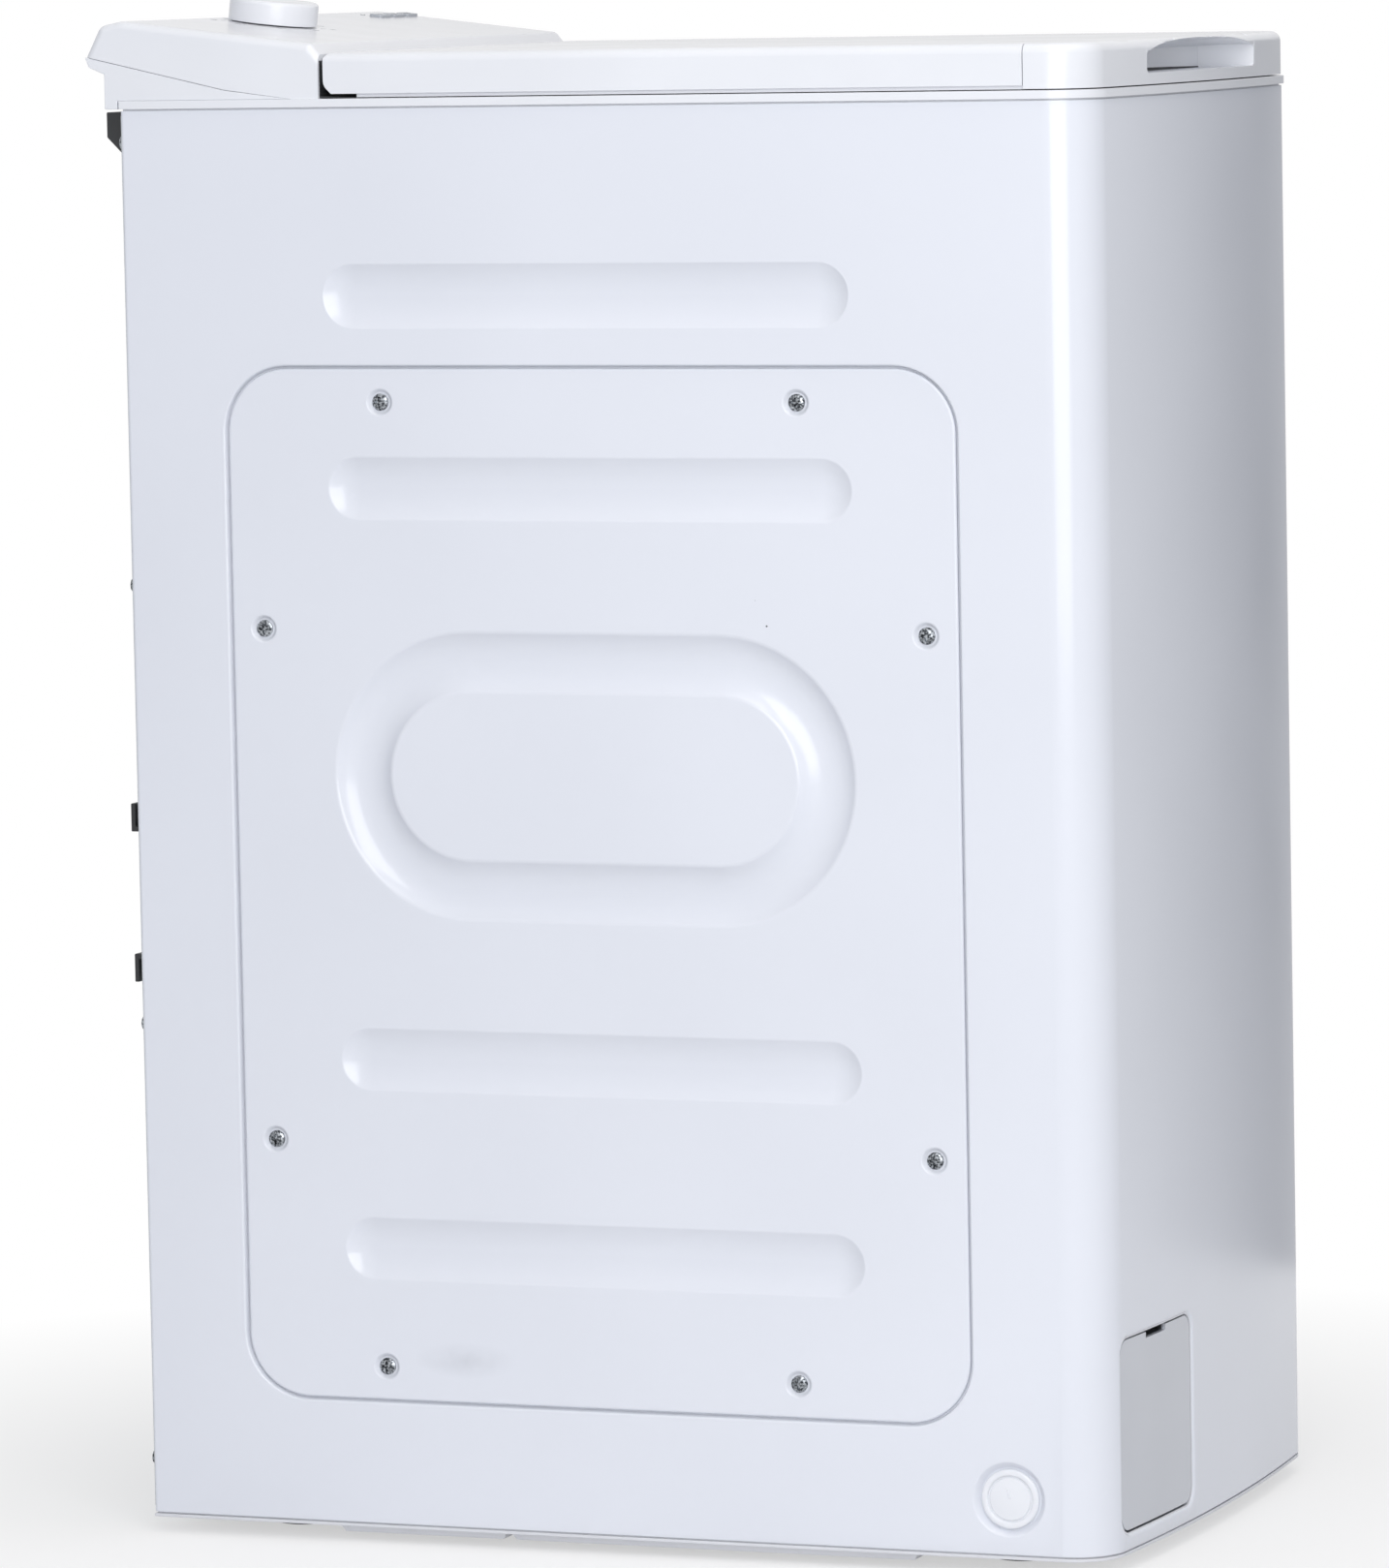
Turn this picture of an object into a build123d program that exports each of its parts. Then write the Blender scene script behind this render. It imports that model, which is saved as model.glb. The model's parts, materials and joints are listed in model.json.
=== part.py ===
from build123d import *
import os
from math import cos, radians, sin, sqrt, tan

os.makedirs("parts", exist_ok=True)

# A narrow top-loading tumble dryer. Millimetres, +Z up, the front faces -Y and
# the service cover is on the -X side. The drum turns about an axis along X.

# Clearances
SEAM = 0.3
RUNNING = 0.05
PANEL_GAP = 1.0

# Cabinet skin, one sheet folded round both sides and the bowed front
CABINET_WIDTH = 397.0
CABINET_DEPTH = 613.5
SKIN_HEIGHT = 845.0
SKIN_BOTTOM = 12.0
SHEET = 1.2
FRONT_BOW = 9.4
CORNER_RADIUS = 30.0
REAR_FLANGE = 18.0

# Base pan, skids and feet
BASE_FLOOR = 2.0
BASE_UPSTAND = 5.5
BASE_WALL = 3.0
SKID_WIDTH = 26.0
SKID_DROP = 4.0
SKID_END_GAP = 123.75
SKID_SHIFT = 2.75
SKID_INSET = 2.5
SKID_END_TAPER = 30.0
SKID_SLOT = 3.5
SKID_SLOT_Y = 67.0
FOOT_INSET_X = 68.5
FOOT_INSET_Y = 76.75
FOOT_SHIFT = 5.25
FOOT_PAD_RADIUS = 21.0
FOOT_PAD_HEIGHT = 7.0
FOOT_STEM_RADIUS = 5.0
FOOT_BOSS_WALL = 8.0
FOOT_BOSS_HEIGHT = 14.0

# Top frame and loading opening
TRIM_HEIGHT = 4.9
TRIM_OVERHANG = 1.5
FRAME_SKIRT = 12.0
FRAME_WALL = 3.0
OPENING_SIDE_MARGIN = 38.5
OPENING_SETBACK = 47.0
OPENING_CONSOLE_GAP = 43.0
OPENING_RADIUS = 30.0
WIRING_MARGIN = 24.0
SEAL_MARGIN = 3.0
SEAL_WIDTH = 6.0
SEAL_DEPTH = 2.0
CHUTE_SIDE_TAPER = 42.0
CHUTE_MOUTH_DEPTH = 236.0
CHUTE_WALL = 2.5
CHUTE_DRUM_GAP = 8.0

# Lid
LID_INSET = 0.3
LID_LIP = 2.7
LID_THICKNESS = 24.2
LID_WALL = 2.5
LID_EDGE = 6.0
LID_HEEL = 7.0
LID_CONSOLE_GAP = 3.0
LID_REAR_BEVEL = 3.0
LID_SWING_BEVEL = 5.0
CAP_LENGTH = 47.3
LINER_GAP = 0.6
LINER_INSET = 1.5
LINER_HINGE_GAP = 9.0
LINER_FIELD_INSET = 6.0
LINER_FIELD_RISE = 9.0
CAP_DROP = 1.9
HINGE_SETBACK = 12.0
HINGE_RISE = 13.4
HINGE_PIN_RADIUS = 3.0
HINGE_POST_INSET = 53.5
HINGE_POST_WIDTH = 10.0
HINGE_POST_RADIUS = 6.0
HINGE_LUG_WIDTH = 5.0
GRIP_SIDE_MARGIN = 94.5
GRIP_HEIGHT = 13.0
GRIP_DEPTH = 26.0
GRIP_RADIUS = 3.0
GRIP_TOP_WALL = 6.5
GRIP_WALL = 2.0

# Console
CONSOLE_OVERHANG = 22.0
CONSOLE_DEPTH = 150.5
CONSOLE_HEIGHT = 47.3
CONSOLE_WALL = 3.0
CONSOLE_EDGE = 5.0
CREST_RADIUS = 14.0
BROW_RADIUS = 7.0
RIDGE_RADIUS = 4.0
FACET_SLOPE = 6.9
CREST_SETBACK = 23.3
BROW_SETBACK = 9.3
BROW_DROP = 2.7
TIP_RISE = 26.5
RIDGE_SETBACK = 5.5
NOSE_DROP = 6.5
PARTING_START = 17.0
PARTING_KNEE = 60.5
PARTING_KNEE_RISE = 5.9
STEP_SETBACK = 12.3
STEP_DROP = 10.6
UNDER_TIP_SETBACK = 2.3
UNDER_TIP_DROP = 6.4

# Controls, placed on the sloping facet: x across, and distance up the slope from its ridge
KNOB_INSET = 142.5
KNOB_UP = 85.5
KNOB_RADIUS = 27.0
KNOB_HEIGHT = 14.0
KNOB_EDGE = 2.5
KNOB_GAP = 0.8
KNOB_SHAFT_RADIUS = 3.0
SELECTOR_SIZE = 18.0
SELECTOR_HEIGHT = 7.0
BUTTON_NAMES = ("option_button_1", "option_button_2", "start_button")
BUTTON_INSET = 17.5
BUTTON_PITCH = 21.5
BUTTON_UP = 96.5
BUTTON_WIDTH = 16.0
BUTTON_LENGTH = 9.0
BUTTON_CORNER = 2.0
BUTTON_PROUD = 1.8
BUTTON_TRAVEL = 1.2
BUTTON_FLANGE = 1.2
BUTTON_STEM_RADIUS = 2.0
LENS_UP = 108.5
LENS_RADIUS = 1.6
LENS_PROUD = 0.4
BOARD_DEPTH = 15.0
BOARD_THICKNESS = 1.6
BOARD_MARGIN = 10.0
BOARD_KNOB_MARGIN = 36.0
BOARD_FROM_UP = 60.5
BOARD_TO_UP = 114.5
SWITCH_SIZE = 6.0
SWITCH_HEIGHT = 3.8
POST_RADIUS = 4.0

# Pressed beads on both sides, centred on the drum axis
BEAD_SIDE_MARGIN = 63.7
BEAD_HEIGHT = 38.0
BEAD_DEPTH = 5.5
BEAD_DRAFT = 7.0
INNER_BEAD_RISE = 170.0
TOP_BEAD_GAP = 42.5
RING_HEIGHT = 173.0
RING_BAND = 37.5
RING_DEPTH = 7.5
RING_DRAFT = 11.0

# Service cover in the left side
COVER_SIDE_MARGIN = 78.25
COVER_TOP_MARGIN = 154.0
COVER_BOTTOM = 87.5
COVER_RADIUS = 38.0
COVER_RECESS = 1.5
LANDING_WIDTH = 34.0
DIMPLE_RADIUS = 7.0
DIMPLE_FLOOR_RADIUS = 4.8
DIMPLE_DEPTH = 2.2
SCREW_INSET = 20.0
SCREW_SPREAD = 130.8
SIDE_SCREW_RISE = 153.0
BOTTOM_SCREW_SHIFT = 9.0
SCREW_RADIUS = 2.0
SCREW_HEAD_RADIUS = 4.0
SCREW_HEAD_HEIGHT = 1.8
SCREW_LENGTH = 9.0
SCREW_SLOT = 1.0
SCREW_SLOT_DEPTH = 1.0
NUT_WALL = 2.5
NUT_DEPTH = 6.0

# Blanking plug low on the left side
PLUG_SETBACK = 68.5
PLUG_Z = 45.4
DISH_RADIUS = 22.5
DISH_FLOOR_RADIUS = 19.0
DISH_DEPTH = 3.0
PLUG_RADIUS = 18.0
PLUG_THICKNESS = 1.8
PLUG_RECESS_RADIUS = 14.0
PLUG_RECESS = 0.8
PLUG_STEM_RADIUS = 12.0
PLUG_STEM_LENGTH = 5.0

# Rear panel and what is fixed to it
REAR_MARGIN = 4.0
REAR_SCREW_PITCH = 264.0
REAR_SCREW_ROWS = 4
REAR_SCREW_CENTRE_Z = 441.0
VENT_LENGTH = 62.0
VENT_HEIGHT = 5.0
VENT_PITCH_X = 80.0
VENT_PITCH_Z = 14.0
VENT_COLUMNS = 3
VENT_ROWS = 8
VENT_CENTRE_Z = 205.0
TERMINAL_WIDTH = 100.0
TERMINAL_HEIGHT = 24.0
TERMINAL_DEPTH = 15.5
TERMINAL_BEVEL = 9.0
TERMINAL_INSET = 17.5
TERMINAL_BOTTOM = 831.0
HOOK_INSET = 27.5
HOOK_WIDTH = 20.0
HOOK_BOTTOM = 334.0
HOOK_HEIGHT = 105.0
HOOK_PLATE = 3.0
HOOK_REACH = 11.0
HOOK_TIP = 14.0
GLAND_INSET = 48.5
GLAND_Z = 95.0
GLAND_RADIUS = 11.0
GLAND_LENGTH = 9.0
GLAND_STEM_RADIUS = 8.0
GLAND_BORE_RADIUS = 4.2

# Drum
DRUM_SHIFT = 13.25
DRUM_RISE = 66.75
DRUM_RADIUS = 222.0
DRUM_SIDE_ROOM = 60.5
DRUM_SHEET = 1.2
DRUM_END_SHEET = 1.5
DRUM_END_GAP = 12.0
DOOR_HALF_ANGLE = 33.0
DOOR_SIDE_MARGIN = 38.0
SHUTTER_LAP_ANGLE = 3.0
SHUTTER_LAP = 8.0
SHUTTER_THICKNESS = 1.5
SHUTTER_GAP = 1.2
SHUTTER_TRAVEL = 68.0
SHUTTER_PULL_HEIGHT = 9.0
SHUTTER_PULL_ANGLE = 0.5
RAIL_CLEARANCE = 0.5
RAIL_LIP = 4.5
RAIL_LIP_THICKNESS = 1.8
RAIL_WEB = 7.5
RAIL_END_ANGLE = 2.0
LIFTER_ANGLES = (210.0, 270.0, 330.0)
LIFTER_HEIGHT = 46.0
LIFTER_BASE = 54.0
LIFTER_CREST = 14.0
LIFTER_FOOT = 5.0
LIFTER_END_GAP = 13.0
SHAFT_RADIUS = 12.5
SHAFT_FLANGE_RADIUS = 42.0
SHAFT_FLANGE = 5.0
AIR_HOLE_RADIUS = 5.0
AIR_HOLE_RINGS = ((72.0, 20), (98.0, 28), (124.0, 36), (150.0, 42), (176.0, 50))
FELT_WIDTH = 20.0
FELT_INSET = 3.0

# Bulkheads that carry the drum bearings
BULKHEAD_SHEET = 1.5
BULKHEAD_SETBACK = 55.0
BULKHEAD_REAR_GAP = 28.5
BULKHEAD_TOP = 730.0
BULKHEAD_RADIUS = 40.0
BULKHEAD_FOOT = 20.0
BULKHEAD_BORE = 18.0
BEARING_RADIUS = 26.0
BEARING_WIDTH = 13.0
HUB_WALL = 10.0
RAIL_BAR_HEIGHT = 22.0
RAIL_BAR_DEPTH = 16.0
RAIL_BAR_WALL = 2.0
RAIL_BAR_INSET = 8.0

# Drive
PULLEY_GAP = 2.0
PULLEY_WIDTH = 12.0
PULLEY_FLANGE = 1.5
PULLEY_LIP = 3.0
DRUM_PULLEY_RADIUS = 128.0
DRUM_PULLEY_RIM = 8.0
DRUM_PULLEY_HUB = 26.0
DRUM_PULLEY_WEB = 4.0
PULLEY_SPOKE_HOLES = 6
PULLEY_HOLE_RADIUS = 26.0
PULLEY_HOLE_CIRCLE = 76.0
SHAFT_END = 3.0
MOTOR_PULLEY_RADIUS = 20.0
BELT_THICKNESS = 3.0
MOTOR_REAR_GAP = 166.5
MOTOR_Z = 125.0
MOTOR_RADIUS = 52.0
MOTOR_LENGTH = 130.0
MOTOR_FAN_GAP = 42.0
MOTOR_END_WALL = 8.0
MOTOR_SHELL = 16.0
MOTOR_AIR_GAP = 0.5
MOTOR_CORE_GAP = 12.0
MOTOR_SHAFT_RADIUS = 7.0
MOTOR_SHAFT_HOLE = 22.0
CRADLE_PLATE = 6.0
CRADLE_HALF_WIDTH = 52.0
CRADLE_DROP = 26.0
CRADLE_INSET = 18.0

# Fan and air path
FAN_HOUSING_RADIUS = 95.0
FAN_HOUSING_WIDTH = 58.0
FAN_HOUSING_WALL = 2.5
FAN_EYE_RADIUS = 45.0
FAN_OUTLET_RADIUS = 62.0
FAN_RADIUS = 82.0
FAN_WIDTH = 36.0
FAN_PLATE = 2.0
FAN_BLADES = 22
FAN_BLADE_DEPTH = 28.0
FAN_BLADE_THICKNESS = 1.6
FAN_HUB_RADIUS = 15.0
FAN_END_GAP = 9.0
DUCT_REACH = 36.0
DUCT_WALL = 2.5
DUCT_HUB_GAP = 5.0
DUCT_WIDTH = 161.0
DUCT_BOTTOM = 45.0
DUCT_TOP = 640.0
DUCT_RADIUS = 28.0
PORT_RADIUS = 14.0
PORT_PITCH = 36.0
PORT_OFFSET = 115.0
PORT_COLUMNS = 3
PORT_ROWS = 6
HEATER_Z = 285.0
HEATER_TUBE_RADIUS = 4.0
HEATER_RUN = 120.0
HEATER_PITCH = 22.0
HEATER_BEND = 10.0
HEATER_PLATE = 3.0
HEATER_PLATE_WIDTH = 24.0
FILTER_Z = 250.0
FILTER_THICKNESS = 4.0
FILTER_RIM = 6.0
FILTER_BAR = 1.6
FILTER_COLUMNS = 14
FILTER_ROWS = 3
CONDENSER_PUMP_GAP = 35.5
CONDENSER_DEPTH = 122.0
CONDENSER_BOTTOM = 30.0
CONDENSER_TOP = 180.0
CONDENSER_FIN = 2.0
CONDENSER_FIN_GAP = 8.0
CONDENSER_SPINE = 12.0
CONDENSER_RUNNER = 12.0
CONDENSER_RUNNER_INSET = 25.0
CONDENSER_RUNNER_FAR = 60.0
RETURN_PORT_WIDTH = 90.0
RETURN_PORT_HEIGHT = 100.0

# Front hatch, the recess behind it and the condensate pump
HATCH_INSET = 83.0
HATCH_BOTTOM = 24.0
HATCH_WIDTH = 113.0
HATCH_HEIGHT = 112.0
HATCH_RADIUS = 10.0
HATCH_THICKNESS = 4.0
HATCH_SILL = 0.5
HATCH_PIN_RADIUS = 1.2
HATCH_PIN_DEPTH = 4.2
HATCH_PIN_RISE = 12.0
HATCH_PIN_REACH = 2.6
NOTCH_WIDTH = 32.0
NOTCH_DEPTH = 3.5
BEZEL_WALL = 2.5
BEZEL_DEPTH = 42.0
CAP_RADIUS = 28.0
CAP_SETBACK = 14.0
CAP_THICKNESS = 12.0
CAP_BAR_WIDTH = 8.0
CAP_BAR_HEIGHT = 8.0
CAP_BAR_RADIUS = 3.6
CAP_STUB_RADIUS = 24.0
CAP_STUB_LENGTH = 12.0
PUMP_TUBE_RADIUS = 30.0
PUMP_TUBE_LENGTH = 46.0
PUMP_BODY_RADIUS = 24.0
PUMP_BODY_LENGTH = 34.0
PUMP_FLOOR = 4.0
PUMP_LEG_WIDTH = 40.0
PUMP_LEG_DEPTH = 12.0

# Levels and lines worked out from the sizes above
HALF_WIDTH = CABINET_WIDTH / 2
OVERALL_DEPTH = TRIM_OVERHANG + CABINET_DEPTH + CONSOLE_OVERHANG
FRONT_Y = TRIM_OVERHANG - OVERALL_DEPTH / 2
REAR_Y = FRONT_Y + CABINET_DEPTH
MIDDLE_Y = (FRONT_Y + REAR_Y) / 2
SKIN_TOP = SKIN_BOTTOM + SKIN_HEIGHT
BOW_RADIUS = (HALF_WIDTH**2 + FRONT_BOW**2) / (2 * FRONT_BOW)
BOW_CENTRE_Y = FRONT_Y + BOW_RADIUS
BASE_BOTTOM = SKIN_BOTTOM - BASE_FLOOR
TRIM_TOP = SKIN_TOP + TRIM_HEIGHT
LID_BOTTOM = TRIM_TOP + LID_LIP
LID_TOP = LID_BOTTOM + LID_THICKNESS
LINER_BOTTOM = TRIM_TOP + LINER_GAP
HINGE_Z = LID_BOTTOM + HINGE_RISE

# Console and lid
tip_y = REAR_Y + CONSOLE_OVERHANG
console_front_y = tip_y - CONSOLE_DEPTH
LID_REAR_Y = console_front_y - LID_CONSOLE_GAP
LID_SEAM_Y = FRONT_Y + CAP_LENGTH
HINGE_Y = LID_REAR_Y - HINGE_SETBACK
HINGE_POST_X = HALF_WIDTH - HINGE_POST_INSET
LINER_REAR_Y = HINGE_Y - LINER_HINGE_GAP
GRIP_WIDTH = CABINET_WIDTH - 2 * GRIP_SIDE_MARGIN
KNOB_X = KNOB_INSET - HALF_WIDTH
BUTTON_FIRST_X = HALF_WIDTH - BUTTON_INSET - (len(BUTTON_NAMES) - 1) * BUTTON_PITCH
BOARD_FROM_X = KNOB_X - BOARD_KNOB_MARGIN

# Loading opening, feet, skids and rear fittings
OPENING_WIDTH = CABINET_WIDTH - 2 * OPENING_SIDE_MARGIN
OPENING_FRONT_Y = FRONT_Y + OPENING_SETBACK
OPENING_REAR_Y = console_front_y - OPENING_CONSOLE_GAP
CHUTE_MOUTH_WIDTH = OPENING_WIDTH - 2 * CHUTE_SIDE_TAPER
FOOT_SPACING_X = CABINET_WIDTH - 2 * FOOT_INSET_X
FOOT_SPACING_Y = CABINET_DEPTH - 2 * FOOT_INSET_Y
FOOT_CENTRE_Y = MIDDLE_Y + FOOT_SHIFT
SKID_LENGTH = CABINET_DEPTH - 2 * SKID_END_GAP
SKID_CENTRE_Y = MIDDLE_Y + SKID_SHIFT
PLUG_Y = FRONT_Y + PLUG_SETBACK
TERMINAL_FROM_X = TERMINAL_INSET - HALF_WIDTH
HOOK_X = HOOK_INSET - HALF_WIDTH
GLAND_X = HALF_WIDTH - GLAND_INSET

# Service cover, beads and drum
COVER_WIDTH = CABINET_DEPTH - 2 * COVER_SIDE_MARGIN
COVER_HEIGHT = SKIN_TOP - COVER_TOP_MARGIN - COVER_BOTTOM
cover_top = COVER_BOTTOM + COVER_HEIGHT
cover_middle = COVER_BOTTOM + COVER_HEIGHT / 2
DRUM_Y = MIDDLE_Y + DRUM_SHIFT
DRUM_Z = cover_middle + DRUM_RISE
DRUM_LENGTH = CABINET_WIDTH - 2 * DRUM_SIDE_ROOM
DOOR_WIDTH = DRUM_LENGTH - 2 * DOOR_SIDE_MARGIN
LIFTER_LENGTH = DRUM_LENGTH - 2 * LIFTER_END_GAP
BEAD_LENGTH = COVER_WIDTH - 2 * BEAD_SIDE_MARGIN
OUTER_BEAD_RISE = cover_top + TOP_BEAD_GAP - DRUM_Z

# Bulkheads, motor, condenser and hatch
bulkhead_x = DRUM_LENGTH / 2 + DRUM_END_GAP
BULKHEAD_FRONT_Y = FRONT_Y + BULKHEAD_SETBACK
BULKHEAD_REAR_Y = REAR_Y - BULKHEAD_REAR_GAP
MOTOR_Y = REAR_Y - MOTOR_REAR_GAP
MOTOR_TO_X = bulkhead_x - FAN_HOUSING_WIDTH - MOTOR_FAN_GAP
MOTOR_FROM_X = MOTOR_TO_X - MOTOR_LENGTH
HATCH_X = HATCH_INSET - HALF_WIDTH
CONDENSER_FROM_X = HATCH_X + PUMP_TUBE_RADIUS + CONDENSER_PUMP_GAP
CONDENSER_REAR_Y = BULKHEAD_FRONT_Y + CONDENSER_DEPTH

left_skin = Plane.YZ.offset(-HALF_WIDTH)
left_cover = left_skin.offset(COVER_RECESS)
rear_skin = Plane(origin=(0, REAR_Y, 0), x_dir=(-1, 0, 0), z_dir=(0, 1, 0))
drum_axis = Plane(origin=(0, DRUM_Y, DRUM_Z), x_dir=(0, 1, 0), z_dir=(1, 0, 0))
motor_axis = Plane(origin=(0, MOTOR_Y, MOTOR_Z), x_dir=(0, 1, 0), z_dir=(1, 0, 0))
hinge_axis = Plane(origin=(0, HINGE_Y, HINGE_Z), x_dir=(0, 1, 0), z_dir=(1, 0, 0))


def cabinet_plan(inset, rear_y):
    """Plan of the cabinet, inset from its skin: straight sides, bowed front, round corners."""
    half = HALF_WIDTH - inset
    radius = BOW_RADIUS - inset
    corner_y = BOW_CENTRE_Y - sqrt(radius**2 - half**2)
    with BuildSketch(mode=Mode.PRIVATE) as plan:
        with BuildLine():
            Polyline((half, corner_y), (half, rear_y), (-half, rear_y), (-half, corner_y))
            ThreePointArc((-half, corner_y), (0, BOW_CENTRE_Y - radius), (half, corner_y))
        make_face()
        fillet(plan.vertices().group_by(Axis.Y)[0], CORNER_RADIUS - inset)
    return plan.sketch


def pressing(plane, centre, length, height, draft, depth):
    """A racetrack that narrows by the draft on every side as it goes in to its depth."""
    with BuildPart(mode=Mode.PRIVATE) as form:
        with BuildSketch(plane):
            with Locations(centre):
                SlotOverall(length, height)
        with BuildSketch(plane.offset(depth)):
            with Locations(centre):
                SlotOverall(length - 2 * draft, height - 2 * draft)
        loft()
    return form.part


def press_bead(plane, centre):
    """Press one straight bead into the sheet being built."""
    add(pressing(plane, centre, BEAD_LENGTH + 2 * SHEET, BEAD_HEIGHT + 2 * SHEET,
                 BEAD_DRAFT, BEAD_DEPTH + SHEET))
    add(pressing(plane, centre, BEAD_LENGTH, BEAD_HEIGHT, BEAD_DRAFT, BEAD_DEPTH), mode=Mode.SUBTRACT)


def press_ring(plane, centre):
    """Press the oval groove, with its island left at the level of the sheet."""
    island_length = BEAD_LENGTH - 2 * RING_BAND
    island_height = RING_HEIGHT - 2 * RING_BAND
    inner = pressing(plane, centre, island_length, island_height, -RING_DRAFT, RING_DEPTH)
    backing = pressing(plane.offset(SHEET), centre, island_length - 2 * SHEET, island_height - 2 * SHEET,
                       -RING_DRAFT, RING_DEPTH)
    with BuildPart(mode=Mode.PRIVATE) as bump:
        add(pressing(plane, centre, BEAD_LENGTH + 2 * SHEET, RING_HEIGHT + 2 * SHEET,
                     RING_DRAFT, RING_DEPTH + SHEET))
        add(backing, mode=Mode.SUBTRACT)
    with BuildPart(mode=Mode.PRIVATE) as groove:
        add(pressing(plane, centre, BEAD_LENGTH, RING_HEIGHT, RING_DRAFT, RING_DEPTH))
        add(inner, mode=Mode.SUBTRACT)
    add(bump.part)
    add(groove.part, mode=Mode.SUBTRACT)


def dishes(plane, centres, radius, floor_radius, depth):
    """Round dishes that narrow to their floor."""
    with BuildPart(mode=Mode.PRIVATE) as form:
        for centre in centres:
            with BuildSketch(plane):
                with Locations(centre):
                    Circle(radius)
            with BuildSketch(plane.offset(depth)):
                with Locations(centre):
                    Circle(floor_radius)
            loft()
    return form.part


def cover_outline(margin, mode=Mode.ADD):
    """Outline of the service cover, grown by the margin."""
    with Locations((DRUM_Y, COVER_BOTTOM + COVER_HEIGHT / 2)):
        RectangleRounded(COVER_WIDTH + 2 * margin, COVER_HEIGHT + 2 * margin, COVER_RADIUS + margin,
                         mode=mode)


def drum_arc(inner, outer, start, sweep_angle):
    """Curved strip about the drum axis, from the start angle on; 90 degrees is straight up."""
    with BuildSketch(mode=Mode.PRIVATE) as strip:
        with BuildLine():
            outside = CenterArc((0, 0), outer, start, sweep_angle)
            inside = CenterArc((0, 0), inner, start, sweep_angle)
            Line(outside @ 0, inside @ 0)
            Line(outside @ 1, inside @ 1)
        make_face()
    return strip.sketch


# Skin: two sides and the bowed front in one fold, with turned-in rear flanges
cover_side = COVER_WIDTH / 2 - SCREW_INSET
cover_screws = [
    (DRUM_Y - SCREW_SPREAD, cover_top - SCREW_INSET),
    (DRUM_Y + SCREW_SPREAD, cover_top - SCREW_INSET),
    (DRUM_Y - cover_side, cover_middle + SIDE_SCREW_RISE),
    (DRUM_Y + cover_side, cover_middle + SIDE_SCREW_RISE),
    (DRUM_Y - cover_side, cover_middle - SIDE_SCREW_RISE),
    (DRUM_Y + cover_side, cover_middle - SIDE_SCREW_RISE),
    (DRUM_Y + BOTTOM_SCREW_SHIFT - SCREW_SPREAD, COVER_BOTTOM + SCREW_INSET),
    (DRUM_Y + BOTTOM_SCREW_SHIFT + SCREW_SPREAD, COVER_BOTTOM + SCREW_INSET),
]
plug_place = [(PLUG_Y, PLUG_Z)]
rear_screw_spread = CABINET_WIDTH - REAR_FLANGE
landing_depth = COVER_RECESS + SHEET
right_skin = Plane(origin=(HALF_WIDTH, 0, 0), x_dir=(0, -1, 0), z_dir=(-1, 0, 0))

# The hatch lies on the bow, so its plane is turned to face straight out there
hatch_out_x = HATCH_X / BOW_RADIUS
hatch_out_y = -sqrt(1 - hatch_out_x**2)
hatch_middle_z = HATCH_BOTTOM + HATCH_HEIGHT / 2
hatch_plane = Plane(
    origin=(HATCH_X, BOW_CENTRE_Y + BOW_RADIUS * hatch_out_y, hatch_middle_z),
    x_dir=(-hatch_out_y, hatch_out_x, 0),
    z_dir=(hatch_out_x, hatch_out_y, 0),
)
hatch_opening_width = HATCH_WIDTH + 2 * PANEL_GAP
hatch_opening_height = HATCH_HEIGHT + 2 * PANEL_GAP + HATCH_SILL
hatch_opening_radius = HATCH_RADIUS + PANEL_GAP
hatch_reach = HATCH_THICKNESS + FRONT_BOW

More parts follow.
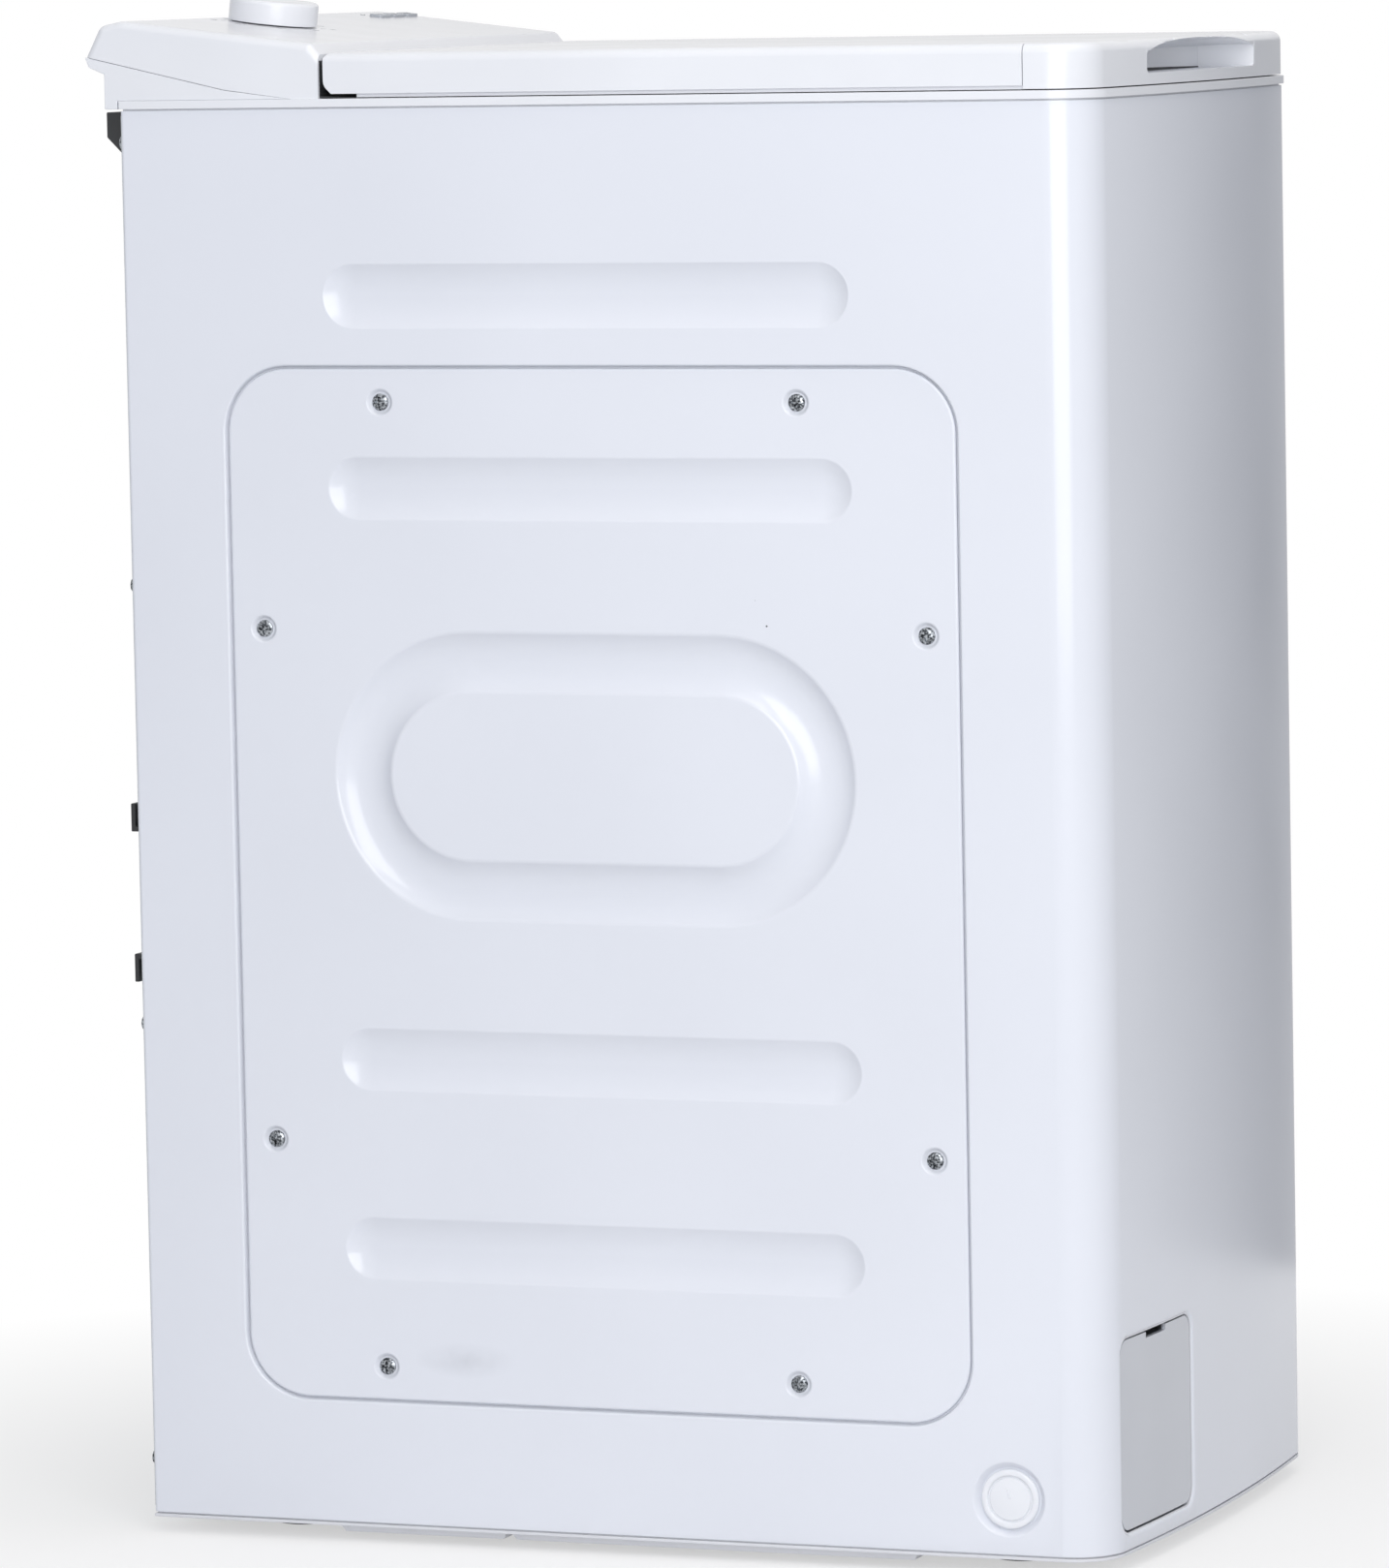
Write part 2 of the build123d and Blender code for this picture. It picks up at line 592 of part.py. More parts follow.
with BuildPart() as cabinet_wrap:
    with BuildSketch(Plane.XY.offset(SKIN_BOTTOM)):
        add(cabinet_plan(0, REAR_Y))
        add(cabinet_plan(SHEET, REAR_Y + SHEET), mode=Mode.SUBTRACT)
        with GridLocations(rear_screw_spread, 0, 2, 1):
            with Locations((0, REAR_Y - SHEET / 2)):
                Rectangle(REAR_FLANGE, SHEET)
    extrude(amount=SKIN_HEIGHT)
    with BuildSketch(left_skin):
        cover_outline(PANEL_GAP)
    extrude(amount=SHEET, mode=Mode.SUBTRACT)
    with BuildSketch(left_skin):
        cover_outline(PANEL_GAP + SHEET)
        cover_outline(PANEL_GAP, mode=Mode.SUBTRACT)
    extrude(amount=landing_depth + SHEET)
    with BuildSketch(left_skin.offset(landing_depth)):
        cover_outline(PANEL_GAP)
        cover_outline(-LANDING_WIDTH, mode=Mode.SUBTRACT)
    extrude(amount=SHEET)
    with BuildSketch(left_skin.offset(landing_depth)):
        with Locations(cover_screws):
            Circle(DIMPLE_RADIUS + SHEET + NUT_WALL)
    extrude(amount=NUT_DEPTH)
    with BuildSketch(left_skin.offset(landing_depth)):
        with Locations(cover_screws):
            Circle(DIMPLE_RADIUS + SHEET + SEAM)
    extrude(amount=DIMPLE_DEPTH + SEAM, mode=Mode.SUBTRACT)
    with BuildSketch(left_skin.offset(landing_depth)):
        with Locations(cover_screws):
            Circle(SCREW_RADIUS + RUNNING)
    extrude(amount=NUT_DEPTH, mode=Mode.SUBTRACT)
    press_bead(left_skin, (DRUM_Y, DRUM_Z + OUTER_BEAD_RISE))
    for bead_rise in (OUTER_BEAD_RISE, INNER_BEAD_RISE, -INNER_BEAD_RISE, -OUTER_BEAD_RISE):
        press_bead(right_skin, (-DRUM_Y, DRUM_Z + bead_rise))
    press_ring(right_skin, (-DRUM_Y, DRUM_Z))
    add(dishes(left_skin, plug_place, DISH_RADIUS + SHEET, DISH_FLOOR_RADIUS + SHEET, DISH_DEPTH + SHEET))
    add(dishes(left_skin, plug_place, DISH_RADIUS, DISH_FLOOR_RADIUS, DISH_DEPTH), mode=Mode.SUBTRACT)
    with BuildSketch(left_skin):
        with Locations(plug_place):
            Circle(PLUG_STEM_RADIUS + SEAM)
    extrude(amount=DISH_DEPTH + SHEET, mode=Mode.SUBTRACT)
    with BuildSketch(hatch_plane.offset(FRONT_BOW)):
        with Locations((0, -HATCH_SILL / 2)):
            RectangleRounded(hatch_opening_width, hatch_opening_height, hatch_opening_radius)
    extrude(amount=-FRONT_BOW - hatch_reach, mode=Mode.SUBTRACT)
    with BuildSketch(rear_skin):
        with Locations((0, REAR_SCREW_CENTRE_Z)):
            with GridLocations(rear_screw_spread, REAR_SCREW_PITCH, 2, REAR_SCREW_ROWS):
                Circle(SCREW_RADIUS + RUNNING)
    extrude(amount=-SHEET, mode=Mode.SUBTRACT)
cabinet_wrap.part.label = "cabinet_wrap"
export_step(cabinet_wrap.part, "parts/cabinet_wrap.step")

# Service cover: a pressed panel let into the left side
with BuildPart() as service_cover:
    with BuildSketch(left_cover):
        cover_outline(0)
    extrude(amount=SHEET)
    for bead_rise in (INNER_BEAD_RISE, -INNER_BEAD_RISE, -OUTER_BEAD_RISE):
        press_bead(left_cover, (DRUM_Y, DRUM_Z + bead_rise))
    press_ring(left_cover, (DRUM_Y, DRUM_Z))
    add(dishes(left_cover, cover_screws, DIMPLE_RADIUS + SHEET, DIMPLE_FLOOR_RADIUS + SHEET,
               DIMPLE_DEPTH + SHEET))
    add(dishes(left_cover, cover_screws, DIMPLE_RADIUS, DIMPLE_FLOOR_RADIUS, DIMPLE_DEPTH),
        mode=Mode.SUBTRACT)
    with BuildSketch(left_cover):
        with Locations(cover_screws):
            Circle(SCREW_RADIUS + SEAM)
    extrude(amount=DIMPLE_DEPTH + SHEET, mode=Mode.SUBTRACT)
service_cover.part.label = "service_cover"
export_step(service_cover.part, "parts/service_cover.step")


def screw_set(seat, places, length):
    """Cross-recessed pan screws whose heads stand on the seat plane; the shanks go the other way."""
    with BuildPart(mode=Mode.PRIVATE) as screws:
        with BuildSketch(seat):
            with Locations(places):
                Circle(SCREW_HEAD_RADIUS)
        extrude(amount=SCREW_HEAD_HEIGHT)
        with BuildSketch(seat):
            with Locations(places):
                Circle(SCREW_RADIUS)
        extrude(amount=-length)
        with BuildSketch(seat.offset(SCREW_HEAD_HEIGHT)):
            with Locations(places):
                Rectangle(SCREW_HEAD_RADIUS, SCREW_SLOT)
                Rectangle(SCREW_SLOT, SCREW_HEAD_RADIUS)
        extrude(amount=-SCREW_SLOT_DEPTH, mode=Mode.SUBTRACT)
    return screws.part


dimple_floor = Plane(origin=left_cover.offset(DIMPLE_DEPTH).origin, x_dir=(0, -1, 0), z_dir=(-1, 0, 0))
with BuildPart() as service_cover_screws:
    add(screw_set(dimple_floor, [(-y, z) for y, z in cover_screws], SCREW_LENGTH))
service_cover_screws.part.label = "service_cover_screws"
export_step(service_cover_screws.part, "parts/service_cover_screws.step")

# Blanking plug, snapped into the dish
with BuildPart() as side_plug:
    with BuildSketch(left_skin.offset(DISH_DEPTH)):
        with Locations(plug_place):
            Circle(PLUG_RADIUS)
    extrude(amount=-PLUG_THICKNESS)
    with BuildSketch(left_skin.offset(DISH_DEPTH - PLUG_THICKNESS)):
        with Locations(plug_place):
            Circle(PLUG_RECESS_RADIUS)
    extrude(amount=PLUG_RECESS, mode=Mode.SUBTRACT)
    with BuildSketch(left_skin.offset(DISH_DEPTH)):
        with Locations(plug_place):
            Circle(PLUG_STEM_RADIUS)
    extrude(amount=PLUG_STEM_LENGTH)
side_plug.part.label = "side_plug"
export_step(side_plug.part, "parts/side_plug.step")

# Rear panel with its cooling slots, and its screws
panel_width = CABINET_WIDTH - 2 * REAR_MARGIN
panel_height = SKIN_HEIGHT - 2 * REAR_MARGIN
rear_face = rear_skin.offset(SHEET)
with BuildPart() as rear_panel:
    with BuildSketch(rear_skin):
        with Locations((0, SKIN_BOTTOM + SKIN_HEIGHT / 2)):
            Rectangle(panel_width, panel_height)
        with Locations((0, REAR_SCREW_CENTRE_Z)):
            with GridLocations(rear_screw_spread, REAR_SCREW_PITCH, 2, REAR_SCREW_ROWS):
                Circle(SCREW_RADIUS + RUNNING, mode=Mode.SUBTRACT)
        with Locations((0, VENT_CENTRE_Z)):
            with GridLocations(VENT_PITCH_X, VENT_PITCH_Z, VENT_COLUMNS, VENT_ROWS):
                SlotOverall(VENT_LENGTH, VENT_HEIGHT, mode=Mode.SUBTRACT)
        with Locations((-GLAND_X, GLAND_Z)):
            Circle(GLAND_STEM_RADIUS, mode=Mode.SUBTRACT)
    extrude(amount=SHEET)
rear_panel.part.label = "rear_panel"
export_step(rear_panel.part, "parts/rear_panel.step")

rear_screw_first_z = REAR_SCREW_CENTRE_Z - REAR_SCREW_PITCH * (REAR_SCREW_ROWS - 1) / 2
rear_screws = [
    (side * rear_screw_spread / 2, rear_screw_first_z + row * REAR_SCREW_PITCH)
    for side in (-1, 1)
    for row in range(REAR_SCREW_ROWS)
]
with BuildPart() as rear_panel_screws:
    add(screw_set(rear_face, rear_screws, SCREW_LENGTH))
rear_panel_screws.part.label = "rear_panel_screws"
export_step(rear_panel_screws.part, "parts/rear_panel_screws.step")

# Black fittings on the rear panel
terminal_middle = (-TERMINAL_FROM_X - TERMINAL_WIDTH / 2, TERMINAL_BOTTOM + TERMINAL_HEIGHT / 2)
with BuildPart() as rear_terminal_cover:
    with BuildSketch(rear_face):
        with Locations(terminal_middle):
            Rectangle(TERMINAL_WIDTH, TERMINAL_HEIGHT)
    extrude(amount=TERMINAL_DEPTH)
    long_edges = rear_terminal_cover.edges().filter_by(Axis.X)
    chamfer(long_edges.sort_by(lambda edge: edge.center().Y - edge.center().Z)[-1], TERMINAL_BEVEL)
    with BuildSketch(rear_face):
        with Locations(terminal_middle):
            Rectangle(TERMINAL_WIDTH - 2 * CONSOLE_WALL, TERMINAL_HEIGHT - 2 * CONSOLE_WALL)
    extrude(amount=TERMINAL_DEPTH - TERMINAL_BEVEL, mode=Mode.SUBTRACT)
rear_terminal_cover.part.label = "rear_terminal_cover"
export_step(rear_terminal_cover.part, "parts/rear_terminal_cover.step")

hook_middle = (-HOOK_X, HOOK_BOTTOM + HOOK_HEIGHT / 2)
hook_arms = [(-HOOK_X, HOOK_BOTTOM + HOOK_TIP), (-HOOK_X, HOOK_BOTTOM + HOOK_HEIGHT - HOOK_TIP)]
hook_tips = [(-HOOK_X, HOOK_BOTTOM + HOOK_TIP / 2), (-HOOK_X, HOOK_BOTTOM + HOOK_HEIGHT - HOOK_TIP / 2)]
with BuildPart() as rear_cable_hook:
    with BuildSketch(rear_face):
        with Locations(hook_middle):
            RectangleRounded(HOOK_WIDTH, HOOK_HEIGHT, HOOK_PLATE)
    extrude(amount=HOOK_PLATE)
    with BuildSketch(rear_face):
        with Locations(hook_arms):
            Rectangle(HOOK_WIDTH, HOOK_PLATE)
    extrude(amount=HOOK_REACH)
    with BuildSketch(rear_face.offset(HOOK_REACH - HOOK_PLATE)):
        with Locations(hook_tips):
            Rectangle(HOOK_WIDTH, HOOK_TIP + HOOK_PLATE)
    extrude(amount=HOOK_PLATE)
rear_cable_hook.part.label = "rear_cable_hook"
export_step(rear_cable_hook.part, "parts/rear_cable_hook.step")

with BuildPart() as mains_gland:
    with BuildSketch(rear_face):
        with Locations((-GLAND_X, GLAND_Z)):
            Circle(GLAND_RADIUS)
    extrude(amount=GLAND_LENGTH, taper=GLAND_LENGTH)
    with BuildSketch(rear_face):
        with Locations((-GLAND_X, GLAND_Z)):
            Circle(GLAND_STEM_RADIUS)
    extrude(amount=-GLAND_LENGTH)
    with BuildSketch(rear_face.offset(-GLAND_LENGTH)):
        with Locations((-GLAND_X, GLAND_Z)):
            Circle(GLAND_BORE_RADIUS)
    extrude(amount=2 * GLAND_LENGTH, mode=Mode.SUBTRACT)
mains_gland.part.label = "mains_gland"
export_step(mains_gland.part, "parts/mains_gland.step")

# Base pan: a rim under the skin, an upstand inside it, two skids and four threaded bosses
foot_places = {
    "front_left": (-FOOT_SPACING_X / 2, FOOT_CENTRE_Y - FOOT_SPACING_Y / 2),
    "front_right": (FOOT_SPACING_X / 2, FOOT_CENTRE_Y - FOOT_SPACING_Y / 2),
    "rear_left": (-FOOT_SPACING_X / 2, FOOT_CENTRE_Y + FOOT_SPACING_Y / 2),
    "rear_right": (FOOT_SPACING_X / 2, FOOT_CENTRE_Y + FOOT_SPACING_Y / 2),
}
skid_spread = CABINET_WIDTH - 2 * SKID_INSET - SKID_WIDTH
with BuildPart() as base_pan:
    with BuildSketch(Plane.XY.offset(BASE_BOTTOM)):
        add(cabinet_plan(0, REAR_Y))
    extrude(amount=BASE_FLOOR)
    with BuildSketch(Plane.XY.offset(SKIN_BOTTOM)):
        add(cabinet_plan(SHEET + SEAM, REAR_Y - SHEET - SEAM))
        add(cabinet_plan(SHEET + SEAM + BASE_WALL, REAR_Y - SHEET - SEAM - BASE_WALL), mode=Mode.SUBTRACT)
    extrude(amount=BASE_UPSTAND)
    with BuildSketch(Plane.XY.offset(BASE_BOTTOM)):
        with Locations((0, SKID_CENTRE_Y)):
            with GridLocations(skid_spread, 0, 2, 1):
                Rectangle(SKID_WIDTH, SKID_LENGTH)
        with Locations((0, SKID_SLOT_Y)):
            with GridLocations(skid_spread, 0, 2, 1):
                Rectangle(SKID_WIDTH, SKID_SLOT, mode=Mode.SUBTRACT)
    extrude(amount=-SKID_DROP, taper=SKID_END_TAPER)
    with BuildSketch(Plane.XY.offset(BASE_BOTTOM)):
        with Locations(list(foot_places.values())):
            Circle(FOOT_STEM_RADIUS + FOOT_BOSS_WALL)
    extrude(amount=BASE_FLOOR + FOOT_BOSS_HEIGHT)
    with BuildSketch(Plane.XY.offset(BASE_BOTTOM)):
        with Locations(list(foot_places.values())):
            Circle(FOOT_STEM_RADIUS + SEAM)
    extrude(amount=BASE_FLOOR + FOOT_BOSS_HEIGHT, mode=Mode.SUBTRACT)
base_pan.part.label = "base_pan"
export_step(base_pan.part, "parts/base_pan.step")

for corner, place in foot_places.items():
    with BuildPart() as foot:
        with BuildSketch(Plane.XY):
            with Locations(place):
                Circle(FOOT_PAD_RADIUS)
        extrude(amount=FOOT_PAD_HEIGHT)
        chamfer(foot.edges().group_by(Axis.Z)[-1], FOOT_PAD_HEIGHT / 2)
        with BuildSketch(Plane.XY):
            with Locations(place):
                Circle(FOOT_STEM_RADIUS)
        extrude(amount=SKIN_BOTTOM + FOOT_BOSS_HEIGHT)
    foot.part.label = f"foot_{corner}"
    export_step(foot.part, f"parts/foot_{corner}.step")


# Top frame: a trim band on the skin, a locating skirt inside it and the loading opening
def loading_opening(margin, mode=Mode.ADD):
    """Outline of the loading opening, grown by the margin."""
    with Locations((0, (OPENING_FRONT_Y + OPENING_REAR_Y) / 2)):
        RectangleRounded(OPENING_WIDTH + 2 * margin, OPENING_REAR_Y - OPENING_FRONT_Y + 2 * margin,
                         OPENING_RADIUS + margin, mode=mode)


step_y = tip_y - STEP_SETBACK
wiring_depth = REAR_Y - console_front_y - WIRING_MARGIN * 2
with BuildPart() as top_frame:
    with BuildSketch(Plane.XY.offset(SKIN_TOP)):
        add(cabinet_plan(-TRIM_OVERHANG, REAR_Y))
        loading_opening(0, mode=Mode.SUBTRACT)
        with Locations((0, (REAR_Y + console_front_y) / 2)):
            Rectangle(OPENING_WIDTH, wiring_depth, mode=Mode.SUBTRACT)
    extrude(amount=TRIM_HEIGHT)
    with BuildSketch(Plane.XY.offset(SKIN_TOP - FRAME_SKIRT)):
        add(cabinet_plan(SHEET + SEAM, REAR_Y - SHEET - SEAM))
        add(cabinet_plan(SHEET + SEAM + FRAME_WALL, REAR_Y - SHEET - SEAM - FRAME_WALL), mode=Mode.SUBTRACT)
    extrude(amount=FRAME_SKIRT)
    with BuildSketch(Plane.XY.offset(TRIM_TOP - SEAL_DEPTH)):
        loading_opening(SEAL_MARGIN + SEAL_WIDTH)
        loading_opening(SEAL_MARGIN, mode=Mode.SUBTRACT)
    extrude(amount=SEAL_DEPTH, mode=Mode.SUBTRACT)
top_frame.part.label = "top_frame"
export_step(top_frame.part, "parts/top_frame.step")

with BuildPart() as lid_seal:
    with BuildSketch(Plane.XY.offset(TRIM_TOP - SEAL_DEPTH)):
        loading_opening(SEAL_MARGIN + SEAL_WIDTH)
        loading_opening(SEAL_MARGIN, mode=Mode.SUBTRACT)
    extrude(amount=SEAL_DEPTH + LINER_GAP - SEAM)
lid_seal.part.label = "lid_seal"
export_step(lid_seal.part, "parts/lid_seal.step")

# Loading chute: a funnel from the opening down to the drum
mouth_z = DRUM_Z + DRUM_RADIUS + CHUTE_DRUM_GAP


def funnel(margin):
    """The funnel's solid form, grown by the margin."""
    with BuildPart(mode=Mode.PRIVATE) as form:
        with BuildSketch(Plane.XY.offset(SKIN_TOP)):
            loading_opening(margin)
        with BuildSketch(Plane.XY.offset(mouth_z)):
            with Locations((0, DRUM_Y)):
                RectangleRounded(CHUTE_MOUTH_WIDTH + 2 * margin, CHUTE_MOUTH_DEPTH + 2 * margin,
                                 OPENING_RADIUS + margin)
        loft(ruled=True)
    return form.part


with BuildPart() as loading_chute:
    add(funnel(CHUTE_WALL))
    add(funnel(0), mode=Mode.SUBTRACT)
loading_chute.part.label = "loading_chute"
export_step(loading_chute.part, "parts/loading_chute.step")

# Lid hinge: two posts on the top frame, and the pins that the lid turns on
post_sides = (-HINGE_POST_X, HINGE_POST_X)
lug_offset = HINGE_POST_WIDTH / 2 + SEAM
with BuildPart() as lid_hinge_posts:
    for post_x in post_sides:
        with BuildSketch(hinge_axis.offset(post_x - HINGE_POST_WIDTH / 2)):
            Circle(HINGE_POST_RADIUS)
            with Locations((0, (TRIM_TOP - HINGE_Z) / 2)):
                Rectangle(2 * HINGE_POST_RADIUS, HINGE_Z - TRIM_TOP)
            Circle(HINGE_PIN_RADIUS + RUNNING, mode=Mode.SUBTRACT)
        extrude(amount=HINGE_POST_WIDTH)
lid_hinge_posts.part.label = "lid_hinge_posts"
export_step(lid_hinge_posts.part, "parts/lid_hinge_posts.step")

with BuildPart() as lid_hinge_pins:
    for post_x in post_sides:
        with BuildSketch(hinge_axis.offset(post_x)):
            Circle(HINGE_PIN_RADIUS)
        extrude(amount=lug_offset + HINGE_LUG_WIDTH, both=True)
lid_hinge_pins.part.label = "lid_hinge_pins"
export_step(lid_hinge_pins.part, "parts/lid_hinge_pins.step")


# Lid: top panel, handle cap at its front, and the liner that closes it below
def lid_form(floor_z):
    """The lid's outer form down to the floor level, solid."""
    with BuildPart(mode=Mode.PRIVATE) as form:
        with BuildSketch(Plane.YZ.offset(-CABINET_WIDTH / 2)) as side:
            with BuildLine():
                Polyline(
                    (FRONT_Y - TRIM_OVERHANG, floor_z),
                    (LID_REAR_Y - LID_SWING_BEVEL, floor_z),
                    (LID_REAR_Y, floor_z + LID_SWING_BEVEL),
                    (LID_REAR_Y, LID_TOP - LID_REAR_BEVEL),
                    (LID_REAR_Y - LID_REAR_BEVEL, LID_TOP),
                    (FRONT_Y - TRIM_OVERHANG, LID_TOP),
                    close=True,
                )
            make_face()
            fillet(side.vertices().group_by(Axis.X)[-1].sort_by(Axis.Y)[0], LID_HEEL)
        extrude(amount=CABINET_WIDTH)
        with BuildSketch(Plane.XY.offset(floor_z)):
            add(cabinet_plan(LID_INSET, REAR_Y))
        extrude(amount=LID_TOP - floor_z, mode=Mode.INTERSECT)
        rim = form.faces().filter_by(Axis.Z).sort_by(Axis.Z)[-1].edges().sort_by(Axis.Y)[:-1]
        fillet(rim, LID_EDGE)
    return form.part


def lid_hollow(floor_z):
    """The room inside the lid's walls, open below."""
    with BuildPart(mode=Mode.PRIVATE) as form:
        with BuildSketch(Plane.XY.offset(floor_z)):
            add(cabinet_plan(LID_INSET + LID_WALL, LID_REAR_Y - LID_WALL))
        extrude(amount=LID_TOP - LID_WALL - floor_z)
    return form.part


lid_seam_front = Plane.XZ.offset(-LID_SEAM_Y + SEAM)
lid_seam_rear = Plane.XZ.offset(-LID_SEAM_Y - SEAM)
post_notch_width = HINGE_POST_WIDTH + 2 * PANEL_GAP
post_notch_depth = LID_REAR_Y - HINGE_Y + HINGE_POST_RADIUS + PANEL_GAP
with BuildPart() as lid_panel:
    add(lid_form(LID_BOTTOM))
    add(lid_hollow(LID_BOTTOM), mode=Mode.SUBTRACT)
    split(bisect_by=lid_seam_rear, keep=Keep.BOTTOM)
    with BuildSketch(Plane.XY.offset(LID_BOTTOM)):
        with Locations((0, LID_REAR_Y - post_notch_depth / 2)):
            with GridLocations(2 * HINGE_POST_X, 0, 2, 1):
                Rectangle(post_notch_width, post_notch_depth)
    extrude(amount=LID_THICKNESS - LID_WALL, mode=Mode.SUBTRACT)
    for post_x in post_sides:
        for lug_x in (post_x - lug_offset - HINGE_LUG_WIDTH, post_x + lug_offset):
            with BuildSketch(hinge_axis.offset(lug_x)):
                Circle(HINGE_POST_RADIUS)
                with Locations((0, (LID_TOP - LID_WALL - HINGE_Z) / 2)):
                    Rectangle(2 * HINGE_POST_RADIUS, LID_TOP - LID_WALL - HINGE_Z)
                Circle(HINGE_PIN_RADIUS, mode=Mode.SUBTRACT)
            extrude(amount=HINGE_LUG_WIDTH)
lid_panel.part.label = "lid_panel"
export_step(lid_panel.part, "parts/lid_panel.step")

cap_bottom = LID_BOTTOM - CAP_DROP
grip_middle_z = LID_TOP - GRIP_TOP_WALL - GRIP_HEIGHT / 2
grip_face = Plane.XZ.offset(-FRONT_Y)
with BuildPart() as lid_handle_cap:
    add(lid_form(cap_bottom))
    add(lid_hollow(cap_bottom), mode=Mode.SUBTRACT)
    split(bisect_by=lid_seam_front, keep=Keep.TOP)
    with BuildSketch(grip_face.offset(-LID_INSET - LID_WALL)):
        with Locations((0, grip_middle_z)):
            Rectangle(GRIP_WIDTH + 2 * GRIP_WALL, GRIP_HEIGHT + 2 * GRIP_WALL)
    extrude(amount=-GRIP_DEPTH - GRIP_WALL + LID_WALL)
    with BuildSketch(grip_face.offset(FRONT_BOW)):
        with Locations((0, grip_middle_z)):
            RectangleRounded(GRIP_WIDTH, GRIP_HEIGHT, GRIP_RADIUS)
    extrude(amount=-FRONT_BOW - GRIP_DEPTH, mode=Mode.SUBTRACT)
lid_handle_cap.part.label = "lid_handle_cap"
export_step(lid_handle_cap.part, "parts/lid_handle_cap.step")

liner_thickness = LID_BOTTOM - LINER_BOTTOM
with BuildPart() as lid_liner:
    with BuildSketch(Plane.XY.offset(LINER_BOTTOM)):
        add(cabinet_plan(LID_INSET + LINER_INSET, LINER_REAR_Y))
    extrude(amount=liner_thickness)
    split(bisect_by=lid_seam_rear, keep=Keep.BOTTOM)
    with BuildSketch(Plane.XY.offset(LINER_BOTTOM)):
        add(cabinet_plan(LID_INSET + LID_WALL + SEAM, LID_SEAM_Y + LINER_INSET))
    extrude(amount=liner_thickness)
    with BuildSketch(Plane.XY.offset(LINER_BOTTOM)):
        loading_opening(-LINER_FIELD_INSET)
    with BuildSketch(Plane.XY.offset(LINER_BOTTOM + LINER_FIELD_RISE)):
        loading_opening(-LINER_FIELD_INSET - LINER_FIELD_RISE)
    loft(mode=Mode.SUBTRACT, ruled=True)
    with BuildSketch(Plane.XY.offset(LID_BOTTOM)):
        loading_opening(-LINER_FIELD_INSET + liner_thickness)
    with BuildSketch(Plane.XY.offset(LID_BOTTOM + LINER_FIELD_RISE)):
        loading_opening(-LINER_FIELD_INSET + liner_thickness - LINER_FIELD_RISE)
    loft(ruled=True)
    with BuildSketch(Plane.XY.offset(LINER_BOTTOM)):
        loading_opening(-LINER_FIELD_INSET)
    with BuildSketch(Plane.XY.offset(LINER_BOTTOM + LINER_FIELD_RISE)):
        loading_opening(-LINER_FIELD_INSET - LINER_FIELD_RISE)
    loft(mode=Mode.SUBTRACT, ruled=True)
lid_liner.part.label = "lid_liner"
export_step(lid_liner.part, "parts/lid_liner.step")

# Console: a wedge-shaped base and the fascia that carries the controls
slope = radians(FACET_SLOPE)
crest = (tip_y - CREST_SETBACK, TRIM_TOP + CONSOLE_HEIGHT)
brow = (tip_y - BROW_SETBACK, crest[1] - BROW_DROP)
tip = (tip_y, TRIM_TOP + TIP_RISE)
ridge_y = console_front_y + RIDGE_SETBACK
ridge = (ridge_y, crest[1] - (crest[0] - ridge_y) * tan(slope))
nose = (console_front_y, ridge[1] - NOSE_DROP)
parting_start = (console_front_y + PARTING_START, TRIM_TOP)
parting_knee = (console_front_y + PARTING_KNEE, TRIM_TOP + PARTING_KNEE_RISE)
roof = CONSOLE_WALL / cos(slope)
rear_ledge = REAR_Y + SHEET + SEAM
facet = Plane(origin=(0, *ridge), x_dir=(1, 0, 0), z_dir=(0, -sin(slope), cos(slope)))
facet_under = facet.offset(-CONSOLE_WALL)
board_top = facet.offset(-BOARD_DEPTH)
button_places = [(BUTTON_FIRST_X + number * BUTTON_PITCH, BUTTON_UP) for number in range(len(BUTTON_NAMES))]
lens_places = [(BUTTON_FIRST_X + number * BUTTON_PITCH, LENS_UP) for number in range(len(BUTTON_NAMES))]
board_to_x = BUTTON_FIRST_X + (len(BUTTON_NAMES) - 1) * BUTTON_PITCH + BUTTON_WIDTH / 2
board_middle = ((BOARD_FROM_X + board_to_x) / 2, (BOARD_FROM_UP + BOARD_TO_UP) / 2)
board_width = board_to_x - BOARD_FROM_X
board_height = BOARD_TO_UP - BOARD_FROM_UP


def console_room():
    """The room inside the console's walls, open below."""
    with BuildPart(mode=Mode.PRIVATE) as room:
        with BuildSketch(Plane.YZ.offset(-HALF_WIDTH + CONSOLE_WALL)):
            with BuildLine():
                Polyline(
                    (console_front_y + CONSOLE_WALL, TRIM_TOP),
                    (step_y - CONSOLE_WALL, TRIM_TOP),
                    (step_y - CONSOLE_WALL, brow[1] - roof),
                    (crest[0], crest[1] - roof),
                    (ridge[0] + CONSOLE_WALL, ridge[1] + CONSOLE_WALL * tan(slope) - roof),
                    (console_front_y + CONSOLE_WALL, nose[1] - CONSOLE_WALL),
                    close=True,
                )
            make_face()
        extrude(amount=CABINET_WIDTH - 2 * CONSOLE_WALL)
    return room.part


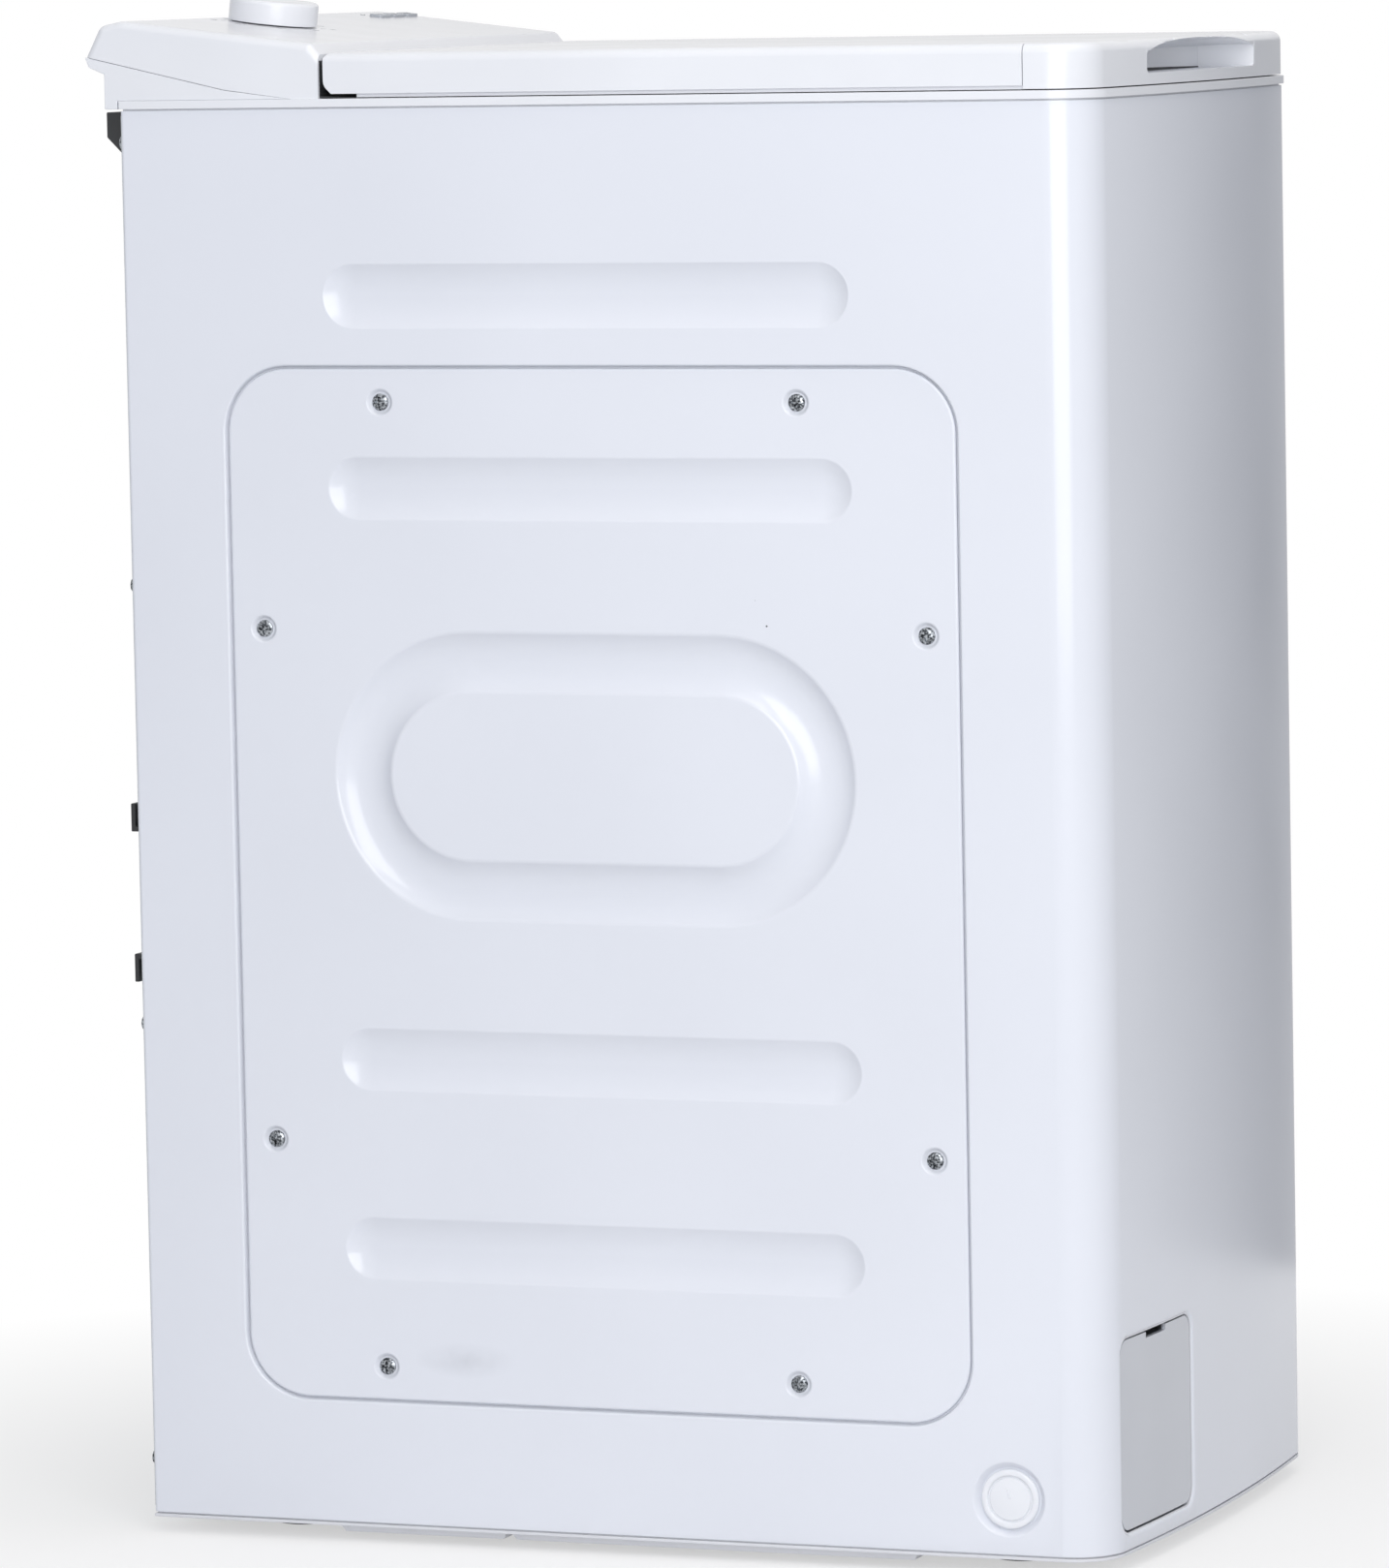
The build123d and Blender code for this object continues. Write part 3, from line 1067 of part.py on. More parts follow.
with BuildPart() as console_base:
    with BuildSketch(left_skin):
        with BuildLine():
            Polyline(
                parting_start,
                (parting_knee[0], parting_knee[1] - SEAM),
                (tip[0], tip[1] - SEAM),
                (tip[0] - UNDER_TIP_SETBACK, tip[1] - UNDER_TIP_DROP),
                (step_y, tip[1] - STEP_DROP),
                (step_y, SKIN_TOP),
                (rear_ledge, SKIN_TOP),
                (rear_ledge, TRIM_TOP),
                close=True,
            )
        make_face()
    extrude(amount=CABINET_WIDTH)
    add(console_room(), mode=Mode.SUBTRACT)
console_base.part.label = "console_base"
export_step(console_base.part, "parts/console_base.step")

with BuildPart() as console_fascia:
    with BuildSketch(left_skin) as section:
        with BuildLine():
            Polyline(
                (console_front_y, TRIM_TOP),
                parting_start,
                parting_knee,
                tip,
                brow,
                crest,
                ridge,
                nose,
                close=True,
            )
        make_face()
        for corner, radius in ((crest, CREST_RADIUS), (brow, BROW_RADIUS), (ridge, RIDGE_RADIUS)):
            fillet(section.vertices().sort_by_distance(corner)[0], radius)
    extrude(amount=CABINET_WIDTH)
    side_edges = console_fascia.edges().filter_by(Plane.YZ).filter_by(lambda edge: edge.center().Z > tip[1])
    fillet(side_edges.filter_by(lambda edge: edge.center().Y > console_front_y), CONSOLE_EDGE)
    add(console_room(), mode=Mode.SUBTRACT)
    with BuildSketch(board_top):
        with Locations(board_middle):
            with GridLocations(board_width - BOARD_MARGIN, board_height - BOARD_MARGIN, 2, 2):
                Circle(POST_RADIUS)
    extrude(amount=BOARD_DEPTH - CONSOLE_WALL)
    with BuildSketch(facet_under):
        with Locations((KNOB_X, KNOB_UP)):
            Circle(KNOB_SHAFT_RADIUS + SEAM)
        with Locations(button_places):
            RectangleRounded(BUTTON_WIDTH + 2 * SEAM, BUTTON_LENGTH + 2 * SEAM, BUTTON_CORNER + SEAM)
        with Locations(lens_places):
            Circle(LENS_RADIUS)
    extrude(amount=CONSOLE_WALL, mode=Mode.SUBTRACT)
console_fascia.part.label = "console_fascia"
export_step(console_fascia.part, "parts/console_fascia.step")

with BuildPart() as indicator_lenses:
    with BuildSketch(facet_under):
        with Locations(lens_places):
            Circle(LENS_RADIUS)
    extrude(amount=CONSOLE_WALL + LENS_PROUD)
indicator_lenses.part.label = "indicator_lenses"
export_step(indicator_lenses.part, "parts/indicator_lenses.step")

# Control board behind the fascia, with a key switch below each button
with BuildPart() as control_board:
    with BuildSketch(board_top):
        with Locations(board_middle):
            Rectangle(board_width, board_height)
    extrude(amount=-BOARD_THICKNESS)
    with BuildSketch(board_top):
        with Locations(button_places):
            Rectangle(SWITCH_SIZE, SWITCH_SIZE)
    extrude(amount=SWITCH_HEIGHT)
control_board.part.label = "control_board"
export_step(control_board.part, "parts/control_board.step")

with BuildPart() as selector_switch:
    with BuildSketch(board_top):
        with Locations((KNOB_X, KNOB_UP)):
            Rectangle(SELECTOR_SIZE, SELECTOR_SIZE)
            Circle(KNOB_SHAFT_RADIUS + RUNNING, mode=Mode.SUBTRACT)
    extrude(amount=SELECTOR_HEIGHT)
selector_switch.part.label = "selector_switch"
export_step(selector_switch.part, "parts/selector_switch.step")

with BuildPart() as program_knob:
    with BuildSketch(facet.offset(KNOB_GAP)):
        with Locations((KNOB_X, KNOB_UP)):
            Circle(KNOB_RADIUS)
    extrude(amount=KNOB_HEIGHT)
    fillet(program_knob.edges().sort_by(lambda edge: facet.to_local_coords(edge.center()).Z)[-1], KNOB_EDGE)
    with BuildSketch(facet.offset(KNOB_GAP)):
        with Locations((KNOB_X, KNOB_UP)):
            Circle(KNOB_SHAFT_RADIUS)
    extrude(amount=SEAM - BOARD_DEPTH - KNOB_GAP)
program_knob.part.label = "program_knob"
export_step(program_knob.part, "parts/program_knob.step")

# Push buttons: a cap through the fascia, a flange that holds it in and a stem down to the switch
button_stem_end = BOARD_DEPTH - SWITCH_HEIGHT - BUTTON_TRAVEL - SEAM
for button_name, place in zip(BUTTON_NAMES, button_places):
    with BuildPart() as button:
        with BuildSketch(facet.offset(BUTTON_PROUD)):
            with Locations(place):
                RectangleRounded(BUTTON_WIDTH, BUTTON_LENGTH, BUTTON_CORNER)
        extrude(amount=-BUTTON_PROUD - CONSOLE_WALL - SEAM)
        with BuildSketch(facet_under.offset(-SEAM)):
            with Locations(place):
                Rectangle(BUTTON_WIDTH + 2 * BUTTON_FLANGE, BUTTON_LENGTH + 2 * BUTTON_FLANGE)
        extrude(amount=-BUTTON_FLANGE)
        with BuildSketch(facet_under):
            with Locations(place):
                Circle(BUTTON_STEM_RADIUS)
        extrude(amount=CONSOLE_WALL - button_stem_end)
    button.part.label = button_name
    export_step(button.part, f"parts/{button_name}.step")

# Bulkheads: a standing plate each side of the drum, with a bearing hub on its outer face
bulkhead_outer = bulkhead_x + BULKHEAD_SHEET
hub_radius = BEARING_RADIUS + HUB_WALL
hub_end = bulkhead_outer + BEARING_WIDTH
bulkhead_depth = BULKHEAD_REAR_Y - BULKHEAD_FRONT_Y
bulkhead_middle_y = (BULKHEAD_REAR_Y + BULKHEAD_FRONT_Y) / 2
bulkhead_height = BULKHEAD_TOP - SKIN_BOTTOM
bulkhead_middle_z = (BULKHEAD_TOP + SKIN_BOTTOM) / 2
return_port_y = (BULKHEAD_FRONT_Y + CONDENSER_REAR_Y) / 2
return_port_z = (CONDENSER_BOTTOM + CONDENSER_TOP) / 2


def bulkhead_blank(side):
    """Plate, foot and bearing hub of one bulkhead, before its ports are cut."""
    inner = Plane(origin=(side * bulkhead_x, 0, 0), x_dir=(0, 1, 0), z_dir=(1, 0, 0))
    with BuildPart(mode=Mode.PRIVATE) as blank:
        with BuildSketch(inner):
            with Locations((bulkhead_middle_y, bulkhead_middle_z)):
                Rectangle(bulkhead_depth, bulkhead_height)
        extrude(amount=side * BULKHEAD_SHEET)
        fillet(blank.edges().filter_by(Axis.X).group_by(Axis.Z)[-1], BULKHEAD_RADIUS)
        with BuildSketch(Plane.XY.offset(SKIN_BOTTOM)):
            with Locations((side * (bulkhead_x + BULKHEAD_FOOT / 2), bulkhead_middle_y)):
                Rectangle(BULKHEAD_FOOT, bulkhead_depth)
        extrude(amount=BULKHEAD_SHEET)
        with BuildSketch(inner):
            with Locations((DRUM_Y, DRUM_Z)):
                Circle(hub_radius)
        extrude(amount=side * (BULKHEAD_SHEET + BEARING_WIDTH))
        with BuildSketch(inner.offset(side * BULKHEAD_SHEET)):
            with Locations((DRUM_Y, DRUM_Z)):
                Circle(BEARING_RADIUS)
        extrude(amount=side * BEARING_WIDTH, mode=Mode.SUBTRACT)
        with BuildSketch(inner):
            with Locations((DRUM_Y, DRUM_Z)):
                Circle(BULKHEAD_BORE)
        extrude(amount=side * BULKHEAD_SHEET, mode=Mode.SUBTRACT)
    return blank.part


with BuildPart() as left_bulkhead:
    add(bulkhead_blank(-1))
    with BuildSketch(motor_axis.offset(-bulkhead_x)):
        Circle(MOTOR_SHAFT_HOLE)
    extrude(amount=-BULKHEAD_SHEET, mode=Mode.SUBTRACT)
left_bulkhead.part.label = "left_bulkhead"
export_step(left_bulkhead.part, "parts/left_bulkhead.step")

with BuildPart() as right_bulkhead:
    add(bulkhead_blank(1))
    with BuildSketch(motor_axis.offset(bulkhead_x)):
        Circle(FAN_OUTLET_RADIUS)
    extrude(amount=BULKHEAD_SHEET, mode=Mode.SUBTRACT)
    with BuildSketch(drum_axis.offset(bulkhead_x)):
        with Locations((PORT_OFFSET, 0), (-PORT_OFFSET, 0)):
            with GridLocations(PORT_PITCH, PORT_PITCH, PORT_COLUMNS, PORT_ROWS):
                Circle(PORT_RADIUS)
    extrude(amount=BULKHEAD_SHEET, mode=Mode.SUBTRACT)
    with BuildSketch(Plane.YZ.offset(bulkhead_x)):
        with Locations((return_port_y, return_port_z)):
            Rectangle(RETURN_PORT_WIDTH, RETURN_PORT_HEIGHT)
    extrude(amount=BULKHEAD_SHEET, mode=Mode.SUBTRACT)
right_bulkhead.part.label = "right_bulkhead"
export_step(right_bulkhead.part, "parts/right_bulkhead.step")

# Two folded rails tie the bulkheads together above the drum
rail_inset_y = bulkhead_depth / 2 - RAIL_BAR_DEPTH / 2 - RAIL_BAR_INSET
rail_z = BULKHEAD_TOP - BULKHEAD_RADIUS - RAIL_BAR_HEIGHT / 2
rail_sides = [(bulkhead_middle_y - rail_inset_y, rail_z), (bulkhead_middle_y + rail_inset_y, rail_z)]
with BuildPart() as cross_rails:
    with BuildSketch(Plane.YZ):
        with Locations(rail_sides):
            Rectangle(RAIL_BAR_DEPTH, RAIL_BAR_HEIGHT)
            Rectangle(RAIL_BAR_DEPTH - 2 * RAIL_BAR_WALL, RAIL_BAR_HEIGHT - 2 * RAIL_BAR_WALL,
                      mode=Mode.SUBTRACT)
    extrude(amount=bulkhead_x, both=True)
cross_rails.part.label = "cross_rails"
export_step(cross_rails.part, "parts/cross_rails.step")

with BuildPart() as drum_bearings:
    for side in (-1, 1):
        with BuildSketch(drum_axis.offset(side * bulkhead_outer)):
            Circle(BEARING_RADIUS)
            Circle(SHAFT_RADIUS + RUNNING, mode=Mode.SUBTRACT)
        extrude(amount=side * BEARING_WIDTH)
drum_bearings.part.label = "drum_bearings"
export_step(drum_bearings.part, "parts/drum_bearings.step")

drum_inner = DRUM_RADIUS - DRUM_SHEET
with BuildPart() as drum_felt_seals:
    for side in (-1, 1):
        with BuildSketch(drum_axis.offset(side * bulkhead_x)):
            Circle(drum_inner - FELT_INSET)
            Circle(drum_inner - FELT_INSET - FELT_WIDTH, mode=Mode.SUBTRACT)
        extrude(amount=side * (SEAM - DRUM_END_GAP))
drum_felt_seals.part.label = "drum_felt_seals"
export_step(drum_felt_seals.part, "parts/drum_felt_seals.step")

# Drum: rolled shell with a door opening, two ends, lifters, shafts and the belt pulley
drum_half = DRUM_LENGTH / 2
with BuildPart() as drum_shell:
    with BuildSketch(drum_axis):
        Circle(DRUM_RADIUS)
        Circle(drum_inner, mode=Mode.SUBTRACT)
    extrude(amount=drum_half, both=True)
    with BuildSketch(drum_axis):
        add(drum_arc(drum_inner - DRUM_SHEET, DRUM_RADIUS + DRUM_SHEET,
                     90 - DOOR_HALF_ANGLE, 2 * DOOR_HALF_ANGLE))
    extrude(amount=DOOR_WIDTH / 2, both=True, mode=Mode.SUBTRACT)
drum_shell.part.label = "drum_shell"
export_step(drum_shell.part, "parts/drum_shell.step")

with BuildPart() as drum_left_end:
    with BuildSketch(drum_axis.offset(-drum_half)):
        Circle(drum_inner)
    extrude(amount=DRUM_END_SHEET)
drum_left_end.part.label = "drum_left_end"
export_step(drum_left_end.part, "parts/drum_left_end.step")

with BuildPart() as drum_right_end:
    with BuildSketch(drum_axis.offset(drum_half)):
        Circle(drum_inner)
        for ring_radius, hole_count in AIR_HOLE_RINGS:
            with PolarLocations(ring_radius, hole_count):
                Circle(AIR_HOLE_RADIUS, mode=Mode.SUBTRACT)
    extrude(amount=-DRUM_END_SHEET)
drum_right_end.part.label = "drum_right_end"
export_step(drum_right_end.part, "parts/drum_right_end.step")



def lifter_section():
    """Section of one lifter, standing on the shell at the zero angle."""
    with BuildSketch(mode=Mode.PRIVATE) as section:
        with BuildLine():
            Polyline(
                (DRUM_RADIUS, -LIFTER_BASE / 2),
                (drum_inner - LIFTER_FOOT, -LIFTER_BASE / 2),
                (drum_inner - LIFTER_HEIGHT, -LIFTER_CREST / 2),
                (drum_inner - LIFTER_HEIGHT, LIFTER_CREST / 2),
                (drum_inner - LIFTER_FOOT, LIFTER_BASE / 2),
                (DRUM_RADIUS, LIFTER_BASE / 2),
                close=True,
            )
        make_face()
    return section.sketch


with BuildPart() as drum_lifters:
    with BuildSketch(drum_axis.offset(-LIFTER_LENGTH / 2)):
        for lifter_angle in LIFTER_ANGLES:
            add(lifter_section(), rotation=lifter_angle)
    extrude(amount=LIFTER_LENGTH)
    with BuildSketch(drum_axis.offset(-LIFTER_LENGTH / 2)):
        Circle(drum_inner)
    extrude(amount=LIFTER_LENGTH, mode=Mode.INTERSECT)
drum_lifters.part.label = "drum_lifters"
export_step(drum_lifters.part, "parts/drum_lifters.step")

pulley_inner = hub_end + PULLEY_GAP
pulley_outer = pulley_inner + PULLEY_WIDTH
with BuildPart() as drum_shafts:
    for side, shaft_end in ((-1, pulley_outer + SHAFT_END), (1, hub_end + SHAFT_END)):
        with BuildSketch(drum_axis.offset(side * drum_half)):
            Circle(SHAFT_FLANGE_RADIUS)
        extrude(amount=side * SHAFT_FLANGE)
        with BuildSketch(drum_axis.offset(side * drum_half)):
            Circle(SHAFT_RADIUS)
        extrude(amount=side * (shaft_end - drum_half))
drum_shafts.part.label = "drum_shafts"
export_step(drum_shafts.part, "parts/drum_shafts.step")

web_offset = (PULLEY_WIDTH - DRUM_PULLEY_WEB) / 2
with BuildPart() as drum_pulley:
    with BuildSketch(drum_axis.offset(-pulley_outer)):
        Circle(DRUM_PULLEY_RADIUS + PULLEY_LIP)
    extrude(amount=PULLEY_WIDTH)
    with BuildSketch(drum_axis.offset(-pulley_outer + PULLEY_FLANGE)):
        Circle(DRUM_PULLEY_RADIUS + 2 * PULLEY_LIP)
        Circle(DRUM_PULLEY_RADIUS, mode=Mode.SUBTRACT)
    extrude(amount=PULLEY_WIDTH - 2 * PULLEY_FLANGE, mode=Mode.SUBTRACT)
    for recess_from in (-pulley_outer, -pulley_inner - web_offset):
        with BuildSketch(drum_axis.offset(recess_from)):
            Circle(DRUM_PULLEY_RADIUS - DRUM_PULLEY_RIM)
            Circle(DRUM_PULLEY_HUB, mode=Mode.SUBTRACT)
        extrude(amount=web_offset, mode=Mode.SUBTRACT)
    with BuildSketch(drum_axis.offset(-pulley_outer)):
        Circle(SHAFT_RADIUS)
        with PolarLocations(PULLEY_HOLE_CIRCLE, PULLEY_SPOKE_HOLES):
            Circle(PULLEY_HOLE_RADIUS)
    extrude(amount=PULLEY_WIDTH, mode=Mode.SUBTRACT)
drum_pulley.part.label = "drum_pulley"
export_step(drum_pulley.part, "parts/drum_pulley.step")

# Drum door: a curved shutter that slides round inside the shell on two rails
shutter_outer = drum_inner - SHUTTER_GAP
shutter_inner = shutter_outer - SHUTTER_THICKNESS
shutter_half_angle = DOOR_HALF_ANGLE + SHUTTER_LAP_ANGLE
shutter_half = DOOR_WIDTH / 2 + SHUTTER_LAP
rail_top = shutter_inner - RAIL_CLEARANCE
rail_bottom = rail_top - RAIL_LIP_THICKNESS
rail_start = 90 - shutter_half_angle - SHUTTER_TRAVEL - RAIL_END_ANGLE
rail_sweep = 2 * shutter_half_angle + SHUTTER_TRAVEL + 2 * RAIL_END_ANGLE
with BuildPart() as shutter_rails:
    for side in (-1, 1):
        with BuildSketch(drum_axis.offset(side * (shutter_half + RAIL_CLEARANCE))):
            add(drum_arc(rail_bottom, drum_inner, rail_start, rail_sweep))
        extrude(amount=side * RAIL_WEB)
        with BuildSketch(drum_axis.offset(side * (shutter_half + RAIL_CLEARANCE))):
            add(drum_arc(rail_bottom, rail_top, rail_start, rail_sweep))
        extrude(amount=-side * RAIL_LIP)
shutter_rails.part.label = "shutter_rails"
export_step(shutter_rails.part, "parts/shutter_rails.step")

pull_half = shutter_half - RAIL_LIP - PANEL_GAP
with BuildPart() as drum_shutter:
    with BuildSketch(drum_axis):
        add(drum_arc(shutter_inner, shutter_outer, 90 - shutter_half_angle, 2 * shutter_half_angle))
    extrude(amount=shutter_half, both=True)
    with BuildSketch(drum_axis):
        add(drum_arc(shutter_inner - SHUTTER_PULL_HEIGHT, shutter_outer,
                     90 + shutter_half_angle - SHUTTER_PULL_ANGLE, SHUTTER_PULL_ANGLE))
    extrude(amount=pull_half, both=True)
drum_shutter.part.label = "drum_shutter"
export_step(drum_shutter.part, "parts/drum_shutter.step")

# Drive: motor on its bracket, with the belt pulley on one end of its shaft and the fan on the other
core_radius = MOTOR_RADIUS - MOTOR_SHELL
fan_from_x = bulkhead_x - FAN_END_GAP - FAN_WIDTH
with BuildPart() as motor_housing:
    with BuildSketch(motor_axis.offset(MOTOR_FROM_X)):
        Circle(MOTOR_RADIUS)
    extrude(amount=MOTOR_LENGTH)
    with BuildSketch(motor_axis.offset(MOTOR_FROM_X + MOTOR_END_WALL)):
        Circle(core_radius)
    extrude(amount=MOTOR_LENGTH - 2 * MOTOR_END_WALL, mode=Mode.SUBTRACT)
    with BuildSketch(motor_axis.offset(MOTOR_FROM_X)):
        Circle(MOTOR_SHAFT_RADIUS + RUNNING)
    extrude(amount=MOTOR_LENGTH, mode=Mode.SUBTRACT)
motor_housing.part.label = "motor_housing"
export_step(motor_housing.part, "parts/motor_housing.step")

core_length = MOTOR_LENGTH - 2 * MOTOR_END_WALL - 2 * MOTOR_CORE_GAP
with BuildPart() as motor_shaft:
    with BuildSketch(motor_axis.offset(-pulley_outer)):
        Circle(MOTOR_SHAFT_RADIUS)
    extrude(amount=pulley_outer + fan_from_x + FAN_WIDTH)
    with BuildSketch(motor_axis.offset((MOTOR_FROM_X + MOTOR_TO_X - core_length) / 2)):
        Circle(core_radius - MOTOR_AIR_GAP)
    extrude(amount=core_length)
motor_shaft.part.label = "motor_shaft"
export_step(motor_shaft.part, "parts/motor_shaft.step")

with BuildPart() as motor_pulley:
    with BuildSketch(motor_axis.offset(-pulley_outer)):
        Circle(MOTOR_PULLEY_RADIUS + PULLEY_LIP)
    extrude(amount=PULLEY_WIDTH)
    with BuildSketch(motor_axis.offset(-pulley_outer + PULLEY_FLANGE)):
        Circle(MOTOR_PULLEY_RADIUS + 2 * PULLEY_LIP)
        Circle(MOTOR_PULLEY_RADIUS, mode=Mode.SUBTRACT)
    extrude(amount=PULLEY_WIDTH - 2 * PULLEY_FLANGE, mode=Mode.SUBTRACT)
    with BuildSketch(motor_axis.offset(-pulley_outer)):
        Circle(MOTOR_SHAFT_RADIUS)
    extrude(amount=PULLEY_WIDTH, mode=Mode.SUBTRACT)
motor_pulley.part.label = "motor_pulley"
export_step(motor_pulley.part, "parts/motor_pulley.step")


def belt_loop(lift):
    """Outline of the belt round both pulleys, lifted off their seats."""
    with BuildSketch(mode=Mode.PRIVATE) as loop:
        with Locations((DRUM_Y, DRUM_Z)):
            Circle(DRUM_PULLEY_RADIUS + lift)
        with Locations((MOTOR_Y, MOTOR_Z)):
            Circle(MOTOR_PULLEY_RADIUS + lift)
        make_hull()
    return loop.sketch


with BuildPart() as drive_belt:
    with BuildSketch(Plane.YZ.offset(-pulley_outer + PULLEY_FLANGE + SEAM)):
        add(belt_loop(SEAM + BELT_THICKNESS))
        add(belt_loop(SEAM), mode=Mode.SUBTRACT)
    extrude(amount=PULLEY_WIDTH - 2 * PULLEY_FLANGE - 2 * SEAM)
drive_belt.part.label = "drive_belt"
export_step(drive_belt.part, "parts/drive_belt.step")

cradle_top = MOTOR_Z - CRADLE_DROP
with BuildPart() as motor_bracket:
    with BuildSketch(Plane.XY.offset(SKIN_BOTTOM)):
        with Locations(((MOTOR_FROM_X + MOTOR_TO_X) / 2, MOTOR_Y)):
            Rectangle(MOTOR_LENGTH, 2 * CRADLE_HALF_WIDTH)
    extrude(amount=CRADLE_PLATE)
    for plate_x in (MOTOR_FROM_X + CRADLE_INSET, MOTOR_TO_X - CRADLE_INSET - CRADLE_PLATE):
        with BuildSketch(Plane.YZ.offset(plate_x)):
            with Locations((MOTOR_Y, (SKIN_BOTTOM + cradle_top) / 2)):
                Rectangle(2 * CRADLE_HALF_WIDTH, cradle_top - SKIN_BOTTOM)
            with Locations((MOTOR_Y, MOTOR_Z)):
                Circle(MOTOR_RADIUS, mode=Mode.SUBTRACT)
        extrude(amount=CRADLE_PLATE)
motor_bracket.part.label = "motor_bracket"
export_step(motor_bracket.part, "parts/motor_bracket.step")

# Fan: a drum-shaped wheel in its housing against the right bulkhead
with BuildPart() as fan_housing:
    with BuildSketch(motor_axis.offset(bulkhead_x - FAN_HOUSING_WIDTH)):
        Circle(FAN_HOUSING_RADIUS)
    extrude(amount=FAN_HOUSING_WIDTH)
    with BuildSketch(motor_axis.offset(bulkhead_x - FAN_HOUSING_WIDTH + FAN_HOUSING_WALL)):
        Circle(FAN_HOUSING_RADIUS - FAN_HOUSING_WALL)
    extrude(amount=FAN_HOUSING_WIDTH - FAN_HOUSING_WALL, mode=Mode.SUBTRACT)
    with BuildSketch(motor_axis.offset(bulkhead_x - FAN_HOUSING_WIDTH)):
        Circle(FAN_EYE_RADIUS)
    extrude(amount=FAN_HOUSING_WALL, mode=Mode.SUBTRACT)
fan_housing.part.label = "fan_housing"
export_step(fan_housing.part, "parts/fan_housing.step")

with BuildPart() as fan_impeller:
    with BuildSketch(motor_axis.offset(fan_from_x + FAN_WIDTH)):
        Circle(FAN_RADIUS)
    extrude(amount=-FAN_PLATE)
    with BuildSketch(motor_axis.offset(fan_from_x + FAN_WIDTH)):
        Circle(FAN_HUB_RADIUS)
    extrude(amount=-FAN_BLADE_DEPTH)
    with BuildSketch(motor_axis.offset(fan_from_x)):
        with PolarLocations(FAN_RADIUS - FAN_BLADE_DEPTH / 2, FAN_BLADES):
            Rectangle(FAN_BLADE_DEPTH - FAN_BLADE_THICKNESS, FAN_BLADE_THICKNESS)
    extrude(amount=FAN_WIDTH)
    with BuildSketch(motor_axis.offset(fan_from_x)):
        Circle(FAN_RADIUS)
        Circle(FAN_RADIUS - FAN_BLADE_DEPTH, mode=Mode.SUBTRACT)
    extrude(amount=FAN_PLATE)
    with BuildSketch(motor_axis.offset(fan_from_x)):
        Circle(MOTOR_SHAFT_RADIUS)
    extrude(amount=FAN_WIDTH, mode=Mode.SUBTRACT)
fan_impeller.part.label = "fan_impeller"
export_step(fan_impeller.part, "parts/fan_impeller.step")

# Ducts on the right bulkhead: the rear one blows into the drum, the front one takes the air back down
duct_near = hub_radius + DUCT_HUB_GAP
duct_height = DUCT_TOP - DUCT_BOTTOM
duct_middle = duct_near + DUCT_WIDTH / 2
duct_middle_z = (DUCT_TOP + DUCT_BOTTOM) / 2


def duct(middle_y):
    """A shallow tray closed by the bulkhead."""
    with BuildPart(mode=Mode.PRIVATE) as tray:
        with BuildSketch(Plane.YZ.offset(bulkhead_outer)):
            with Locations((middle_y, duct_middle_z)):
                RectangleRounded(DUCT_WIDTH, duct_height, DUCT_RADIUS)
        extrude(amount=DUCT_REACH)
        with BuildSketch(Plane.YZ.offset(bulkhead_outer)):
            with Locations((middle_y, duct_middle_z)):
                RectangleRounded(DUCT_WIDTH - 2 * DUCT_WALL, duct_height - 2 * DUCT_WALL,
                                 DUCT_RADIUS - DUCT_WALL)
        extrude(amount=DUCT_REACH - DUCT_WALL, mode=Mode.SUBTRACT)
    return tray.part


with BuildPart() as air_inlet_duct:
    add(duct(DRUM_Y + duct_middle))
air_inlet_duct.part.label = "air_inlet_duct"
export_step(air_inlet_duct.part, "parts/air_inlet_duct.step")

with BuildPart() as air_return_duct:
    add(duct(DRUM_Y - duct_middle))
air_return_duct.part.label = "air_return_duct"
export_step(air_return_duct.part, "parts/air_return_duct.step")

# Heater: a folded rod on a carrier plate in the inlet duct
heater_y = DRUM_Y + duct_middle
duct_floor_x = bulkhead_outer + DUCT_REACH - DUCT_WALL
heater_x = duct_floor_x - HEATER_PLATE_WIDTH / 2
run_from = heater_y - HEATER_RUN / 2
run_to = heater_y + HEATER_RUN / 2
heater_turns = [
    (run_from, HEATER_Z),
    (run_to, HEATER_Z),
    (run_to, HEATER_Z + HEATER_PITCH),
    (run_from, HEATER_Z + HEATER_PITCH),
    (run_from, HEATER_Z + 2 * HEATER_PITCH),
    (run_to, HEATER_Z + 2 * HEATER_PITCH),
]
with BuildPart() as heater:
    with BuildLine(Plane.YZ.offset(heater_x)) as heater_path:
        FilletPolyline(*heater_turns, radius=HEATER_BEND)
    with BuildSketch(Plane(origin=heater_path.line @ 0, z_dir=heater_path.line % 0)):
        Circle(HEATER_TUBE_RADIUS)
    sweep()
    with BuildSketch(Plane.XZ.offset(-heater_y)):
        with Locations((heater_x, HEATER_Z + HEATER_PITCH)):
            Rectangle(HEATER_PLATE_WIDTH, 3 * HEATER_PITCH)
    extrude(amount=HEATER_PLATE / 2, both=True)
heater.part.label = "heater"
export_step(heater.part, "parts/heater.step")

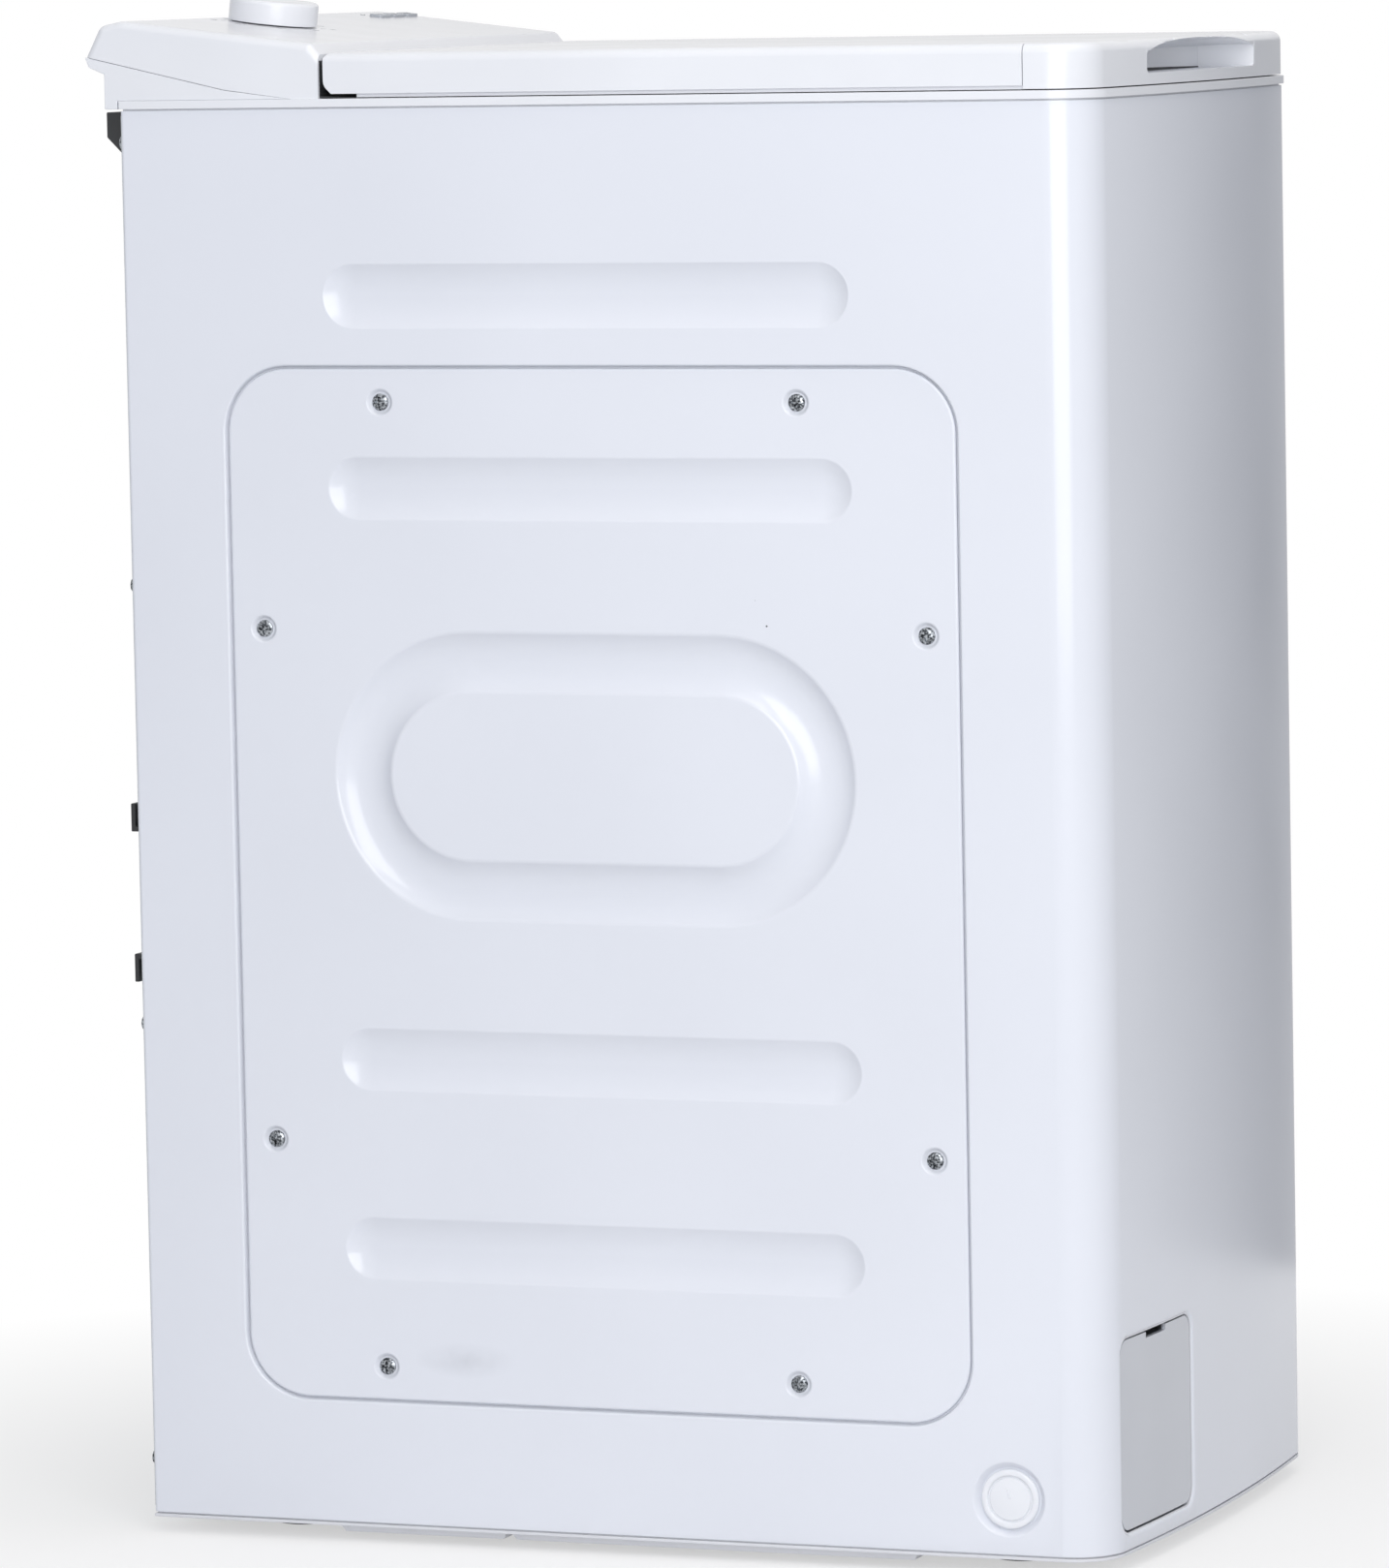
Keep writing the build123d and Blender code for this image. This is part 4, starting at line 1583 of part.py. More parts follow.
# Lint filter: a flat grid across the return duct
filter_width = DUCT_WIDTH - 2 * DUCT_WALL - 2 * SEAM
filter_reach = DUCT_REACH - DUCT_WALL - 2 * SEAM
filter_cell_width = (filter_width - 2 * FILTER_RIM + FILTER_BAR) / FILTER_COLUMNS
filter_cell_reach = (filter_reach - 2 * FILTER_RIM + FILTER_BAR) / FILTER_ROWS
with BuildPart() as lint_filter:
    with BuildSketch(Plane.XY.offset(FILTER_Z)):
        with Locations((bulkhead_outer + SEAM + filter_reach / 2, DRUM_Y - duct_middle)):
            Rectangle(filter_reach, filter_width)
            with GridLocations(filter_cell_reach, filter_cell_width, FILTER_ROWS, FILTER_COLUMNS):
                Rectangle(filter_cell_reach - FILTER_BAR, filter_cell_width - FILTER_BAR, mode=Mode.SUBTRACT)
    extrude(amount=FILTER_THICKNESS)
lint_filter.part.label = "lint_filter"
export_step(lint_filter.part, "parts/lint_filter.step")

# Condenser: a finned block on two runners, open to the return duct through the bulkhead
condenser_width = bulkhead_x - CONDENSER_FROM_X
condenser_middle_x = (bulkhead_x + CONDENSER_FROM_X) / 2
fin_pitch = CONDENSER_FIN + CONDENSER_FIN_GAP
fin_slots = int((condenser_width - CONDENSER_FIN) / fin_pitch)
with BuildPart() as condenser:
    with BuildSketch(Plane.XY.offset(CONDENSER_BOTTOM)):
        with Locations((condenser_middle_x, return_port_y)):
            Rectangle(condenser_width, CONDENSER_DEPTH)
    extrude(amount=CONDENSER_TOP - CONDENSER_BOTTOM)
    with BuildSketch(Plane.XY.offset(CONDENSER_BOTTOM + CONDENSER_SPINE)):
        with Locations((condenser_middle_x, return_port_y)):
            with GridLocations(fin_pitch, 0, fin_slots, 1):
                Rectangle(CONDENSER_FIN_GAP, CONDENSER_DEPTH)
    extrude(amount=CONDENSER_TOP - CONDENSER_BOTTOM - 2 * CONDENSER_SPINE, mode=Mode.SUBTRACT)
    with BuildSketch(Plane.XY.offset(SKIN_BOTTOM)):
        with Locations((CONDENSER_FROM_X + CONDENSER_RUNNER_INSET, return_port_y),
                       (bulkhead_x - CONDENSER_RUNNER_FAR, return_port_y)):
            Rectangle(CONDENSER_RUNNER, CONDENSER_DEPTH)
    extrude(amount=CONDENSER_BOTTOM - SKIN_BOTTOM)
condenser.part.label = "condenser"
export_step(condenser.part, "parts/condenser.step")

# Front hatch: a flap let into the bow, hinged on a rod a little above its lower edge
hatch_rod = Plane(
    origin=hatch_plane.from_local_coords((0, HATCH_PIN_RISE - HATCH_HEIGHT / 2, -HATCH_PIN_DEPTH)),
    x_dir=(0, 0, 1),
    z_dir=hatch_plane.x_dir,
)
with BuildPart() as front_hatch:
    with BuildSketch(hatch_plane.offset(FRONT_BOW)):
        RectangleRounded(HATCH_WIDTH, HATCH_HEIGHT, HATCH_RADIUS)
        with Locations((0, HATCH_HEIGHT / 2)):
            Rectangle(NOTCH_WIDTH, 2 * NOTCH_DEPTH, mode=Mode.SUBTRACT)
    extrude(amount=-FRONT_BOW - hatch_reach)
    with BuildSketch(Plane.XY.offset(HATCH_BOTTOM)):
        add(cabinet_plan(0, REAR_Y))
        add(cabinet_plan(HATCH_THICKNESS, REAR_Y), mode=Mode.SUBTRACT)
    extrude(amount=HATCH_HEIGHT, mode=Mode.INTERSECT)
    with BuildSketch(hatch_rod):
        Circle(HATCH_PIN_RADIUS)
    extrude(amount=HATCH_WIDTH / 2 + HATCH_PIN_REACH, both=True)
front_hatch.part.label = "front_hatch"
export_step(front_hatch.part, "parts/front_hatch.step")

# Recess behind the hatch
bezel_width = hatch_opening_width + 2 * BEZEL_WALL
bezel_height = hatch_opening_height + 2 * BEZEL_WALL
with BuildPart() as filter_bezel:
    with BuildSketch(hatch_plane):
        with Locations((0, -HATCH_SILL / 2)):
            RectangleRounded(bezel_width, bezel_height, hatch_opening_radius + BEZEL_WALL)
    extrude(amount=-BEZEL_DEPTH)
    with BuildSketch(hatch_plane):
        with Locations((0, -HATCH_SILL / 2)):
            RectangleRounded(hatch_opening_width, hatch_opening_height, hatch_opening_radius)
    extrude(amount=BEZEL_WALL - BEZEL_DEPTH, mode=Mode.SUBTRACT)
    with BuildSketch(hatch_plane.offset(-BEZEL_DEPTH)):
        Circle(PUMP_TUBE_RADIUS + SEAM)
    extrude(amount=BEZEL_WALL, mode=Mode.SUBTRACT)
    with BuildSketch(Plane.XY):
        add(cabinet_plan(SHEET, REAR_Y))
    extrude(amount=SKIN_TOP, mode=Mode.INTERSECT)
    with BuildSketch(hatch_rod):
        Circle(HATCH_PIN_RADIUS + RUNNING)
    extrude(amount=HATCH_WIDTH / 2 + HATCH_PIN_REACH + SEAM, both=True, mode=Mode.SUBTRACT)
filter_bezel.part.label = "filter_bezel"
export_step(filter_bezel.part, "parts/filter_bezel.step")

# Condensate pump with its quarter-turn filter cap
pump_front = CAP_SETBACK + CAP_THICKNESS + PANEL_GAP
pump_tube_end = pump_front + PUMP_TUBE_LENGTH
leg_height = hatch_middle_z - SKIN_BOTTOM
with BuildPart() as condensate_pump:
    with BuildSketch(hatch_plane.offset(-pump_front)):
        Circle(PUMP_TUBE_RADIUS)
    extrude(amount=-PUMP_TUBE_LENGTH)
    with BuildSketch(hatch_plane.offset(-pump_tube_end)):
        Circle(PUMP_BODY_RADIUS)
    extrude(amount=-PUMP_BODY_LENGTH)
    with BuildSketch(hatch_plane.offset(PUMP_LEG_DEPTH - pump_tube_end - PUMP_BODY_LENGTH)):
        with Locations((0, -leg_height / 2)):
            Rectangle(PUMP_LEG_WIDTH, leg_height)
    extrude(amount=-PUMP_LEG_DEPTH)
    with BuildSketch(hatch_plane.offset(-pump_front)):
        Circle(CAP_STUB_RADIUS + RUNNING)
    extrude(amount=PUMP_FLOOR - PUMP_TUBE_LENGTH, mode=Mode.SUBTRACT)
condensate_pump.part.label = "condensate_pump"
export_step(condensate_pump.part, "parts/condensate_pump.step")

with BuildPart() as pump_filter_cap:
    with BuildSketch(hatch_plane.offset(-CAP_SETBACK)):
        Circle(CAP_RADIUS)
    extrude(amount=-CAP_THICKNESS)
    with BuildSketch(hatch_plane.offset(-CAP_SETBACK)):
        RectangleRounded(2 * CAP_RADIUS - CAP_BAR_WIDTH, CAP_BAR_WIDTH, CAP_BAR_RADIUS)
    extrude(amount=CAP_BAR_HEIGHT)
    with BuildSketch(hatch_plane.offset(-CAP_SETBACK - CAP_THICKNESS)):
        Circle(CAP_STUB_RADIUS)
    extrude(amount=-CAP_STUB_LENGTH)
pump_filter_cap.part.label = "pump_filter_cap"
export_step(pump_filter_cap.part, "parts/pump_filter_cap.step")
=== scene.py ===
"""Looks of a narrow top-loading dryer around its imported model, laid out as an add-on and run as a script."""

import json
from math import asin, cos, hypot, pi, radians, sin, sqrt

import bmesh
import bpy
from bpy.props import FloatProperty, FloatVectorProperty, PointerProperty, StringProperty
from bpy.types import Operator, Panel, PropertyGroup
from mathutils import Matrix, Vector
from mathutils.geometry import delaunay_2d_cdt


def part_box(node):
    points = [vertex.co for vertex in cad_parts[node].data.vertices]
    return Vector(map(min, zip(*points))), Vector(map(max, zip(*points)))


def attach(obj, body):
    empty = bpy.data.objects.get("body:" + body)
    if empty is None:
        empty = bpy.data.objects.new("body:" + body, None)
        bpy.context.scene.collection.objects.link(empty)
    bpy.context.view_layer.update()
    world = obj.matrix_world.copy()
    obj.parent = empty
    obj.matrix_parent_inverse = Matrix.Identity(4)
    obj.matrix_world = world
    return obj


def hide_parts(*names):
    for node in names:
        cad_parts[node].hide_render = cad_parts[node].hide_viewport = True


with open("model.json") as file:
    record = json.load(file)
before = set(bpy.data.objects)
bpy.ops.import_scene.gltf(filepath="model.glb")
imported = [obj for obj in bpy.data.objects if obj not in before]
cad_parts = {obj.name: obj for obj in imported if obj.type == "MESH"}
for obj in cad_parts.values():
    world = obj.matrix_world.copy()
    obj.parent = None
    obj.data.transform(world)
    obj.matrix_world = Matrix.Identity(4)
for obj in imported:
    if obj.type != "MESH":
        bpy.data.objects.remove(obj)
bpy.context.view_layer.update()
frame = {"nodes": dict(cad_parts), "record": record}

bl_info = {
    "name": "Top-loading dryer",
    "version": (1, 0, 0),
    "blender": (4, 5, 0),
    "location": "View3D > Sidebar > Dryer",
    "description": "Pressed casing, finishes, dial marks and studio for a narrow top-loading dryer",
    "category": "Object",
}

SKIN_LOW, SKIN_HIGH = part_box("cabinet_wrap")
COVER_LOW, COVER_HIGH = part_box("service_cover")
MM = 0.001
BODIES = frame["record"]["behaviour"]["bodies"]
# Sockets of a Mix node for colours: its factor, its two colours and its result
SHARE, FROM, TO, MIXED = 0, 6, 7, 2


def length(name, description, millimetres):
    """A size that the user may change, kept in metres."""
    return FloatProperty(name=name, description=description, default=millimetres * MM, unit="LENGTH",
                         precision=5)


class DryerSheetSizes(PropertyGroup):
    """Sizes of the pressed sheets and of what is set in them."""

    thickness: length("Sheet", "Thickness of the steel sheet", 1.2)
    bow: length("Front bow", "How far the front stands out in the middle", 9.4)
    corner: length("Corner radius", "Radius of the two front corners", 30)
    flange: length("Rear flange", "Width of the turned-in rear edges", 18)
    bend: length("Flange bend", "Outer radius of the rear bends", 2.4)
    bead_length: length("Bead length", "Length of the beads and of the oval ring", 329.6)
    bead_height: length("Bead height", "Height of a straight bead", 38)
    bead_depth: length("Bead depth", "Depth of a straight bead", 5.5)
    ring_height: length("Ring height", "Height of the oval ring", 173)
    ring_band: length("Ring band", "Width of the oval groove", 37.5)
    ring_depth: length("Ring depth", "Depth of the oval groove", 7.5)
    middle_y: length("Middle", "Middle of the beads and of the cover along Y", 3)
    middle_z: length("Ring level", "Height of the oval ring's middle", 462)
    inner_rise: length("Inner beads", "From the ring's middle to the beads next to it", 170)
    outer_rise: length("Outer beads", "From the ring's middle to the outermost beads", 283.5)
    cover_radius: length("Cover corners", "Corner radius of the service cover", 38)
    cover_gap: length("Cover gap", "Gap around the service cover", 1)
    landing: length("Landing", "Width of the step that the cover lies on", 34)
    landing_depth: length("Landing depth", "Depth of the step that the cover lies on", 4)
    seam: length("Seam", "Open seam under the trim and over the base", 1.1)
    dimple: length("Screw dimple", "Radius of a screw's dimple", 8.4)
    dimple_depth: length("Dimple depth", "Depth of a screw's dimple", 2.2)
    dish: length("Plug dish", "Radius of the dish round the blanking plug", 22.5)
    dish_depth: length("Dish depth", "Depth of the dish round the blanking plug", 3.9)
    screw_head: length("Screw head", "Radius of a cover screw's head", 5)
    screw_dome: length("Screw dome", "Height of a cover screw's head", 2.4)
    hatch_level: length("Hatch level", "Height of the middle of the hatch's opening", 79.75)
    hatch_width: length("Hatch width", "Width of the hatch's opening", 115)
    hatch_height: length("Hatch height", "Height of the hatch's opening", 114.5)
    hatch_radius: length("Hatch corners", "Corner radius of the hatch's opening", 11)
    hatch_sink: length("Hatch sink", "How far the hatch's face lies inside the casing's", 1.4)


class DryerHandleSizes(PropertyGroup):
    """Sizes of the scoop under the lid's front lip."""

    half: length("Half width", "From the scoop's middle to its ends", 103.9)
    depth: length("Depth", "From the lid's front to the scoop's back wall", 25.7)
    roof: length("Roof", "From the lid's top down to the plain roof", 6.5)
    spring: length("Springing", "From the plain roof down to where the arch springs", 3.3)
    rise: length("Rise", "Rise of the arch at the back wall", 2.9)
    slope: FloatProperty(name="Slope", description="How steeply the arch rises to the front", precision=5,
                         default=0.294955)
    floor: length("Floor", "From the lid's top down to the scoop's floor", 19.9)
    cheek: length("Cheeks", "Length of the curved walls at the two ends", 38)
    fillet: length("Fillet", "Radius of the lid's top edge", 6)
    bow: length("Front bow", "Radius of the lid's bowed front", 2097.6)


class DryerColours(PropertyGroup):
    """Colours of the finishes, as sRGB hex values."""

    enamel: StringProperty(name="Enamel", description="Stoved enamel of the casing", default="E3E6EE")
    moulding: StringProperty(name="White ABS", description="Lid, console and frame", default="E8EAEF")
    lining: StringProperty(name="Grey ABS", description="Liner, chute and base", default="DADCE1")
    keys: StringProperty(name="Keys", description="Push buttons", default="B4B8BF")
    ink: StringProperty(name="Ink", description="Dial marks", default="5C626B")
    black: StringProperty(name="Black", description="Black nylon fittings", default="18191B")


class DryerStudio(PropertyGroup):
    """Camera and light."""

    place: FloatVectorProperty(name="Camera", description="Where the camera stands", subtype="XYZ",
                               default=(-4.96908, -1.88964, 0.95575), unit="LENGTH", precision=5)
    yaw: FloatProperty(name="Yaw", description="Turn from +X towards +Y", default=radians(20.9704),
                       subtype="ANGLE", precision=5)
    pitch: FloatProperty(name="Pitch", description="Tilt above the horizon", default=radians(-5.5399),
                         subtype="ANGLE", precision=5)
    roll: FloatProperty(name="Roll", description="Roll about the line of sight", default=radians(-1.0860),
                        subtype="ANGLE", precision=5)
    lens: FloatProperty(name="Lens", description="Focal length on a 36 mm frame", default=201.74,
                        unit="CAMERA")
    sky: FloatProperty(name="Fill", description="Strength of the even fill light", default=0.52)
    key: FloatProperty(name="Key", description="Power of the main soft box", default=30.0, subtype="POWER")
    top: FloatProperty(name="Top", description="Power of the overhead box", default=14.0, subtype="POWER")


def linear(colour):
    """An sRGB hex colour as linear RGBA."""
    shares = [int(colour[at:at + 2], 16) / 255 for at in (0, 2, 4)]
    return [c / 12.92 if c <= 0.04045 else ((c + 0.055) / 1.055) ** 2.4 for c in shares] + [1.0]


def shade(colour, share):
    """A hex colour made darker by a share."""
    return "".join(f"{min(round(int(colour[at:at + 2], 16) * (1 - share)), 255):02X}" for at in (0, 2, 4))


def scale_of(millimetres):
    """The scale of a pattern whose blotches or cells are about the given size."""
    return 1 / (millimetres * MM)


def wire(tree, node, sockets):
    """Set a node's sockets; an entry is a value, or another node's output to link."""
    for name, value in sockets.items():
        if isinstance(value, bpy.types.NodeSocket):
            tree.links.new(value, node.inputs[name])
        else:
            node.inputs[name].default_value = value


def add_node(tree, kind, sockets=None, **settings):
    """One shader node with its settings and links."""
    made = tree.nodes.new(kind)
    for name, value in settings.items():
        setattr(made, name, value)
    wire(tree, made, sockets or {})
    return made


def blank_material(name):
    """An empty material, its tree, its surface shader and the coordinates fixed to the piece, in metres."""
    material = bpy.data.materials.new(name)
    material.use_nodes = True
    tree = material.node_tree
    tree.nodes.clear()
    shader = add_node(tree, "ShaderNodeBsdfPrincipled")
    add_node(tree, "ShaderNodeOutputMaterial", {"Surface": shader.outputs["BSDF"]})
    place = add_node(tree, "ShaderNodeTexCoord").outputs["Object"]
    return material, tree, shader, place


def stoved_enamel(colours):
    """Enamel sprayed on steel and stoved: hard, glossy and nearly white, with a soft orange peel."""
    material, tree, shader, place = blank_material("stoved_enamel")
    # The film's thickness drifts over a hand's width, so the white isn't quite even
    cloud = add_node(tree, "ShaderNodeTexNoise", {"Vector": place, "Scale": scale_of(160), "Detail": 1.0})
    clean = add_node(tree, "ShaderNodeMix", {
        SHARE: cloud.outputs["Fac"], FROM: linear(shade(colours.enamel, 0.02)),
        TO: linear(shade(colours.enamel, -0.01))}, data_type="RGBA")
    # Rubbed dirt low on the cover, about 6 cm long and 2 cm high
    rubbed_at = (-0.197, 0.092, 0.113)
    narrow = (30, 30, 90)
    rub = add_node(tree, "ShaderNodeMapping", {
        "Vector": place, "Scale": narrow, "Location": [-at * by for at, by in zip(rubbed_at, narrow)]})
    near = add_node(tree, "ShaderNodeVectorMath", {0: rub.outputs["Vector"]}, operation="LENGTH")
    faint = add_node(tree, "ShaderNodeMapRange", {
        "Value": near.outputs["Value"], "From Min": 0.0, "From Max": 1.0, "To Min": 0.32, "To Max": 0.0})
    crumbs = add_node(tree, "ShaderNodeTexNoise", {"Vector": place, "Scale": scale_of(14), "Detail": 2.0})
    smear = add_node(tree, "ShaderNodeMath", {
        0: faint.outputs["Result"], 1: crumbs.outputs["Fac"]}, operation="MULTIPLY")
    dirty = add_node(tree, "ShaderNodeMix", {
        SHARE: smear.outputs[0], FROM: clean.outputs[MIXED], TO: linear("85888F")}, data_type="RGBA")
    # A few specks of about 1 mm beside the oval ring, in two groups about 2 cm wide
    dots = add_node(tree, "ShaderNodeTexVoronoi", {"Vector": place, "Scale": scale_of(7)})
    small = add_node(tree, "ShaderNodeMath", {0: dots.outputs["Distance"], 1: 0.085}, operation="LESS_THAN")
    for y, z in ((-0.102, 0.5595), (-0.118, 0.469)):
        apart = add_node(tree, "ShaderNodeVectorMath", {0: place, 1: (-0.197, y, z)}, operation="DISTANCE")
        group = add_node(tree, "ShaderNodeMath", {
            0: apart.outputs["Value"], 1: 0.012}, operation="LESS_THAN")
        speck = add_node(tree, "ShaderNodeMath", {
            0: small.outputs[0], 1: group.outputs[0]}, operation="MULTIPLY")
        dirty = add_node(tree, "ShaderNodeMix", {
            SHARE: speck.outputs[0], FROM: dirty.outputs[MIXED], TO: linear("6C6E73")}, data_type="RGBA")
    # Wiping leaves broad duller swathes
    wiped = add_node(tree, "ShaderNodeTexNoise", {"Vector": place, "Scale": scale_of(120), "Detail": 1.0})
    gloss = add_node(tree, "ShaderNodeMapRange", {
        "Value": wiped.outputs["Fac"], "From Min": 0.2, "From Max": 0.8, "To Min": 0.13, "To Max": 0.19})
    peel = add_node(tree, "ShaderNodeTexNoise", {"Vector": place, "Scale": scale_of(3), "Detail": 1.0})
    skin = add_node(tree, "ShaderNodeBump", {"Height": peel.outputs["Fac"], "Distance": 0.005 * MM})
    wire(tree, shader, {
        "Base Color": dirty.outputs[MIXED], "Roughness": gloss.outputs["Result"], "IOR": 1.5,
        "Normal": skin.outputs["Normal"]})
    return material


def white_abs(colours):
    """ABS moulded in a polished tool: glossy white, with faint flow clouds and a soft, wavy gleam."""
    material, tree, shader, place = blank_material("white_abs")
    cloud = add_node(tree, "ShaderNodeTexNoise", {"Vector": place, "Scale": scale_of(70), "Detail": 1.0})
    flow = add_node(tree, "ShaderNodeMix", {
        SHARE: cloud.outputs["Fac"], FROM: linear(shade(colours.moulding, 0.018)),
        TO: linear(shade(colours.moulding, -0.012))}, data_type="RGBA")
    handled = add_node(tree, "ShaderNodeTexNoise", {"Vector": place, "Scale": scale_of(45), "Detail": 0.0})
    gloss = add_node(tree, "ShaderNodeMapRange", {
        "Value": handled.outputs["Fac"], "From Min": 0.1, "From Max": 0.9, "To Min": 0.2, "To Max": 0.26})
    # The tool's polish leaves a finer ripple; it is drawn coarser so that it holds at a low angle
    ripple = add_node(tree, "ShaderNodeTexNoise", {"Vector": place, "Scale": scale_of(24), "Detail": 0.0})
    skin = add_node(tree, "ShaderNodeBump", {"Height": ripple.outputs["Fac"], "Distance": 0.008 * MM})
    wire(tree, shader, {
        "Base Color": flow.outputs[MIXED], "Roughness": gloss.outputs["Result"], "IOR": 1.53,
        "Normal": skin.outputs["Normal"]})
    return material


def sprayed_abs(colours):
    """ABS sprayed to go with the casing: glossy and nearly white, with painted shade: its colour is about a
    tenth darker than the stoved enamel, so that the hatch looks as shaded as the front round it.
    """
    material, tree, shader, place = blank_material("sprayed_abs")
    # Painted shade: both colours are 10 to 13 per cent darker than the enamel
    cloud = add_node(tree, "ShaderNodeTexNoise", {"Vector": place, "Scale": scale_of(60), "Detail": 1.0})
    flow = add_node(tree, "ShaderNodeMix", {
        SHARE: cloud.outputs["Fac"], FROM: linear(shade(colours.enamel, 0.13)),
        TO: linear(shade(colours.enamel, 0.1))}, data_type="RGBA")
    gloss = add_node(tree, "ShaderNodeMapRange", {
        "Value": cloud.outputs["Fac"], "From Min": 0.2, "From Max": 0.8, "To Min": 0.13, "To Max": 0.18})
    wire(tree, shader, {
        "Base Color": flow.outputs[MIXED], "Roughness": gloss.outputs["Result"], "IOR": 1.5})
    return material


def pale_grey_abs(colours):
    """ABS moulded in a spark-eroded tool: pale grey and satin, with a fine even grain."""
    material, tree, shader, place = blank_material("pale_grey_abs")
    cloud = add_node(tree, "ShaderNodeTexNoise", {"Vector": place, "Scale": scale_of(50), "Detail": 1.0})
    flow = add_node(tree, "ShaderNodeMix", {
        SHARE: cloud.outputs["Fac"], FROM: linear(shade(colours.lining, 0.025)),
        TO: linear(shade(colours.lining, -0.015))}, data_type="RGBA")
    handled = add_node(tree, "ShaderNodeTexNoise", {"Vector": place, "Scale": scale_of(20), "Detail": 1.0})
    gloss = add_node(tree, "ShaderNodeMapRange", {
        "Value": handled.outputs["Fac"], "From Min": 0.1, "From Max": 0.9, "To Min": 0.36, "To Max": 0.48})
    # The spark grain is 0.3 mm, drawn at 0.8 mm so that it shows
    grain = add_node(tree, "ShaderNodeTexNoise", {"Vector": place, "Scale": scale_of(0.8), "Detail": 2.0})
    skin = add_node(tree, "ShaderNodeBump", {"Height": grain.outputs["Fac"], "Distance": 0.02 * MM})
    wire(tree, shader, {
        "Base Color": flow.outputs[MIXED], "Roughness": gloss.outputs["Result"], "IOR": 1.53,
        "Normal": skin.outputs["Normal"]})
    return material


def grey_key_abs(colours):
    """Moulded grey ABS of the keys: satin, polished a little by fingers in the middle of each key."""
    material, tree, shader, place = blank_material("grey_key_abs")
    cloud = add_node(tree, "ShaderNodeTexNoise", {"Vector": place, "Scale": scale_of(6), "Detail": 1.0})
    flow = add_node(tree, "ShaderNodeMix", {
        SHARE: cloud.outputs["Fac"], FROM: linear(shade(colours.keys, 0.05)),
        TO: linear(shade(colours.keys, -0.03))}, data_type="RGBA")
    gloss = add_node(tree, "ShaderNodeMapRange", {
        "Value": cloud.outputs["Fac"], "From Min": 0.2, "From Max": 0.8, "To Min": 0.29, "To Max": 0.4})
    wire(tree, shader, {
        "Base Color": flow.outputs[MIXED], "Roughness": gloss.outputs["Result"], "IOR": 1.53})
    return material


def smoky_acrylic(colours):
    """Moulded acrylic light guides: half clear, with a faint smoky tint."""
    material, tree, shader, place = blank_material("smoky_acrylic")
    cloud = add_node(tree, "ShaderNodeTexNoise", {"Vector": place, "Scale": scale_of(1), "Detail": 1.0})
    smoke = add_node(tree, "ShaderNodeMix", {
        SHARE: cloud.outputs["Fac"], FROM: linear("BFC5CA"), TO: linear("E2E6E8")}, data_type="RGBA")
    wire(tree, shader, {
        "Base Color": smoke.outputs[MIXED], "Transmission Weight": 0.55, "IOR": 1.49, "Roughness": 0.12})
    return material


def black_nylon(colours):
    """Moulded black nylon: nearly black and satin, with a fine grain and a little grey dust."""
    material, tree, shader, place = blank_material("black_nylon")
    dust = add_node(tree, "ShaderNodeTexNoise", {"Vector": place, "Scale": scale_of(15), "Detail": 3.0})
    tone = add_node(tree, "ShaderNodeMix", {
        SHARE: dust.outputs["Fac"], FROM: linear(colours.black), TO: linear("2D2F33")}, data_type="RGBA")
    gloss = add_node(tree, "ShaderNodeMapRange", {
        "Value": dust.outputs["Fac"], "From Min": 0.2, "From Max": 0.8, "To Min": 0.4, "To Max": 0.56})
    # The moulded grain is 0.3 mm, drawn at 0.8 mm so that it shows
    grain = add_node(tree, "ShaderNodeTexNoise", {"Vector": place, "Scale": scale_of(0.8), "Detail": 2.0})
    skin = add_node(tree, "ShaderNodeBump", {"Height": grain.outputs["Fac"], "Distance": 0.03 * MM})
    wire(tree, shader, {
        "Base Color": tone.outputs[MIXED], "Roughness": gloss.outputs["Result"], "IOR": 1.53,
        "Normal": skin.outputs["Normal"]})
    return material


def moulded_rubber(colours):
    """Moulded nitrile rubber: dark grey and dull, with a pale bloom in patches."""
    material, tree, shader, place = blank_material("moulded_rubber")
    bloom = add_node(tree, "ShaderNodeTexNoise", {"Vector": place, "Scale": scale_of(8), "Detail": 4.0})
    tone = add_node(tree, "ShaderNodeMix", {
        SHARE: bloom.outputs["Fac"], FROM: linear("1E1F22"), TO: linear("3A3C40")}, data_type="RGBA")
    gloss = add_node(tree, "ShaderNodeMapRange", {
        "Value": bloom.outputs["Fac"], "From Min": 0.2, "From Max": 0.8, "To Min": 0.58, "To Max": 0.8})
    pores = add_node(tree, "ShaderNodeTexNoise", {"Vector": place, "Scale": scale_of(0.7), "Detail": 2.0})
    skin = add_node(tree, "ShaderNodeBump", {"Height": pores.outputs["Fac"], "Distance": 0.03 * MM})
    wire(tree, shader, {
        "Base Color": tone.outputs[MIXED], "Roughness": gloss.outputs["Result"], "IOR": 1.52,
        "Normal": skin.outputs["Normal"]})
    return material


